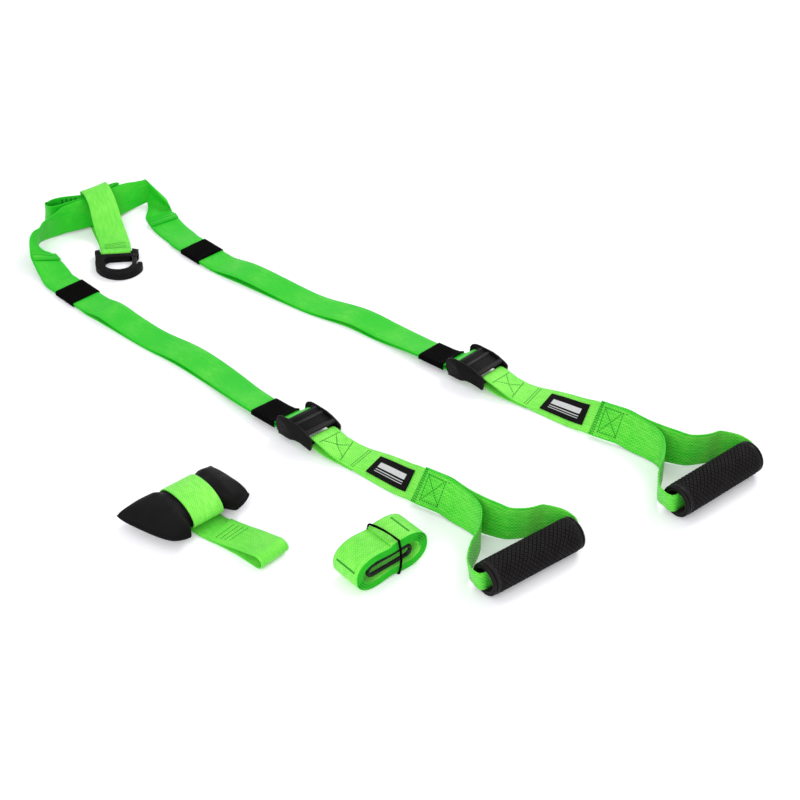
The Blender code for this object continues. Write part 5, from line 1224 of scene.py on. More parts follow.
def wire_piece(name, points, radii, sides, material, smooth=50.0):
    """A round rod along the points, with rounded ends; the radius may vary."""
    points = np.array(points, float)
    radii = np.broadcast_to(radii, (len(points),)).astype(float)
    tangents = np.gradient(points, axis=0)
    tangents /= np.linalg.norm(tangents, axis=1)[:, None]
    rows = []
    for end, sign in ((0, -1.0), (-1, 1.0)):
        extra = []
        for share in (0.0, 0.35, 0.7, 0.95):
            shrink = math.sqrt(1 - share**2)
            back = sign * tangents[end] * radii[end] * 0.5 * (share - 0.95)
            extra.append((points[end] + back, radii[end] * shrink))
        rows.append(extra)
    path = [row[0] for row in rows[0][::-1]] + list(points[1:-1]) + [row[0] for row in rows[1]]
    wide = [row[1] for row in rows[0][::-1]] + list(radii[1:-1]) + [row[1] for row in rows[1]]
    turns = [tangents[0]] * 4 + list(tangents[1:-1]) + [tangents[-1]] * 4
    helper = np.array((0.0, 0.0, 1.0)) if abs(turns[0][2]) < 0.9 else np.array((0.0, 1.0, 0.0))
    side = np.cross(turns[0], helper)
    bm = bmesh.new()
    rings = []
    for point, tangent, radius in zip(path, turns, wide):
        side = side - (side @ tangent) * tangent
        side /= np.linalg.norm(side)
        up = np.cross(tangent, side)
        angles = [math.tau * k / sides for k in range(sides)]
        spots = [point + radius * (math.cos(a) * side + math.sin(a) * up) for a in angles]
        rings.append([bm.verts.new(spot) for spot in spots])
    skin_rings(bm, rings, first=1)
    bm.faces.new(rings[0][::-1])
    bm.faces.new(rings[-1])
    return finish_bmesh(name, bm, material, smooth)


def carve(made, others, operation):
    """Applies a Boolean of each other piece to the first, and removes the others."""
    for other in others:
        modifier = made.modifiers.new(operation.lower(), "BOOLEAN")
        modifier.operation = operation
        modifier.solver = "EXACT"
        modifier.object = other
    graph = bpy.context.evaluated_depsgraph_get()
    mesh = bpy.data.meshes.new_from_object(made.evaluated_get(graph))
    made.modifiers.clear()
    made.data = mesh
    mesh.shade_smooth()
    mesh.set_sharp_from_angle(angle=math.radians(32))
    for other in others:
        bpy.data.objects.remove(other, do_unlink=True)
    return made


def length_setting(name, default, description):
    return FloatProperty(name=name, description=description, default=default, unit="LENGTH")


def count_setting(name, default, description):
    return IntProperty(name=name, description=description, default=default)


def number_setting(name, default, description):
    return FloatProperty(name=name, description=description, default=default)


def colour_setting(name, default, description):
    return FloatVectorProperty(name=name, description=description, subtype="COLOR", default=default)


class TrainerSizes(bpy.types.PropertyGroup):
    """Sizes of the details that are added to the frame."""

    stitch_length: length_setting("Stitch length", 0.0024, "Length of one thread stitch")
    stitch_width: length_setting("Stitch width", 0.00130, "Width of the sewing thread")
    knurls_along: count_setting("Knurls along", 19, "Raised diamonds from end to end of the grip")
    knurls_around: count_setting("Knurls around", 18, "Raised diamonds round the grip")
    knurl_depth: length_setting("Knurl depth", 0.00105, "Depth of the grooves between the diamonds")
    grip_band: length_setting("Plain band", 0.0035, "Smooth band at each end of the rubber sleeve")
    piping: length_setting("Piping", 0.0015, "Radius of the cord sewn into the pad's seam")


class TrainerColours(bpy.types.PropertyGroup):
    """Colours of the finishes, as linear values."""

    webbing: colour_setting("Webbing green", (0.013, 0.700, 0.030), "Colour of the load webbing")
    webbing_sheen: colour_setting(
        "Webbing sheen", (0.70, 1.0, 0.15), "Tint of the light that glances off it"
    )
    thread: colour_setting("Thread green", (0.004, 0.200, 0.012), "Colour of the sewing thread")
    plastic: colour_setting(
        "Moulded black", (0.0030, 0.0027, 0.0027), "Colour of the buckles, caps and hook"
    )
    rubber: colour_setting("Rubber black", (0.0050, 0.0045, 0.0046), "Colour of the grip's rubber")
    elastic: colour_setting(
        "Elastic black", (0.0010, 0.0010, 0.0009), "Colour of the keepers and the band"
    )
    pad: colour_setting("Pad black", (0.0040, 0.0036, 0.0037), "Colour of the pad's cloth")
    label: colour_setting(
        "Label black", (0.0030, 0.0028, 0.0030), "Ground colour of the woven label"
    )
    label_stripe: colour_setting(
        "Label stripe", (0.62, 0.62, 0.62), "Colour of the label's plain stripes"
    )
    steel: colour_setting(
        "Blackened steel", (0.012, 0.012, 0.012), "Colour of pins, springs and the link"
    )


class TrainerStage(bpy.types.PropertyGroup):
    """The floor, the light and the camera."""

    floor: colour_setting("Floor", (0.93, 0.925, 0.94), "Colour of the floor and the backdrop")
    key: number_setting("Key light", 25.0, "Strength of the main soft light")
    fill: number_setting("Fill light", 0.86, "Strength of the light from all round")
    front: number_setting("Front light", 22.0, "Strength of the soft light from the front")
    lens: number_setting("Lens", 79.2, "Focal length in millimetres on a 36 mm sensor")
    camera_height: length_setting("Camera height", 1.20, "Height of the lens above the floor")


# Yarn colours of the webbing, as shares of the panel's green: the bright end is a painted
# yellow-green highlight and the deep end a painted shaded green
YARN_AND_PAINTED_HIGHLIGHT = (22.0, 1.24, 4.0)
YARN_AND_PAINTED_SHADE = (0.2, 0.70, 0.6)
# Each weave: warp and weft spacing, contrast, level, relief, slubs, and how far its rims darken;
# the level paints each strap lighter or darker for how the light falls on it, and the darkened rims
# are painted shade
WEAVES = {
    "load": (0.0024, 0.0026, 0.20, 0.05, 0.00016, 0.3, 0.2),
    "anchor": (0.0024, 0.0026, 0.25, 0.48, 0.00020, 0.5, 0.2),
    "wrap": (0.0030, 0.0029, 0.45, 0.66, 0.00034, 0.7, 0.2),
    "handle": (0.0038, 0.0040, 0.42, 0.28, 0.00045, 0.6, 0.2),
    "yoke": (0.0030, 0.0029, 0.45, 0.60, 0.00034, 0.6, 0.2),
    "rolled": (0.0030, 0.0029, 0.45, 0.56, 0.00034, 0.7, 0.9),
}


def weave(name, colour, sheen, warp, weft, contrast, level, relief, slub, rim):
    """A woven strap: ribs across it, columns of yarn along it, slubs, and slow bands of painted
    sheen and crease shade; its tone runs from a painted shade green to a painted highlight green.
    """
    made = Finish(name, Specular_IOR_Level=0.55, Specular_Tint=sheen)
    place, across, along = made.across_and_along()
    sway = made.noise(place, 60.0, 2.0) * 1.2
    columns = made.ripple(across, warp)
    ribs = made.sine(along * (math.tau / weft) + sway + (columns > 0.5) * math.pi) * 0.5 + 0.5
    yarns = ribs * 0.7 + columns * 0.3
    # slow: broad lighter and darker bands, painted sheen and crease shade
    slow = made.noise(place, 22.0, 3.0)
    drawn_out = made.node(
        "ShaderNodeVectorMath", {"operation": "MULTIPLY"}, {0: place, 1: (1.0, 0.3, 1.0)}
    )
    slubs = made.noise(drawn_out, 300.0, 3.0)
    fine = made.noise(place, 1100.0, 2.0)
    # edge: the strap's rims, which rim darkens below as painted shade
    edge = made.ease(made.size_of(across), WEB_WIDTH * 0.465, WEB_WIDTH * 0.498)
    tone = (yarns - 0.5) * contrast + (slow - 0.5) * 0.6 + (slubs - 0.5) * slub + (fine - 0.5) * 0.2
    # level: painted light, lifting the whole strap's tone
    shade = tone + level - edge * rim
    # bright and deep: painted highlight and painted shade greens, blended by the yarns, the noise
    # and the level
    bright = tuple(part * share for part, share in zip(colour, YARN_AND_PAINTED_HIGHLIGHT))
    deep = tuple(part * share for part, share in zip(colour, YARN_AND_PAINTED_SHADE))
    made.set(Base_Color=made.blend(shade, deep, bright))
    made.set(Roughness=0.50 - yarns * 0.14 + edge * 0.1)
    return made.bump(yarns + slubs * 0.5 + fine * 0.3, relief).material


def elastic_finish(name, colour):
    """Ribbed elastic: close ribs along the band and a faint sheen."""
    made = Finish(name, Specular_IOR_Level=0.03)
    place, across, along = made.across_and_along()
    ribs = made.ripple(across, 0.0016)
    knit = made.ripple(along, 0.0009)
    slow = made.noise(place, 60.0, 3.0)
    tone = ribs * 0.55 + slow * 0.45
    made.set(Base_Color=made.blend(tone, shaded(colour, 0.6), shaded(colour, 1.7)))
    made.set(Roughness=0.88 - tone * 0.14)
    return made.bump(ribs * 0.7 + knit * 0.3 + slow * 0.5, 0.00022).material


def plastic_finish(name, colour, roughness):
    """Moulded plastic: fine grain, soft waves of the mould and painted glints that lighten its
    edges.
    """
    made = Finish(name, Specular_IOR_Level=0.055)
    place = made.object_place()
    grain = made.noise(place, 2600.0, 3.0)
    slow = made.noise(place, 90.0, 3.0)
    scuffs = made.ease(made.noise(place, 420.0, 6.0), 0.60, 0.74)
    # the edges that stand out, lightened as painted glints
    painted_edge_glint = made.edges(0.515, 0.60)
    tone = slow * 0.20 + painted_edge_glint * 0.75 + scuffs * 0.06
    made.set(Base_Color=made.blend(tone, shaded(colour, 0.6), shaded(colour, 9.0)))
    made.set(Roughness=roughness + grain * 0.12 - painted_edge_glint * 0.1 + scuffs * 0.08)
    return made.bump(grain * 0.5 + slow * 0.6, 0.00006).material


def rubber_finish(name, colour):
    """Moulded rubber: matt, faintly mottled, with painted highlights on its raised edges and
    painted shade in its grooves.
    """
    made = Finish(name, Specular_IOR_Level=0.07)
    place = made.object_place()
    grain = made.noise(place, 1900.0, 3.0)
    slow = made.noise(place, 70.0, 3.0)
    # high: the raised edges, lightened as painted highlights; the blend's dark end is painted shade
    # in the grooves
    high = made.edges(0.50, 0.58)
    tone = slow * 0.3 + high * 0.8
    made.set(Base_Color=made.blend(tone, shaded(colour, 0.15), shaded(colour, 7.0)))
    made.set(Roughness=0.62 + grain * 0.14 - high * 0.12)
    return made.bump(grain * 0.6 + slow * 0.4, 0.00008).material


def steel_finish(name, colour):
    """Blackened steel: satin, with bright wear on its edges and fine scratches."""
    made = Finish(name, Metallic=0.85, Specular_IOR_Level=0.5)
    place = made.object_place()
    blotch = made.noise(place, 240.0, 4.0)
    scratch = made.ease(made.noise(place, 1500.0, 5.0), 0.58, 0.70)
    worn = made.edges(0.53, 0.63)
    tone = made.lowest(blotch * 0.5 + worn * 0.6 + scratch * 0.25, 1.0)
    made.set(Base_Color=made.blend(tone, shaded(colour, 0.6), shaded(colour, 4.0)))
    made.set(Roughness=0.30 + blotch * 0.16 - worn * 0.08)
    return made.bump(blotch + scratch * 0.5, 0.00003).material


PAD_ALONG = (math.cos(PAD_YAW), math.sin(PAD_YAW))


def pad_finish(name, colour):
    """The pad's coated cloth: a close plain weave under a soft gloss, paler towards its crown."""
    made = Finish(name, Specular_IOR_Level=0.065)
    place = made.object_place()
    x, y, z = made.node("ShaderNodeSeparateXYZ", None, {0: place}, ("X", "Y", "Z"))
    step = math.tau / 0.0009
    weft = made.sine((x * PAD_ALONG[0] + y * PAD_ALONG[1]) * step)
    warp = made.sine((y * PAD_ALONG[0] - x * PAD_ALONG[1]) * step)
    slow = made.noise(place, 55.0, 3.0)
    creases = made.noise(place, 170.0, 4.0)
    crown = made.ease(z, 0.020, 0.034)
    tone = slow * 0.5 + crown * 0.35 + (weft * warp) * 0.06
    made.set(Base_Color=made.blend(tone, shaded(colour, 0.7), shaded(colour, 2.4)))
    made.set(Roughness=0.56 + slow * 0.16 - crown * 0.12)
    return made.bump(weft * warp * 0.10 + creases * 1.2, 0.00045, 0.8).material


LABEL_EXTRA = 0.006  # the label runs on this much further towards the handle than the simple part's
LABEL_STRIPES = ((-0.10, 0.42), (-0.36, -0.28), (-0.56, -0.50))  # as shares of the half width


def label_finish(name, colour, stripe):
    """The woven label: black satin with a sewn border and plain light stripes."""
    made = Finish(name, Specular_IOR_Level=0.08)
    place, across, along = made.across_and_along()
    thread = made.sine(across * (math.tau / 0.0006)) * made.sine(along * (math.tau / 0.0006))
    half, reach = LABEL_WIDTH / 2, (LABEL_LENGTH + LABEL_EXTRA) / 2
    out = made.size_of(along - reach)
    inside = 1.0 - made.ease(out, reach * 0.72, reach * 0.735)
    shade = None
    for low, high in LABEL_STRIPES:
        band = made.ease(across, low * half, (low + 0.03) * half) * (
            1.0 - made.ease(across, high * half, (high + 0.03) * half)
        )
        shade = band if shade is None else made.highest(shade, band)
    lit = shade * inside
    speck = made.noise(place, 1400.0, 2.0)
    ground = made.blend(speck * 0.6 + thread * 0.2, shaded(colour, 0.7), shaded(colour, 2.2))
    made.set(Base_Color=made.blend(lit * (0.90 + thread * 0.05), ground, stripe))
    made.set(Roughness=0.58 + speck * 0.2)
    return made.bump(thread * 0.5 + lit * 0.9 + speck * 0.4, 0.00012).material


def thread_finish(name, colour):
    """Sewing thread: satin, with a fine twist."""
    made = Finish(name, Specular_IOR_Level=0.15)
    place = made.object_place()
    twist = made.noise(place, 1500.0, 2.0)
    slow = made.noise(place, 60.0, 2.0)
    tone = twist * 0.6 + slow * 0.4
    made.set(Base_Color=made.blend(tone, shaded(colour, 0.6), shaded(colour, 1.5)))
    made.set(Roughness=0.5 + twist * 0.2)
    return made.bump(twist, 0.00008).material


FINISHES = {}


def finish(name):
    """A finish by name, made once from the scene's colours."""
    if not FINISHES:
        settings = bpy.context.scene.trainer_colours
        colours = {key: tuple(getattr(settings, key)) for key in TrainerColours.__annotations__}
        for key, pattern in WEAVES.items():
            names = f"{key}_webbing_weave", colours["webbing"], colours["webbing_sheen"]
            FINISHES[key] = weave(*names, *pattern)
        FINISHES["thread"] = thread_finish("green_thread", colours["thread"])
        FINISHES["dark_thread"] = thread_finish("black_thread", shaded(colours["label"], 1.5))
        FINISHES["elastic"] = elastic_finish("ribbed_elastic", colours["elastic"])
        FINISHES["plastic"] = plastic_finish("moulded_black", colours["plastic"], 0.34)
        FINISHES["hook"] = plastic_finish("hook_black", colours["plastic"], 0.42)
        FINISHES["rubber"] = rubber_finish("knurled_rubber", colours["rubber"])
        FINISHES["steel"] = steel_finish("blackened_steel_satin", colours["steel"])
        FINISHES["pad"] = pad_finish("pad_cloth_black", colours["pad"])
        FINISHES["label"] = label_finish(
            "woven_label_black", colours["label"], colours["label_stripe"]
        )
    return FINISHES[name]


def lay(name, strap, look, body, slot, held, node, wide=None, **rest):
    """Makes a strap in the place of a CAD node. The flat size, wide, is not used."""
    piece = dress(strap_piece(name, strap, finish(look)), body, slot, node)


def sew_green(name, marks, body="base"):
    """Green thread stitches of the size set in the panel."""
    sizes = bpy.context.scene.trainer_sizes
    sew(name, marks, finish("thread"), body, sizes.stitch_length, sizes.stitch_width)


def upward(strap, run):
    """The sign of the face that looks up at a run."""
    return 1.0 if strap.at(run)[3][2] >= 0 else -1.0


def arm_frames():
    return {
        "left": yaw_frame(plan(LEFT_BUCKLE_SHARES), LEFT_YAW),
        "right": yaw_frame(plan(RIGHT_BUCKLE_SHARES), RIGHT_YAW),
    }


# Where the bridge folds over at its right end: its upper and lower edges (x, y, z) in millimetres
FOLD_EDGES_MM = [
    ((-305.9, 372.7, 35.0), (-292.7, 372.9, 4.5)), ((-299.7, 376.2, 34.5), (-279.5, 377.0, 9.0)),
    ((-297.4, 378.4, 34.0), (-269.8, 363.7, 13.0)), ((-296.4, 379.3, 32.0), (-265.4, 352.9, 12.5)),
    ((-296.7, 378.7, 27.0), (-263.6, 351.5, 8.0)), ((-297.1, 378.5, 18.0), (-262.7, 352.3, 4.5)),
    ((-296.6, 373.0, 9.0), (-261.7, 351.8, 2.5)), ((-293.7, 358.2, 4.0), (-261.0, 350.9, 1.5)),
]
FOLD_CLEAR = 0.007  # how far before the first of them the plain bridge ends


def folded_bridge(points, across):
    """The bridge with its right end folded over a slanting line, as a strap of oblique sections."""
    start = FOLD_EDGES_MM[0][0][0] / 1000 - FOLD_CLEAR
    tops = points[:, 0] + across[:, 0] * np.sign(across[:, 2]) * WEB_WIDTH / 2
    kept = int(np.argmax(tops > start))
    sign = 1.0 if across[kept][2] > 0 else -1.0
    rows = [(points[k], sign * across[k], WEB_WIDTH) for k in range(0, kept, 2)]
    for edges in FOLD_EDGES_MM:
        upper, lower = np.array(edges) / 1000
        size = float(np.linalg.norm(upper - lower))
        rows.append(((upper + lower) / 2, (upper - lower) / size, size))
    last = across[-1] if across[-1] @ rows[-1][1] > 0 else -across[-1]
    rows.append((points[-1], last, WEB_WIDTH))
    middle, sides, widths = (np.array([row[k] for row in rows]) for k in range(3))
    tangents = np.gradient(middle, axis=0)
    return Strap(
        middle, None, widths, WEB_THICKNESS, sections=(sides, np.cross(tangents, sides)),
        fineness=4, oblique=True
    )


class TRAINER_OT_load_straps(bpy.types.Operator):
    """The load strap from buckle to buckle, and the tail that lies on it along each arm"""

    bl_idname = "trainer.load_straps"
    bl_label = "Load straps"

    def execute(self, context):
        points, hints, marks = main_route()
        _, across, normals = section_frames(points, hints)
        ends = (
            ("left_load", 0, marks["bridge_start"]),
            ("bridge", marks["bridge_start"], marks["bridge_end"]),
            ("right_load", marks["bridge_end"], len(points) - 1),
        )
        for name, start, end in ends:
            middle, sections = cut_slice(points, across, normals, start, end)
            if name == "bridge":
                strap = folded_bridge(middle, sections[0])
            else:
                strap = Strap(middle, None, WEB_WIDTH, WEB_THICKNESS, sections=sections)
            lay(
                f"{name}_strap", strap, "load", "base", "webbing", "laid", f"{name}_webbing",
                WEB_WIDTH
            )
        for side, buckle in buckle_frames().items():
            route, sections = tail_route((points, across, normals), marks, side, buckle)
            strap = Strap(route, None, WEB_WIDTH, WEB_THICKNESS, sections=sections)
            lay(
                f"{side}_tail_strap", strap, "load", "base", "webbing", "folded",
                f"{side}_tail_webbing"
            )
            sew_green(f"{side}_hem_stitches", strap.rows(HEM_ROWS, HEM_SEAM_HALF))
        return {"FINISHED"}


TACKS_AT_SHARES = (-0.856, 0.7672)  # the middle of the equalizer's bar tacks
TACK_STEPS = (-0.009, -0.0035, 0.002, 0.0075)
TACK_TWIN = 0.0011  # between the two rows of each tack


class TRAINER_OT_equalizer(bpy.types.Operator):
    """The sewn ring of webbing that stands behind the bridge, with its bar tacks"""

    bl_idname = "trainer.equalizer"
    bl_label = "Equalizer loop"

    def execute(self, context):
        back = (-math.sin(EQUALIZER_YAW), math.cos(EQUALIZER_YAW))
        rows = []
        for x, y, lean in EQUALIZER_SHARES:
            hint = Vector((lean * back[0], lean * back[1], 1)).normalized()
            height = FLOOR_GAP + BRIDGE_LIFT + WEB_WIDTH / 2 * hint.z
            rows.append((*plan((x, y))[:2], height, *hint))
        ring = smooth_rows(rows + rows[:1], 2)[:-1]
        strap = Strap(ring[:, :3], ring[:, 3:], WEB_WIDTH, WEB_THICKNESS, closed=True)
        lay("equalizer_ring", strap, "load", "base", "webbing", "folded", "equalizer_loop")
        tack = plan(TACKS_AT_SHARES)
        middle = strap.nearest_run((tack[0], tack[1], 0.02), after=strap.length / 2)
        inside = 1.0 if strap.at(middle)[3][1] < 0 else -1.0
        runs = [middle + step + twin for step in TACK_STEPS for twin in (0.0, TACK_TWIN)]
        sew_green("equalizer_bar_tacks", strap.rows(runs, SEAM_HALF, inside, TACK_PITCH))
        return {"FINISHED"}


def hook_strap_rows():
    """The hook strap's rows: under the bridge, round the bar and back over."""
    wrap = HOOK_BAR_RADIUS + GAP + WEB_THICKNESS / 2
    hook = yaw_frame(plan(HOOK_SHARES), HOOK_YAW)
    plan_rows = smooth_rows([(*plan(xy)[:2], 0.0) for xy in HOOK_PLAN_SHARES], 6)
    steps = np.linalg.norm(np.diff(plan_rows, axis=0), axis=1)
    run = np.concatenate([[0.0], np.cumsum(steps)])

    def at(back):
        reach = min(back, run[-1])
        spot = np.array([np.interp(reach, run, plan_rows[:, j]) for j in (0, 1)])
        heading = (plan_rows[-1] - plan_rows[-2])[:2]
        return spot + (back - reach) * heading / np.linalg.norm(heading)

    def width_hint(back):
        share = min(1.0, max(0.0, (back / HOOK_STRAP_REACH - 0.25) / 0.5))
        yaw = (HOOK_YAW + math.pi / 2) * (1 - share) + BRIDGE_YAW * share
        return (math.cos(yaw), math.sin(yaw), 0.0)

    lower_z = FLOOR_GAP + WEB_THICKNESS / 2
    side = [(share * HOOK_STRAP_REACH, lower_z) for share in (0.72, 0.5, 0.3, 0.1)]
    loop = [(-x, z) for x, z in arc((0, HOOK_AXIS_Z), wrap, -90, 90, 8)]
    upper = [(b * HOOK_STRAP_REACH, h * HOOK_STRAP_TOP) for b, h in HOOK_STRAP_UPPER_SHARES]
    closing = [(0.86 * HOOK_STRAP_REACH, lower_z)]
    rows = []
    for back, z in side + loop + upper + closing:
        if back < 0:
            rows.append((*(hook @ Vector((-back, 0, z))), *width_hint(0.0)))
        else:
            rows.append((*at(back), z, *width_hint(back)))
    return smooth_rows(rows + rows[:1], 2)[:-1], at


HOOK_STRAP_ROWS = (0.0085, 0.0120, 0.0155, 0.0190, 0.0225)  # stitch rows back from the hook's bar
HOOK_STRAP_HALF = 0.0125
HOOK_STRAP_PITCH = 0.0022


class TRAINER_OT_hook_strap(bpy.types.Operator):
    """The loop of webbing from the hook's bar over the bridge, with its stitch rows"""

    bl_idname = "trainer.hook_strap"
    bl_label = "Hook strap"

    def execute(self, context):
        rows, at = hook_strap_rows()
        strap = Strap(rows[:, :3], rows[:, 3:6], WEB_WIDTH, WEB_THICKNESS, closed=True)
        lay(
            "hook_strap", strap, "anchor", "base", "webbing", "folded", "hook_webbing",
            rests_on=["hook_body"],
        )
        backs, heights = zip(*HOOK_STRAP_UPPER_SHARES[:6])
        runs = []
        for back in HOOK_STRAP_ROWS:
            height = np.interp(back / HOOK_STRAP_REACH, backs, heights) * HOOK_STRAP_TOP
            runs.append(strap.nearest_run((*at(back), height)))
        sew_green("hook_strap_stitches", strap.rows(runs, HOOK_STRAP_HALF, pitch=HOOK_STRAP_PITCH))
        return {"FINISHED"}


def rounded_box(half, low, high, radius, around=5, flats=6):
    """A rounded rectangle (y, z), walked once round, with points along its long sides."""
    outline = []
    corners = ((1, 1, 0), (-1, 1, 90), (-1, -1, 180), (1, -1, 270))
    for k, (a, b, start) in enumerate(corners):
        centre = (a * (half - radius), (high - radius) if b > 0 else (low + radius))
        outline += arc(centre, radius, start, start + 90, around)
        if k in (0, 2):
            other = corners[k + 1][0] * (half - radius)
            edge = high if b > 0 else low
            outline += [
                (centre[0] + (other - centre[0]) * j / flats, edge) for j in range(1, flats)
            ]
    return outline


KEEPER_CORNER = 0.0011
KEEPER_STATIONS = 13
KEEPER_WRINKLE = 0.0003


def sleeve_piece(name, stations, where):
    """An elastic sleeve through stations (x, half width, bottom, top), faintly folded."""
    bm = bmesh.new()
    uv = bm.loops.layers.uv.new("Strap")
    rings, places = [], []
    outer_rows = [
        (x, half + KEEPER_WALL, low - KEEPER_WALL, high + KEEPER_WALL, KEEPER_CORNER + KEEPER_WALL)
        for x, half, low, high in stations
    ]
    inner_rows = [(x, half, low, high, KEEPER_CORNER) for x, half, low, high in stations]
    soft = KEEPER_WALL * 0.32

    start, end = stations[0][0], stations[-1][0]
    outer_rows[0] = (start + soft, *outer_rows[0][1:])
    inner_rows[0] = (start + soft, *inner_rows[0][1:])
    outer_rows[-1] = (end - soft, *outer_rows[-1][1:])
    inner_rows[-1] = (end - soft, *inner_rows[-1][1:])

    def rim(x, outer, inner, inward):
        return [
            (x + inward * soft * back, *[a + (b - a) * share for a, b in zip(outer[1:], inner[1:])])
            for share, back in ((0.25, 0.3), (0.5, 0.0), (0.75, 0.3))
        ]

    loop = outer_rows + rim(end, outer_rows[-1], inner_rows[-1], -1.0)
    loop += inner_rows[::-1] + rim(start, inner_rows[0], outer_rows[0], 1.0)
    for index, (x, half, low, high, radius) in enumerate(loop):
        outline = rounded_box(half, low, high, radius)
        run = 0.0
        ring, where_on = [], []
        for k, (y, z) in enumerate(outline):
            if k:
                run += math.dist(outline[k - 1], (y, z))
            puff = 0.0
            if index < len(stations) and z > (low + high) / 2:
                folds = 0.5 + 0.5 * math.sin(y * 330 + x * 260)
                puff = KEEPER_WRINKLE * folds * (1 - (y / half) ** 2)
            ring.append(bm.verts.new((x, y, z + puff)))
            where_on.append((x, run))
        rings.append(ring)
        places.append(where_on)
    for i in range(len(rings)):
        for k in range(len(rings[0])):
            face = bm.faces.new(
                (rings[i - 1][k - 1], rings[i - 1][k], rings[i][k], rings[i][k - 1])
            )
            for corner, (a, b) in zip(face.loops, ((i - 1, k - 1), (i - 1, k), (i, k), (i, k - 1))):
                corner[uv].uv = places[a][b]
    bmesh.ops.transform(bm, matrix=where, verts=bm.verts)
    return finish_bmesh(name, bm, finish("elastic"), 60.0)


class TRAINER_OT_keepers(bpy.types.Operator):
    """The four elastic sleeves that hold each tail against its strap"""

    bl_idname = "trainer.keepers"
    bl_label = "Elastic keepers"

    def execute(self, context):
        half = WEB_WIDTH / 2 + KEEPER_ROOM
        low = KEPT_Z - WEB_THICKNESS / 2 - GAP
        high = KEPT_Z + LAYER + WEB_THICKNESS / 2 + KEEPER_ROOM
        alongs, rises = zip(*KEEPER_FLARE_SHARES)
        for side, buckle in buckle_frames().items():
            flared, straight = [], []
            for share in np.linspace(-0.5, 0.5, KEEPER_STATIONS):
                rise = float(np.interp(share, alongs, rises)) * KEEPER_FLARE
                flared.append((KEEPER_X + share * KEEPER_LENGTH, half, low, high + rise))
                straight.append((share * KEEPER_LENGTH, half, low, high))
            upper = keeper_frames()[side]
            for level, stations, where in (("lower", flared, buckle), ("upper", straight, upper)):
                piece = sleeve_piece(f"{side}_{level}_elastic", stations, where)
                dress(piece, f"{side}_{level}_keeper", "keeper_elastic", f"{side}_{level}_keeper")
                round_it = 2 * (2 * half + high - low) + 4 * KEEPER_WALL
        return {"FINISHED"}


def lever_arm_outline():
    """The lever's arm (x, z) about the pin, from its round boss to under the thumb plate."""
    slope = (LEVER_UNDER_FRONT - LEVER_UNDER_BACK) / (LEVER_FRONT - LEVER_BACK)

    def under(x):
        return LEVER_UNDER_BACK + slope * (x - LEVER_BACK) - PIN_HEIGHT

    reach = LEVER_FRONT - 0.0032
    arm = arc((0, 0), DRUM_RADIUS, 150, 330, 16)
    arm += [(0.55 * LEVER_FRONT, under(0.55 * LEVER_FRONT) - LEVER_THICKNESS)]
    arm += [
        (reach, under(reach) - LEVER_THICKNESS / 2), (reach, under(reach) + LEVER_THICKNESS / 2)
    ]
    return arm + [(LEVER_BACK, under(LEVER_BACK) + LEVER_THICKNESS / 2)], under


PLATE_BACK = 0.0033
# The thumb plate's top from back to front: x and height above its under side, in millimetres
PLATE_TOP_MM = [
    (3.3, 0.4), (3.4, 1.8), (3.9, 2.4), (4.7, 2.6), (6.3, 2.6), (7.0, 2.3), (7.5, 1.9), (12.6, 1.9),
    (13.2, 2.4), (13.9, 3.0), (16.7, 3.0), (17.4, 2.6), (18.0, 2.0), (29.2, 1.8), (30.0, 2.4),
    (30.9, 2.9), (33.9, 3.1), (34.9, 2.7), (35.4, 1.9), (35.5, 0.9), (35.2, 0.2),
]


def drum_outline():
    """The toothed drum (x, z) about the pin, its teeth towards the strap below."""
    reach = PIN_HEIGHT - BASE_WEB_Z - WEB_THICKNESS / 2 - GAP
    start = -math.pi / 2 - TOOTH_SPREAD / 2
    plain = []
    for k in range(2 * DRUM_SIDES):
        angle = math.pi * k / DRUM_SIDES
        off = (angle + math.pi / 2 + math.pi) % math.tau - math.pi
        if abs(off) > TOOTH_SPREAD / 2 + math.pi / DRUM_SIDES:
            plain.append((angle if angle < 1.5 * math.pi else angle - math.tau, DRUM_RADIUS))
    for k in range(2 * TOOTH_COUNT + 1):
        angle = start + TOOTH_SPREAD * k / (2 * TOOTH_COUNT)
        plain.append((angle, reach if k % 2 else (reach + DRUM_RADIUS) / 2))
    plain.sort()
    return [(r * math.cos(a), r * math.sin(a)) for a, r in plain]


CHEEK_ROUND = 0.0007
LEVER_ROUND = 0.0003
BOSS_ROUND = 0.0003  # of the pin's ends


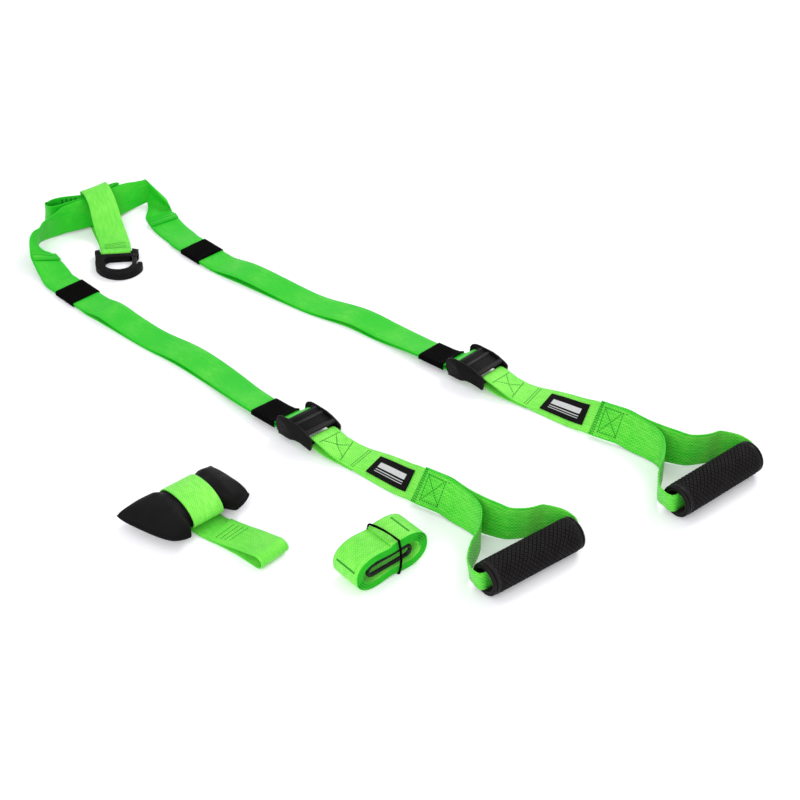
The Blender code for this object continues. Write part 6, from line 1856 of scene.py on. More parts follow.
class TRAINER_OT_buckles(bpy.types.Operator):
    """The two cam buckles: frame, sprung lever with its toothed drum, and pin"""

    bl_idname = "trainer.buckles"
    bl_label = "Cam buckles"

    def frame_piece(self, side, buckle):
        black = finish("plastic")
        outline = [(x * CHEEK_LENGTH, FLOOR_GAP + z * CHEEK_HEIGHT) for x, z in CHEEK_SHARES]
        far, near = (
            prism_piece(name, outline, low, high, black, round_by=CHEEK_ROUND)
            for name, low, high in (
                (f"{side}_buckle_body", INNER_HALF, OUTER_HALF), ("near", -OUTER_HALF, -INNER_HALF),
            )
        )
        sunk = INNER_HALF + CHEEK_THICKNESS / 2
        foot = BASE_LENGTH / 2
        plate = corners_of(-foot, foot, FLOOR_GAP, BASE_TOP)
        base = prism_piece("base", plate, -sunk, sunk, black)
        bar_outline = circle((YOKE_BAR_X, YOKE_BAR_HEIGHT), YOKE_BAR_RADIUS)
        bar = prism_piece("bar", bar_outline, -sunk, sunk, black)
        carve(far, [near, base, bar], "UNION")
        through = OUTER_HALF + OVERRUN
        hole_outline = circle((0, PIN_HEIGHT), PIN_RADIUS + RUNNING_GAP)
        hole = prism_piece("hole", hole_outline, -through, through, black)
        socket_reach = INNER_HALF + LOCK_SOCKET
        socket_outline = circle((LOCK_X, LOCK_Z), LOCK_RADIUS + RUNNING_GAP)
        socket = prism_piece("socket", socket_outline, -socket_reach, socket_reach, black)
        carve(far, [hole, socket], "DIFFERENCE")
        far.data.transform(buckle)
        return dress(far, "base", "moulded_plastic", f"{side}_buckle_frame")

    def lever_piece(self, side, buckle):
        black = finish("plastic")
        arm, under = lever_arm_outline()
        inside = WEB_WIDTH / 2 + ARM_ROOM
        outside = inside + ARM_THICKNESS
        top = [(x / 1000, under(x / 1000) + z / 1000) for x, z in PLATE_TOP_MM]
        plate = top + [(LEVER_FRONT - 0.0008, under(LEVER_FRONT)), (PLATE_BACK, under(PLATE_BACK))]
        lever = prism_piece(
            f"{side}_lever", plate, -outside, outside, black, round_by=LEVER_ROUND, segments=2
        )
        left = prism_piece("left_arm", arm, inside, outside, black)
        right = prism_piece("right_arm", arm, -outside, -inside, black)
        drum = prism_piece(
            "drum", drum_outline(), -inside - ARM_THICKNESS / 2, inside - SPRING_BAY, black
        )
        carve(lever, [left, right, drum], "UNION")
        through = outside + OVERRUN
        bore = prism_piece(
            "bore", circle((0, 0), PIN_RADIUS + RUNNING_GAP), -through, through, black
        )
        carve(lever, [bore], "DIFFERENCE")
        lever.data.transform(buckle @ Matrix.Translation((0, 0, PIN_HEIGHT)))
        return dress(lever, f"{side}_cam_lever", "moulded_plastic", f"{side}_cam_lever")

    def pin_piece(self, side, buckle):
        reach, radius = OUTER_HALF - PIN_RECESS, PIN_RADIUS
        profile = [
            (-reach + 0.0007, radius * 0.34), (-reach, radius * 0.42), (-reach, radius * 0.86),
            (-reach + BOSS_ROUND, radius), (reach - BOSS_ROUND, radius), (reach, radius * 0.86),
            (reach, radius * 0.42), (reach - 0.0007, radius * 0.34),
        ]
        turned = Matrix.Rotation(math.pi / 2, 4, "Z")
        where = buckle @ Matrix.Translation((0, 0, PIN_HEIGHT)) @ turned
        pin = turned_piece(f"{side}_axle", profile, 32, finish("steel"), where, closed=False)
        return dress(pin, "base", "blackened_steel", f"{side}_cam_pin")

    def execute(self, context):
        for side, buckle in buckle_frames().items():
            self.frame_piece(side, buckle)
            self.lever_piece(side, buckle)
            self.pin_piece(side, buckle)
        return {"FINISHED"}


YOKE_ROWS = (0.0515, 0.0745, 0.0925, 0.0955)  # the yoke's stitch rows; a cross joins the first two
YOKE_CROSS_HALF = 0.0105
LABEL_BORDER = 0.0011  # from the label's edge to its seam
LABEL_PITCH = 0.0017
LABEL_STITCH = (0.0013, 0.0004, 0.0003)  # length, width, height


class TRAINER_OT_yokes(bpy.types.Operator):
    """Each arm's yoke: webbing from the buckle's bar to the handle, its seams and its label"""

    bl_idname = "trainer.yokes"
    bl_label = "Yokes and labels"

    def execute(self, context):
        for side, arm in arm_frames().items():
            dense = yoke_route(arm, buckle_frames()[side])
            points = to_world(arm, dense[:, :3])
            hints = [direction(arm, hint) for hint in dense[:, 3:]]
            strap = Strap(points, hints, WEB_WIDTH, WEB_THICKNESS)
            lay(
                f"{side}_yoke_strap", strap, "yoke", "base", "webbing", "folded",
                f"{side}_yoke_webbing"
            )
            self.sew_yoke(side, arm, strap)
            lift = WEB_THICKNESS / 2 + LABEL_ROOM + LABEL_THICKNESS / 2
            start, end = LABEL_X - LABEL_LENGTH / 2, LABEL_X + LABEL_LENGTH / 2 + LABEL_EXTRA
            rows = layer_over(dense, lift, start, end, 12)
            middle = to_world(arm, [row[:3] for row in rows])
            across = [direction(arm, row[3:]) for row in rows]
            label = Strap(middle, across, LABEL_WIDTH, LABEL_THICKNESS)
            lay(
                f"{side}_woven_label", label, "label", "base", "label_cloth", "laid",
                f"{side}_label"
            )
            half, reach = LABEL_WIDTH / 2 - LABEL_BORDER, label.length - LABEL_BORDER
            face = upward(label, reach / 2)
            border = label.box_seam(LABEL_BORDER, reach, half, face, False, LABEL_PITCH)
            sew(f"{side}_label_stitches", border, finish("dark_thread"), "base", *LABEL_STITCH)
        return {"FINISHED"}

    def sew_yoke(self, side, arm, strap):
        inverse = arm.inverted()
        local = np.array([inverse @ Vector(point) for point in strap.points])
        last = max(k for k in range(1, len(local)) if local[k][0] < local[k - 1][0])

        def run_at(x):
            return float(np.interp(x, local[last:, 0], strap.run[last:]))

        face = upward(strap, run_at(0.1))
        runs = [run_at(x) for x in YOKE_ROWS]
        sewn = strap.rows(runs, SEAM_HALF, face)
        for sign in (-1, 1):
            half = sign * YOKE_CROSS_HALF
            sewn += strap.seam((runs[0], half), (runs[1], -half), face)
        sew_green(f"{side}_yoke_stitches", sewn)


HANDLE_BOX = (0.0090, 0.0310, 0.0140)  # the crossed box: from, to, half width
HANDLE_ROWS = (0.0016, 0.0032, 0.0048)
HANDLE_SEAM_HALF = 0.0180
HANDLE_THREAD_END = (0.0345, 0.0150)  # the box's last stitches run out to here


class TRAINER_OT_handle_straps(bpy.types.Operator):
    """The coarse webbing of each stirrup, from the seam round through the grip and back"""

    bl_idname = "trainer.handle_straps"
    bl_label = "Handle straps"

    def execute(self, context):
        for side, arm in arm_frames().items():
            dense = smooth_rows(handle_rows(yoke_route(arm, buckle_frames()[side])), WEB_STEP)
            points = to_world(arm, dense[:, :3])
            hints = [direction(arm, row[3:6]) for row in dense]
            strap = Strap(points, hints, np.minimum(dense[:, 6], HANDLE_WIDTH), dense[:, 7])
            lay(
                f"{side}_handle_strap", strap, "handle", "base", "handle_webbing", "folded",
                f"{side}_handle_webbing",
            )
            face = upward(strap, 0.02)
            low, high, half = HANDLE_BOX
            sewn = strap.box_seam(low, high, half, face)
            sewn += strap.rows(HANDLE_ROWS, HANDLE_SEAM_HALF, face)
            sewn += strap.seam((high, half), HANDLE_THREAD_END, face)
            sew_green(f"{side}_handle_stitches", sewn)
        return {"FINISHED"}


def knurl_tree():
    """A round sleeve along X with raised diamonds, smooth towards both ends."""
    graph, wires, identifiers = geometry_tree(
        "Knurl", ("Length", "Radius", "Depth", "Plain band"), ("Along", "Around", "Rows", "Columns")
    )
    grid = graph.node(
        "GeometryNodeMeshGrid", None,
        {"Size X": 1.0, "Size Y": 1.0, "Vertices X": wires["Columns"], "Vertices Y": wires["Rows"]},
    )
    place = graph.node("GeometryNodeInputPosition")
    x, y, _ = graph.node("ShaderNodeSeparateXYZ", None, {0: place}, ("X", "Y", "Z"))

    def from_line(value):
        """How far the value is from a whole number."""
        part = graph.maths("FRACT", value)
        return 0.5 - graph.size_of(part - 0.5)

    across, along = y * wires["Around"], x * wires["Along"]
    near = graph.lowest(from_line(across + along + 60.0), from_line(across - along + 60.0))
    raised = graph.ease(near, 0.035, 0.125)
    inward = 0.5 * wires["Length"] - graph.size_of(x * wires["Length"])
    plain = 1.0 - graph.ease(inward, wires["Plain band"] * 0.8, wires["Plain band"])
    height = graph.highest(raised, plain * 0.6)
    radius = wires["Radius"] - wires["Depth"] * (1.0 - height)
    angle = y * math.tau
    spots = {
        "X": x * wires["Length"], "Y": radius * graph.maths("COSINE", angle),
        "Z": radius * graph.sine(angle),
    }
    wrapped = graph.node(
        "GeometryNodeSetPosition", None,
        {"Geometry": grid, "Position": graph.node("ShaderNodeCombineXYZ", None, spots)},
    )
    joined = graph.node(
        "GeometryNodeMergeByDistance", None, {"Geometry": wrapped, "Distance": 0.00001}
    )
    close_tree(graph, joined, wires["Finish"])
    return graph.tree, identifiers


class TRAINER_OT_grips(bpy.types.Operator):
    """Each grip: knurled rubber sleeve and two grooved end caps on a tube"""

    bl_idname = "trainer.grips"
    bl_label = "Grips"

    def sleeve(self, context, side, where):
        sizes = context.scene.trainer_sizes
        half = GRIP_LENGTH / 2 - CAP_LENGTH - GAP
        cut = SLEEVE_CHAMFER
        made = link("sleeve", bpy.data.meshes.new("sleeve"))
        tree, identifiers = made_trees("Knurl", knurl_tree)
        values = {
            "Length": 2 * (half - cut), "Radius": GRIP_RADIUS, "Depth": sizes.knurl_depth,
            "Plain band": sizes.grip_band, "Along": sizes.knurls_along,
            "Around": sizes.knurls_around,
            "Rows": 12 * sizes.knurls_around + 1, "Columns": 10 * sizes.knurls_along + 1,
            "Finish": finish("rubber"),
        }
        piece = bake(
            run_tree(made, tree, identifiers, values), f"{side}_rubber_sleeve", finish("rubber")
        )
        bm = bmesh.new()
        bm.from_mesh(piece.data)
        inner = BORE_RADIUS + CORE_WALL + GAP
        rims = []
        for sign in (-1, 1):
            ring = [v for v in bm.verts if v.is_boundary and v.co.x * sign > 0]
            ring.sort(key=lambda v: math.atan2(v.co.z, v.co.y))
            for x, radius in (
                (half - 0.4 * cut, GRIP_RADIUS - 0.35 * cut), (half, GRIP_RADIUS - cut),
                (half, inner),
            ):
                grown = []
                for vert in ring:
                    turn = math.hypot(vert.co.y, vert.co.z)
                    y, z = vert.co.y / turn * radius, vert.co.z / turn * radius
                    grown.append(bm.verts.new((sign * x, y, z)))
                skin_rings(bm, [ring, grown], first=1)
                ring = grown
            rims.append(ring)
        skin_rings(bm, rims, first=1)
        bmesh.ops.transform(bm, matrix=where, verts=bm.verts)
        bmesh.ops.recalc_face_normals(bm, faces=bm.faces)
        bm.to_mesh(piece.data)
        bm.free()
        piece.data.shade_smooth()
        piece.data.set_sharp_from_angle(angle=math.radians(60))
        dress(piece, f"{side}_grip", "grip_rubber", f"{side}_grip_sleeve")

    def caps(self, side, where):
        half, inner = GRIP_LENGTH / 2, BORE_RADIUS + CORE_WALL + GAP
        radius = GRIP_RADIUS - CAP_INSET
        seat = half - CAP_LENGTH / 2 + GAP
        start = half - CAP_LENGTH
        outside = [
            (start, radius - 0.0005), (start + 0.0004, radius), (half - 0.0038, radius),
            (half - 0.0034, radius - 0.0007), (half - 0.0028, radius - 0.0007),
            (half - 0.0024, radius),
            (half - 0.0010, radius - 0.0001), (half - 0.0004, radius - 0.0005),
            (half, radius - 0.0013),
        ]
        face = [
            (half, 0.93 * radius - 0.0006), (half - 0.0006, 0.90 * radius),
            (half - 0.0006, 0.86 * radius),
            (half, 0.84 * radius), (half, BORE_RADIUS + 0.0006), (half - 0.0006, BORE_RADIUS),
        ]
        profile = [(start, inner)] + outside + face + [(seat, BORE_RADIUS), (seat, inner)]
        for end, sign in (("near", -1), ("far", 1)):
            cap = turned_piece(
                f"{side}_{end}_grip_cap", [(sign * a, r) for a, r in profile], 72,
                finish("plastic"), where
            )
            dress(cap, f"{side}_grip", "moulded_plastic", f"{side}_{end}_cap")

    def execute(self, context):
        for side, arm in arm_frames().items():
            where = grip_frame(arm)
            self.sleeve(context, side, where)
            self.caps(side, where)
        return {"FINISHED"}


def softened(outline, rounds=1, share=0.22):
    """The closed outline with its corners cut, once or more."""
    for _ in range(rounds):
        cut = []
        for k, (a, b) in enumerate(outline):
            c, d = outline[(k + 1) % len(outline)]
            cut += [
                (a + (c - a) * share, b + (d - b) * share),
                (c + (a - c) * share, d + (b - d) * share)
            ]
        outline = cut
    return outline


HOOK_ROUND = 0.0013
GATE_ROUND = 0.0006
GATE_TIP_CUT = 0.0012


class TRAINER_OT_hook(bpy.types.Operator):
    """The snap hook's body and its sprung gate"""

    bl_idname = "trainer.hook"
    bl_label = "Snap hook"

    def execute(self, context):
        black = finish("hook")
        where = yaw_frame(plan(HOOK_SHARES), HOOK_YAW)
        top = HOOK_FLOOR_GAP + HOOK_THICKNESS
        outline = softened([(x * HOOK_LENGTH, y * HOOK_LENGTH) for x, y in HOOK_OUTLINE_SHARES])
        body = prism_piece(
            "hook_casting", outline, HOOK_FLOOR_GAP, top, black, axis="Z", round_by=HOOK_ROUND,
            segments=4
        )
        half = HOOK_SLOT_WIDTH / 2
        corners = corners_of(-HOOK_LENGTH / 4, HOOK_SLOT_REACH, -half, half)
        slot = prism_piece("slot", corners, -OVERRUN, top + OVERRUN, black, axis="Z")
        high = GATE_BOTTOM + GATE_THICKNESS + GATE_SLOT_ROOM / 2
        low = GATE_BOTTOM - GATE_SLOT_ROOM / 2
        eye = GATE_WIDTH / 2
        pocket = prism_piece("pocket", gate_pocket(), low, high, black, axis="Z")
        room = GATE_PIN_RADIUS + RUNNING_GAP
        hole_outline = circle((GATE_PIN_X, GATE_PIN_Y), room)
        hole = prism_piece("hole", hole_outline, -OVERRUN, top + OVERRUN, black, axis="Z")
        carve(body, [slot, pocket, hole], "DIFFERENCE")
        reach = half + HOOK_CHAMFER
        bar = prism_piece("bar", circle((0, HOOK_AXIS_Z), HOOK_BAR_RADIUS), -reach, reach, black)
        carve(body, [bar], "UNION")
        body.data.transform(where)
        dress(body, "hook", "moulded_plastic", "hook_body")

        tip = GATE_TIP_X - GATE_PIN_X
        outline = arc((0, 0), eye, 90, 270, 14)
        outline += [(tip - GATE_TIP_CUT, -eye), (tip, -eye + GATE_TIP_CUT)]
        outline += [(tip, eye - GATE_TIP_CUT), (tip - GATE_TIP_CUT, eye)]
        gate_top = GATE_BOTTOM + GATE_THICKNESS
        gate = prism_piece(
            "hook_tongue", outline, GATE_BOTTOM, gate_top, black, axis="Z", round_by=GATE_ROUND
        )
        eye_top = GATE_BOTTOM + GATE_EYE_HEIGHT
        corners = corners_of(-2 * eye, eye + GATE_SLOT_ROOM, -2 * eye, 2 * eye)
        relief = prism_piece("relief", corners, eye_top, 2 * gate_top, black, axis="Z")
        bore = prism_piece(
            "bore", circle((0, 0), room), -OVERRUN, gate_top + OVERRUN, black, axis="Z"
        )
        carve(gate, [relief, bore], "DIFFERENCE")
        gate.data.transform(where @ Matrix.Translation((GATE_PIN_X, GATE_PIN_Y, 0)))
        dress(gate, "hook_gate", "moulded_plastic", "hook_gate")
        return {"FINISHED"}


# How far the stuffing pushes the skins out beyond the seam, below and above it
PAD_LOWER_SWELL = 0.0042
PAD_UPPER_SWELL = 0.0018
FAN_CREASE = 0.00055
SOFT_CREASE = 0.00050


def stuffed_point(u, v, skin):
    """A point of the pad's skin, puffed beyond its webbing, with one corner drawn to an ear."""
    x, y, z = pad_point(u, v, skin)
    free = min(1.0, max(0.0, (abs(x - PAD_WRAP_X) - WEB_WIDTH / 2 - 0.002) / 0.010))
    free = free * free * (3 - 2 * free)
    corner = (u * v) ** 4
    ear = ((1 + u) / 2 * (1 + v) / 2) ** 14
    x += free * (0.07 * (1 - v * v) * u - 0.03 * corner * u) * PAD_LENGTH / 2 + 0.0035 * ear
    bulge = (0.15 - 0.13 * v) * (1 - u**4) * v - 0.04 * corner * v
    y += free * bulge * PAD_WIDTH / 2 + 0.0040 * ear
    domed = (1 - abs(u) ** 3.4) * (1 - abs(v) ** 3.2)
    share = PAD_UPPER_SHARE if skin > 0 else 1 - PAD_UPPER_SHARE
    reach = PAD_MIDDLE + skin * (PAD_HEIGHT * share * max(0.0, domed) ** 0.5 + PAD_SEAM / 2)
    if skin:
        z += free * (max(reach, z) - z if skin > 0 else min(reach, z) - z)
        drop = min(1.0, abs(z - PAD_MIDDLE) / (PAD_MIDDLE if skin < 0 else PAD_HEIGHT * share))
        most = PAD_LOWER_SWELL if skin < 0 else PAD_UPPER_SWELL
        swell = free * math.sin(math.pi * drop**0.6) * most
        x += swell * u**9
        y += swell * v**9
    return x, y, max(z, FLOOR_GAP)


def pad_creases(x, y, z, u, v):
    """How far the cloth lifts off the smooth pad, in folds that fan out from the webbing."""
    away = abs(x - PAD_WRAP_X) - WEB_WIDTH / 2
    if away < 0 or abs(u) == 1 or abs(v) == 1:
        return 0.0
    seam = (1 - u * u) * (1 - v * v)
    start = min(1.0, away / 0.003)
    fan = math.sin(y * 420 + 1.7 * math.sin(x * 90)) * math.exp(-away / 0.011) * start
    soft = math.sin(x * 150 + y * 70) * math.sin(y * 160 - x * 55 + 1.3)
    return (FAN_CREASE * fan + SOFT_CREASE * soft) * min(1.0, 5 * seam)


TAIL_LIFT = TAIL_RISE + 0.0045  # the open loop stands higher than the simple part's
ANCHOR_TAIL_ROWS = (0.0050, 0.0105, 0.0160, 0.0215)  # its stitch rows, from the pad's side
PIPING_POINTS = 60  # along each side of the pad
PIPING_SIDES = 10


class TRAINER_OT_door_anchor(bpy.types.Operator):
    """The stuffed pad with its piped seam, the webbing round it and the doubled tail"""

    bl_idname = "trainer.door_anchor"
    bl_label = "Door anchor"

    def pad(self, where):
        along, across = 4 * PAD_STEPS[0], 4 * PAD_STEPS[1]
        bm = bmesh.new()
        skins = {}
        for skin in (1, -1):
            for i in range(along + 1):
                for j in range(across + 1):
                    u = round(-math.cos(math.pi * i / along), 9)
                    v = round(-math.cos(math.pi * j / across), 9)
                    x, y, z = stuffed_point(u, v, skin)
                    puff = pad_creases(x, y, z, u, v) if skin > 0 else 0.0
                    skins[skin, i, j] = bm.verts.new((x, y, z + puff))
            for i in range(along):
                for j in range(across):
                    square = ((i, j), (i + 1, j), (i + 1, j + 1), (i, j + 1))
                    bm.faces.new([skins[skin, *spot] for spot in square])
        border = [(i, 0) for i in range(along)] + [(along, j) for j in range(across)]
        border += [(i, across) for i in range(along, 0, -1)]
        border += [(0, j) for j in range(across, 0, -1)]
        skin_rings(bm, [[skins[skin, *spot] for spot in border] for skin in (1, -1)], first=1)
        bmesh.ops.transform(bm, matrix=where, verts=bm.verts)
        return finish_bmesh("stuffed_pad", bm, finish("pad"), 50.0)

    def piping(self, context, where):
        """A thin cord along the pad's seam, pressed flat where the webbing passes."""
        full = context.scene.trainer_sizes.piping
        border = []
        for k in range(4 * PIPING_POINTS):
            side, share = divmod(k, PIPING_POINTS)
            t = -math.cos(math.pi * share / PIPING_POINTS)
            u, v = ((t, -1.0), (1.0, t), (-t, 1.0), (-1.0, -t))[side]
            border.append(stuffed_point(u, v, 0))
        bm = bmesh.new()
        rings = []
        for k, (x, y, z) in enumerate(border):
            before, after = border[k - 1], border[(k + 1) % len(border)]
            heading = Vector((after[0] - before[0], after[1] - before[1], 0))
            heading = heading.normalized() if heading.length > 1e-9 else Vector((1, 0, 0))
            out = Vector((heading.y, -heading.x, 0))
            radius = full * (1 - 0.72 * pad_waist(x))
            ring = []
            for j in range(PIPING_SIDES):
                angle = math.tau * j / PIPING_SIDES
                away = math.cos(angle) * out + Vector((0, 0, math.sin(angle)))
                ring.append(bm.verts.new(Vector((x, y, z)) + radius * away))
            rings.append(ring)
        skin_rings(bm, rings)
        bmesh.ops.transform(bm, matrix=where, verts=bm.verts)
        return finish_bmesh("pad_piping", bm, finish("pad"), 80.0)

    def tail(self):
        route = smooth_rows([(*plan(xy)[:2], 0.0) for xy in TAIL_PLAN_SHARES], 5)
        tangents, _, _ = section_frames(route, [(0, 0, 1)] * len(route))
        sides = [np.array((-t[1], t[0], 0.0)) for t in tangents]
        lower, upper = [], []
        count = len(route)
        for k, point in enumerate(route):
            share = k / (count - 1)
            lower.append(point + np.array((0, 0, FLAT_Z)))
            rise = LAYER + TAIL_LIFT * max(0.0, (share - 0.45) / 0.55) ** 1.3
            upper.append(point + np.array((0, 0, FLAT_Z + rise)))
        centre_z = (lower[-1][2] + upper[-1][2]) / 2
        bend = (upper[-1][2] - lower[-1][2]) / 2
        turn = []
        for k in range(1, 8):
            angle = -math.pi / 2 + math.pi * k / 8
            spot = route[-1] + tangents[-1] * 1.3 * bend * math.cos(angle)
            turn.append(np.array((spot[0], spot[1], centre_z + bend * math.sin(angle))))
        clear = 0.59 * PAD_WIDTH
        back = [
            k for k in reversed(range(count))
            if (Vector(upper[k]) - plan(PAD_SHARES)).length > clear
        ]
        path = lower + turn + [upper[k] for k in back]
        hints = sides + [sides[-1]] * len(turn) + [sides[k] for k in back]
        strap = Strap(path, hints, WEB_WIDTH, WEB_THICKNESS)
        lay("anchor_tail_strap", strap, "anchor", "door_anchor", "webbing", "folded", "anchor_tail")
        face = upward(strap, strap.length - 0.01)
        sewn = []
        for k, inward in enumerate(ANCHOR_TAIL_ROWS):
            run = strap.length - inward
            sewn += strap.seam((run, -0.0125 + 0.001 * k), (run - 0.003, 0.0115 + 0.001 * k), face)
        sew_green("anchor_tail_stitches", sewn, "door_anchor")

    def execute(self, context):
        where = yaw_frame(plan(PAD_SHARES), PAD_YAW)
        pad = dress(self.pad(where), "door_anchor", "pad_cloth", "anchor_pad")
        piping = dress(self.piping(context, where), "door_anchor", "pad_cloth")
        piping.parent = pad.parent
        points = to_world(where, [(PAD_WRAP_X, y, z) for y, z in wrap_ring()])
        hint = direction(where, (1, 0, 0))
        strap = Strap(points, [hint] * len(points), WEB_WIDTH, WEB_THICKNESS, closed=True)
        lay(
            "anchor_wrap_strap", strap, "wrap", "door_anchor", "webbing", "stretched",
            "anchor_wrap",
            rests_on=["stuffed_pad"],
        )
        self.tail()
        return {"FINISHED"}


# The roll's two stitch rows: on its top at TOP_ROW_X, and on its left end at END_ROW_Z
TOP_ROW_X = 0.026
END_ROW_Z = 0.027
ROW_REACH = 0.002
ROLL_TWIN = 0.0012
ROLL_SEAM_HALF = 0.0130


class TRAINER_OT_rolled_strap(bpy.types.Operator):
    """The extension strap in its roll, with its stitch rows and the elastic band round it"""

    bl_idname = "trainer.rolled_strap"
    bl_label = "Rolled strap"

    def execute(self, context):
        where = yaw_frame(plan(ROLL_SHARES), ROLL_YAW)
        height = roll_centre_height()
        least = FLOOR_GAP + WEB_THICKNESS / 2
        points = to_world(where, [(x, 0.0, max(z + height, least)) for x, z in roll_side()])
        strap = Strap(points, [direction(where, (0, 1, 0))] * len(points), WEB_WIDTH, WEB_THICKNESS)
        lay("extension_strap", strap, "rolled", "rolled_strap", "webbing", "folded", "rolled_strap")
        inverse = where.inverted()
        local = np.array([inverse @ Vector(point) for point in strap.points])
        top = [k for k, spot in enumerate(local) if abs(spot[0] - TOP_ROW_X) < ROW_REACH]
        left = [
            k for k, spot in enumerate(local)
            if abs(spot[2] - END_ROW_Z) < ROW_REACH and spot[0] < 0
        ]
        sewn = []
        for pick in (max(top, key=lambda k: local[k][2]), min(left, key=lambda k: local[k][0])):
            run = float(strap.run[pick])
            face = upward(strap, run)
            sewn += strap.rows((run, run + ROLL_TWIN), ROLL_SEAM_HALF, face, TACK_PITCH)
        sew_green("extension_strap_stitches", sewn, "rolled_strap")
        self.band(where, height)
        return {"FINISHED"}

    def band(self, where, height):
        side = roll_side()
        heights = []
        reach = BAND_WIDTH + BAND_SKEW * WEB_WIDTH / 2
        for first, second in zip(side, side[1:]):
            left, right = sorted((first[0], second[0]))
            if left < BAND_X + reach and right > BAND_X - reach:
                heights += [first[1], second[1]]
        room = WEB_THICKNESS / 2 + 3 * GAP + BAND_THICKNESS / 2
        top, bottom = height + max(heights) + room, height + min(heights) - room
        half = WEB_WIDTH / 2 + GAP + BAND_THICKNESS / 2
        corner = 1.6 * BAND_THICKNESS
        ring = []
        for cy, cz, start in ((1, 1, 0), (-1, 1, 90), (-1, -1, 180), (1, -1, 270)):
            middle = (cy * (half - corner), (top if cz > 0 else bottom) - cz * corner)
            ring += arc(middle, corner, start, start + 90, 3)
        points = to_world(where, [(BAND_X - BAND_SKEW * y, y, z) for y, z in ring])
        hint = direction(where, (1, 0, 0))
        strap = Strap(
            points, [hint] * len(points), BAND_WIDTH, BAND_THICKNESS, closed=True, fineness=4
        )
        piece = strap_piece(
            "elastic_loop", strap, finish("elastic"), [(-1.0, 0.0), (-0.9, 0.62), (-0.6, 0.95)]
        )
        dress(piece, "rolled_strap", "keeper_elastic", "elastic_band")


class TRAINER_OT_carabiner(bpy.types.Operator):
    """The oval link in the roll's hollow, with its gate on a rivet"""

    bl_idname = "trainer.carabiner"
    bl_label = "Carabiner"

    def execute(self, context):
        steel = finish("steel")
        roll = yaw_frame(plan(ROLL_SHARES), ROLL_YAW)
        half_long = CARABINER_LENGTH / 2 - CARABINER_ROD
        half_high = CARABINER_HEIGHT / 2 - CARABINER_ROD
        straight = half_long - half_high
        hinge, tip = 0.80 * straight, -0.72 * straight
        drop = roll_centre_height() - CARABINER_DROP
        centre = roll @ Matrix.Translation((0, -WEB_WIDTH / 2 + CARABINER_SETBACK, drop))
        side = [(hinge - CARABINER_ROD, half_high), (hinge + CARABINER_ROD, half_high)]
        side += arc((straight, 0), half_high, 80, -90, 20)
        side += arc((-straight, 0), half_high, 270, 90, 20)
        side += [(tip, half_high)]
        body = wire_piece("link_body", [(x, 0.0, z) for x, z in side], CARABINER_ROD, 20, steel)
        fork = FORK_WIDTH / 2
        low, high = 0.4 * half_high, half_high + 2 * CARABINER_ROD
        left, right = hinge - 2 * CARABINER_ROD, hinge + CARABINER_ROD
        slot = prism_piece("slot", corners_of(left, right, low, high), -fork, fork, steel)
        reach = CARABINER_ROD + OVERRUN
        rivet = GATE_RIVET + RUNNING_GAP
        bore = prism_piece("bore", circle((hinge, half_high), rivet, 12), -reach, reach, steel)
        carve(body, [slot, bore], "DIFFERENCE")
        body.data.transform(centre)
        dress(body, "rolled_strap", "blackened_steel", "carabiner_body")

        rod = 0.86 * CARABINER_ROD
        shoulder = -CARABINER_ROD - CARABINER_GATE_GAP
        tongue = fork - GAP
        gate_tip = tip + CARABINER_GATE_GAP - hinge
        middle = [(gate_tip + (shoulder - gate_tip) * k / 6, 0.0, 0.0) for k in range(7)]
        gate = wire_piece("link_gate", middle, rod, 20, steel)
        eye = circle((0, 0), 0.7 * CARABINER_ROD, 16)
        knuckle = prism_piece("knuckle", eye, -tongue, tongue, steel)
        left, low = shoulder - rod, 0.5 * CARABINER_ROD
        neck = prism_piece("neck", corners_of(left, 0, -low, low), -tongue, tongue, steel)
        carve(gate, [knuckle, neck], "UNION")
        hole = prism_piece("hole", circle((0, 0), rivet, 12), -reach, reach, steel)
        carve(gate, [hole], "DIFFERENCE")
        gate.data.transform(centre @ Matrix.Translation((hinge, 0, half_high)))
        dress(gate, "carabiner_gate", "blackened_steel", "carabiner_gate")
        return {"FINISHED"}


class TRAINER_OT_kept_parts(bpy.types.Operator):
    """Finishes for the frame's own parts, shown as they are: bars, springs, pins and tubes"""

    bl_idname = "trainer.kept_parts"
    bl_label = "Kept parts"

    def execute(self, context):
        looks = {
            "lock_bar": "steel", "cam_spring": "steel", "grip_core": "plastic",
            "hook_gate_pin": "steel",
            "hook_gate_spring": "steel", "carabiner_gate_pin": "steel",
        }
        for name, node in frame["nodes"].items():
            if node.hide_render:
                continue
            look = next((value for part, value in looks.items() if name.endswith(part)), None)
            if look is None:
                raise RuntimeError(f"no finish for the frame's part {name}")
            for slot in node.material_slots:
                slot.material = finish(look)
            if not node.material_slots:
                node.data.materials.append(finish(look))
        return {"FINISHED"}


FLOOR_REACH = 6.0  # how far the floor runs to the front and to each side
BEND_Y = 2.4  # where it turns up
BEND_RADIUS = 1.2
BACKDROP_HEIGHT = 4.0
FLOOR_GLOW = 0.10  # lifts the floor for the camera alone
LAMPS = {"key": ((1.25, 1.25, 1.75), 1.1), "front": ((-0.7, -1.9, 1.1), 1.6)}  # place and size
CAMERA_AIM = (0.039285, -0.06024, 0.0)
CAMERA_DOWN = math.radians(37.0)


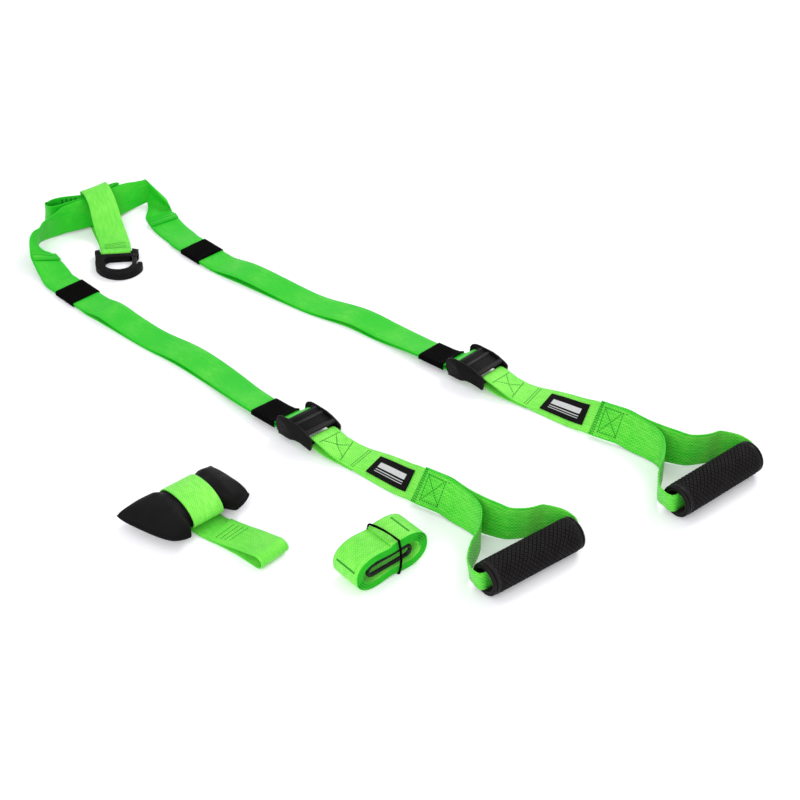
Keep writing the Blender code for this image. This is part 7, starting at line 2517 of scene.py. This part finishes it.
class TRAINER_OT_stage(bpy.types.Operator):
    """Pale floor that turns up into a backdrop, soft lamps and the camera"""

    bl_idname = "trainer.stage"
    bl_label = "Stage"

    def floor(self, stage):
        bm = bmesh.new()
        side = [(-FLOOR_REACH, 0.0), (BEND_Y, 0.0)]
        side += arc((BEND_Y, BEND_RADIUS), BEND_RADIUS, -80, 0, 10)
        side += [(BEND_Y + BEND_RADIUS, BACKDROP_HEIGHT)]
        rows = [[bm.verts.new((x, y, z)) for y, z in side] for x in (-FLOOR_REACH, FLOOR_REACH)]
        for k in range(1, len(side)):
            bm.faces.new((rows[0][k - 1], rows[1][k - 1], rows[1][k], rows[0][k]))
        pale = tuple(stage.floor)
        made = Finish("studio_floor", Base_Color=pale, Roughness=0.9, Specular_IOR_Level=0.15)
        camera_ray = made.node("ShaderNodeLightPath", None, None, "Is Camera Ray")
        glow = made.blend(camera_ray, (0.0, 0.0, 0.0), (FLOOR_GLOW, FLOOR_GLOW, FLOOR_GLOW))
        made.set(Emission_Color=glow, Emission_Strength=1.0)
        mesh = bpy.data.meshes.new("floor")
        bm.to_mesh(mesh)
        bm.free()
        mesh.shade_smooth()
        link_mesh("floor", mesh, made.material)

    def lamp(self, name, place, size, power):
        lamp = bpy.data.lights.new(name, "AREA")
        lamp.shape, lamp.size, lamp.energy = "DISK", size, power
        made = link(name, lamp)
        made.location = place
        made.rotation_euler = (-Vector(place)).to_track_quat("-Z", "Y").to_euler()

    def execute(self, context):
        stage = context.scene.trainer_stage
        self.floor(stage)
        for name, (place, size) in LAMPS.items():
            self.lamp(f"{name}_lamp", place, size, getattr(stage, name))
        world = bpy.data.worlds.new("studio")
        world.use_nodes = True
        context.scene.world = world
        graph = Graph(world.node_tree)
        paths = graph.node(
            "ShaderNodeLightPath", None, None,
            ("Is Camera Ray", "Is Glossy Ray", "Is Transmission Ray")
        )
        seen = graph.highest(graph.highest(paths[0], paths[1]), paths[2])
        fill = (stage.fill, stage.fill, stage.fill * 1.03)
        shade = graph.blend(seen, fill, (1.0, 1.0, 1.0))
        graph.feed(world.node_tree.nodes["Background"].inputs["Color"], shade)
        camera = bpy.data.cameras.new("camera")
        camera.lens, camera.sensor_width, camera.sensor_fit = stage.lens, 36.0, "HORIZONTAL"
        camera.clip_start, camera.clip_end = 0.05, 50.0
        made = link("camera", camera)
        aim = Vector(CAMERA_AIM)
        back = stage.camera_height / math.tan(CAMERA_DOWN)
        place = Vector((aim.x, aim.y - back, stage.camera_height))
        made.location = place
        made.rotation_euler = (aim - place).to_track_quat("-Z", "Y").to_euler()
        context.scene.camera = made
        context.scene.view_settings.view_transform = "Standard"
        return {"FINISHED"}


STEPS = (
    TRAINER_OT_load_straps, TRAINER_OT_equalizer, TRAINER_OT_hook_strap, TRAINER_OT_keepers,
    TRAINER_OT_buckles, TRAINER_OT_yokes, TRAINER_OT_handle_straps, TRAINER_OT_grips,
    TRAINER_OT_hook,
    TRAINER_OT_door_anchor, TRAINER_OT_rolled_strap, TRAINER_OT_carabiner, TRAINER_OT_kept_parts,
    TRAINER_OT_stage,
)


class TRAINER_PT_panel(bpy.types.Panel):
    """Lists the trainer's settings and its operators"""

    bl_label = "Suspension trainer"
    bl_idname = "TRAINER_PT_panel"
    bl_space_type = "VIEW_3D"
    bl_region_type = "UI"
    bl_category = "Trainer"

    def draw(self, context):
        scene = context.scene
        for settings in (scene.trainer_sizes, scene.trainer_colours, scene.trainer_stage):
            box = self.layout.box()
            for name in settings.bl_rna.properties.keys():
                if name not in ("rna_type", "name"):
                    box.prop(settings, name)
        for step in STEPS:
            self.layout.operator(step.bl_idname)


SETTINGS = {
    "trainer_sizes": TrainerSizes, "trainer_colours": TrainerColours, "trainer_stage": TrainerStage,
}


def register():
    for kind in (*SETTINGS.values(), *STEPS, TRAINER_PT_panel):
        bpy.utils.register_class(kind)
    for name, kind in SETTINGS.items():
        setattr(bpy.types.Scene, name, PointerProperty(type=kind))


def unregister():
    for name in SETTINGS:
        delattr(bpy.types.Scene, name)
    for kind in (TRAINER_PT_panel, *reversed(STEPS), *SETTINGS.values()):
        bpy.utils.unregister_class(kind)


def main():
    register()
    for step in STEPS:
        group, name = step.bl_idname.split(".")
        getattr(getattr(bpy.ops, group), name)()


if __name__ == "__main__":
    main()
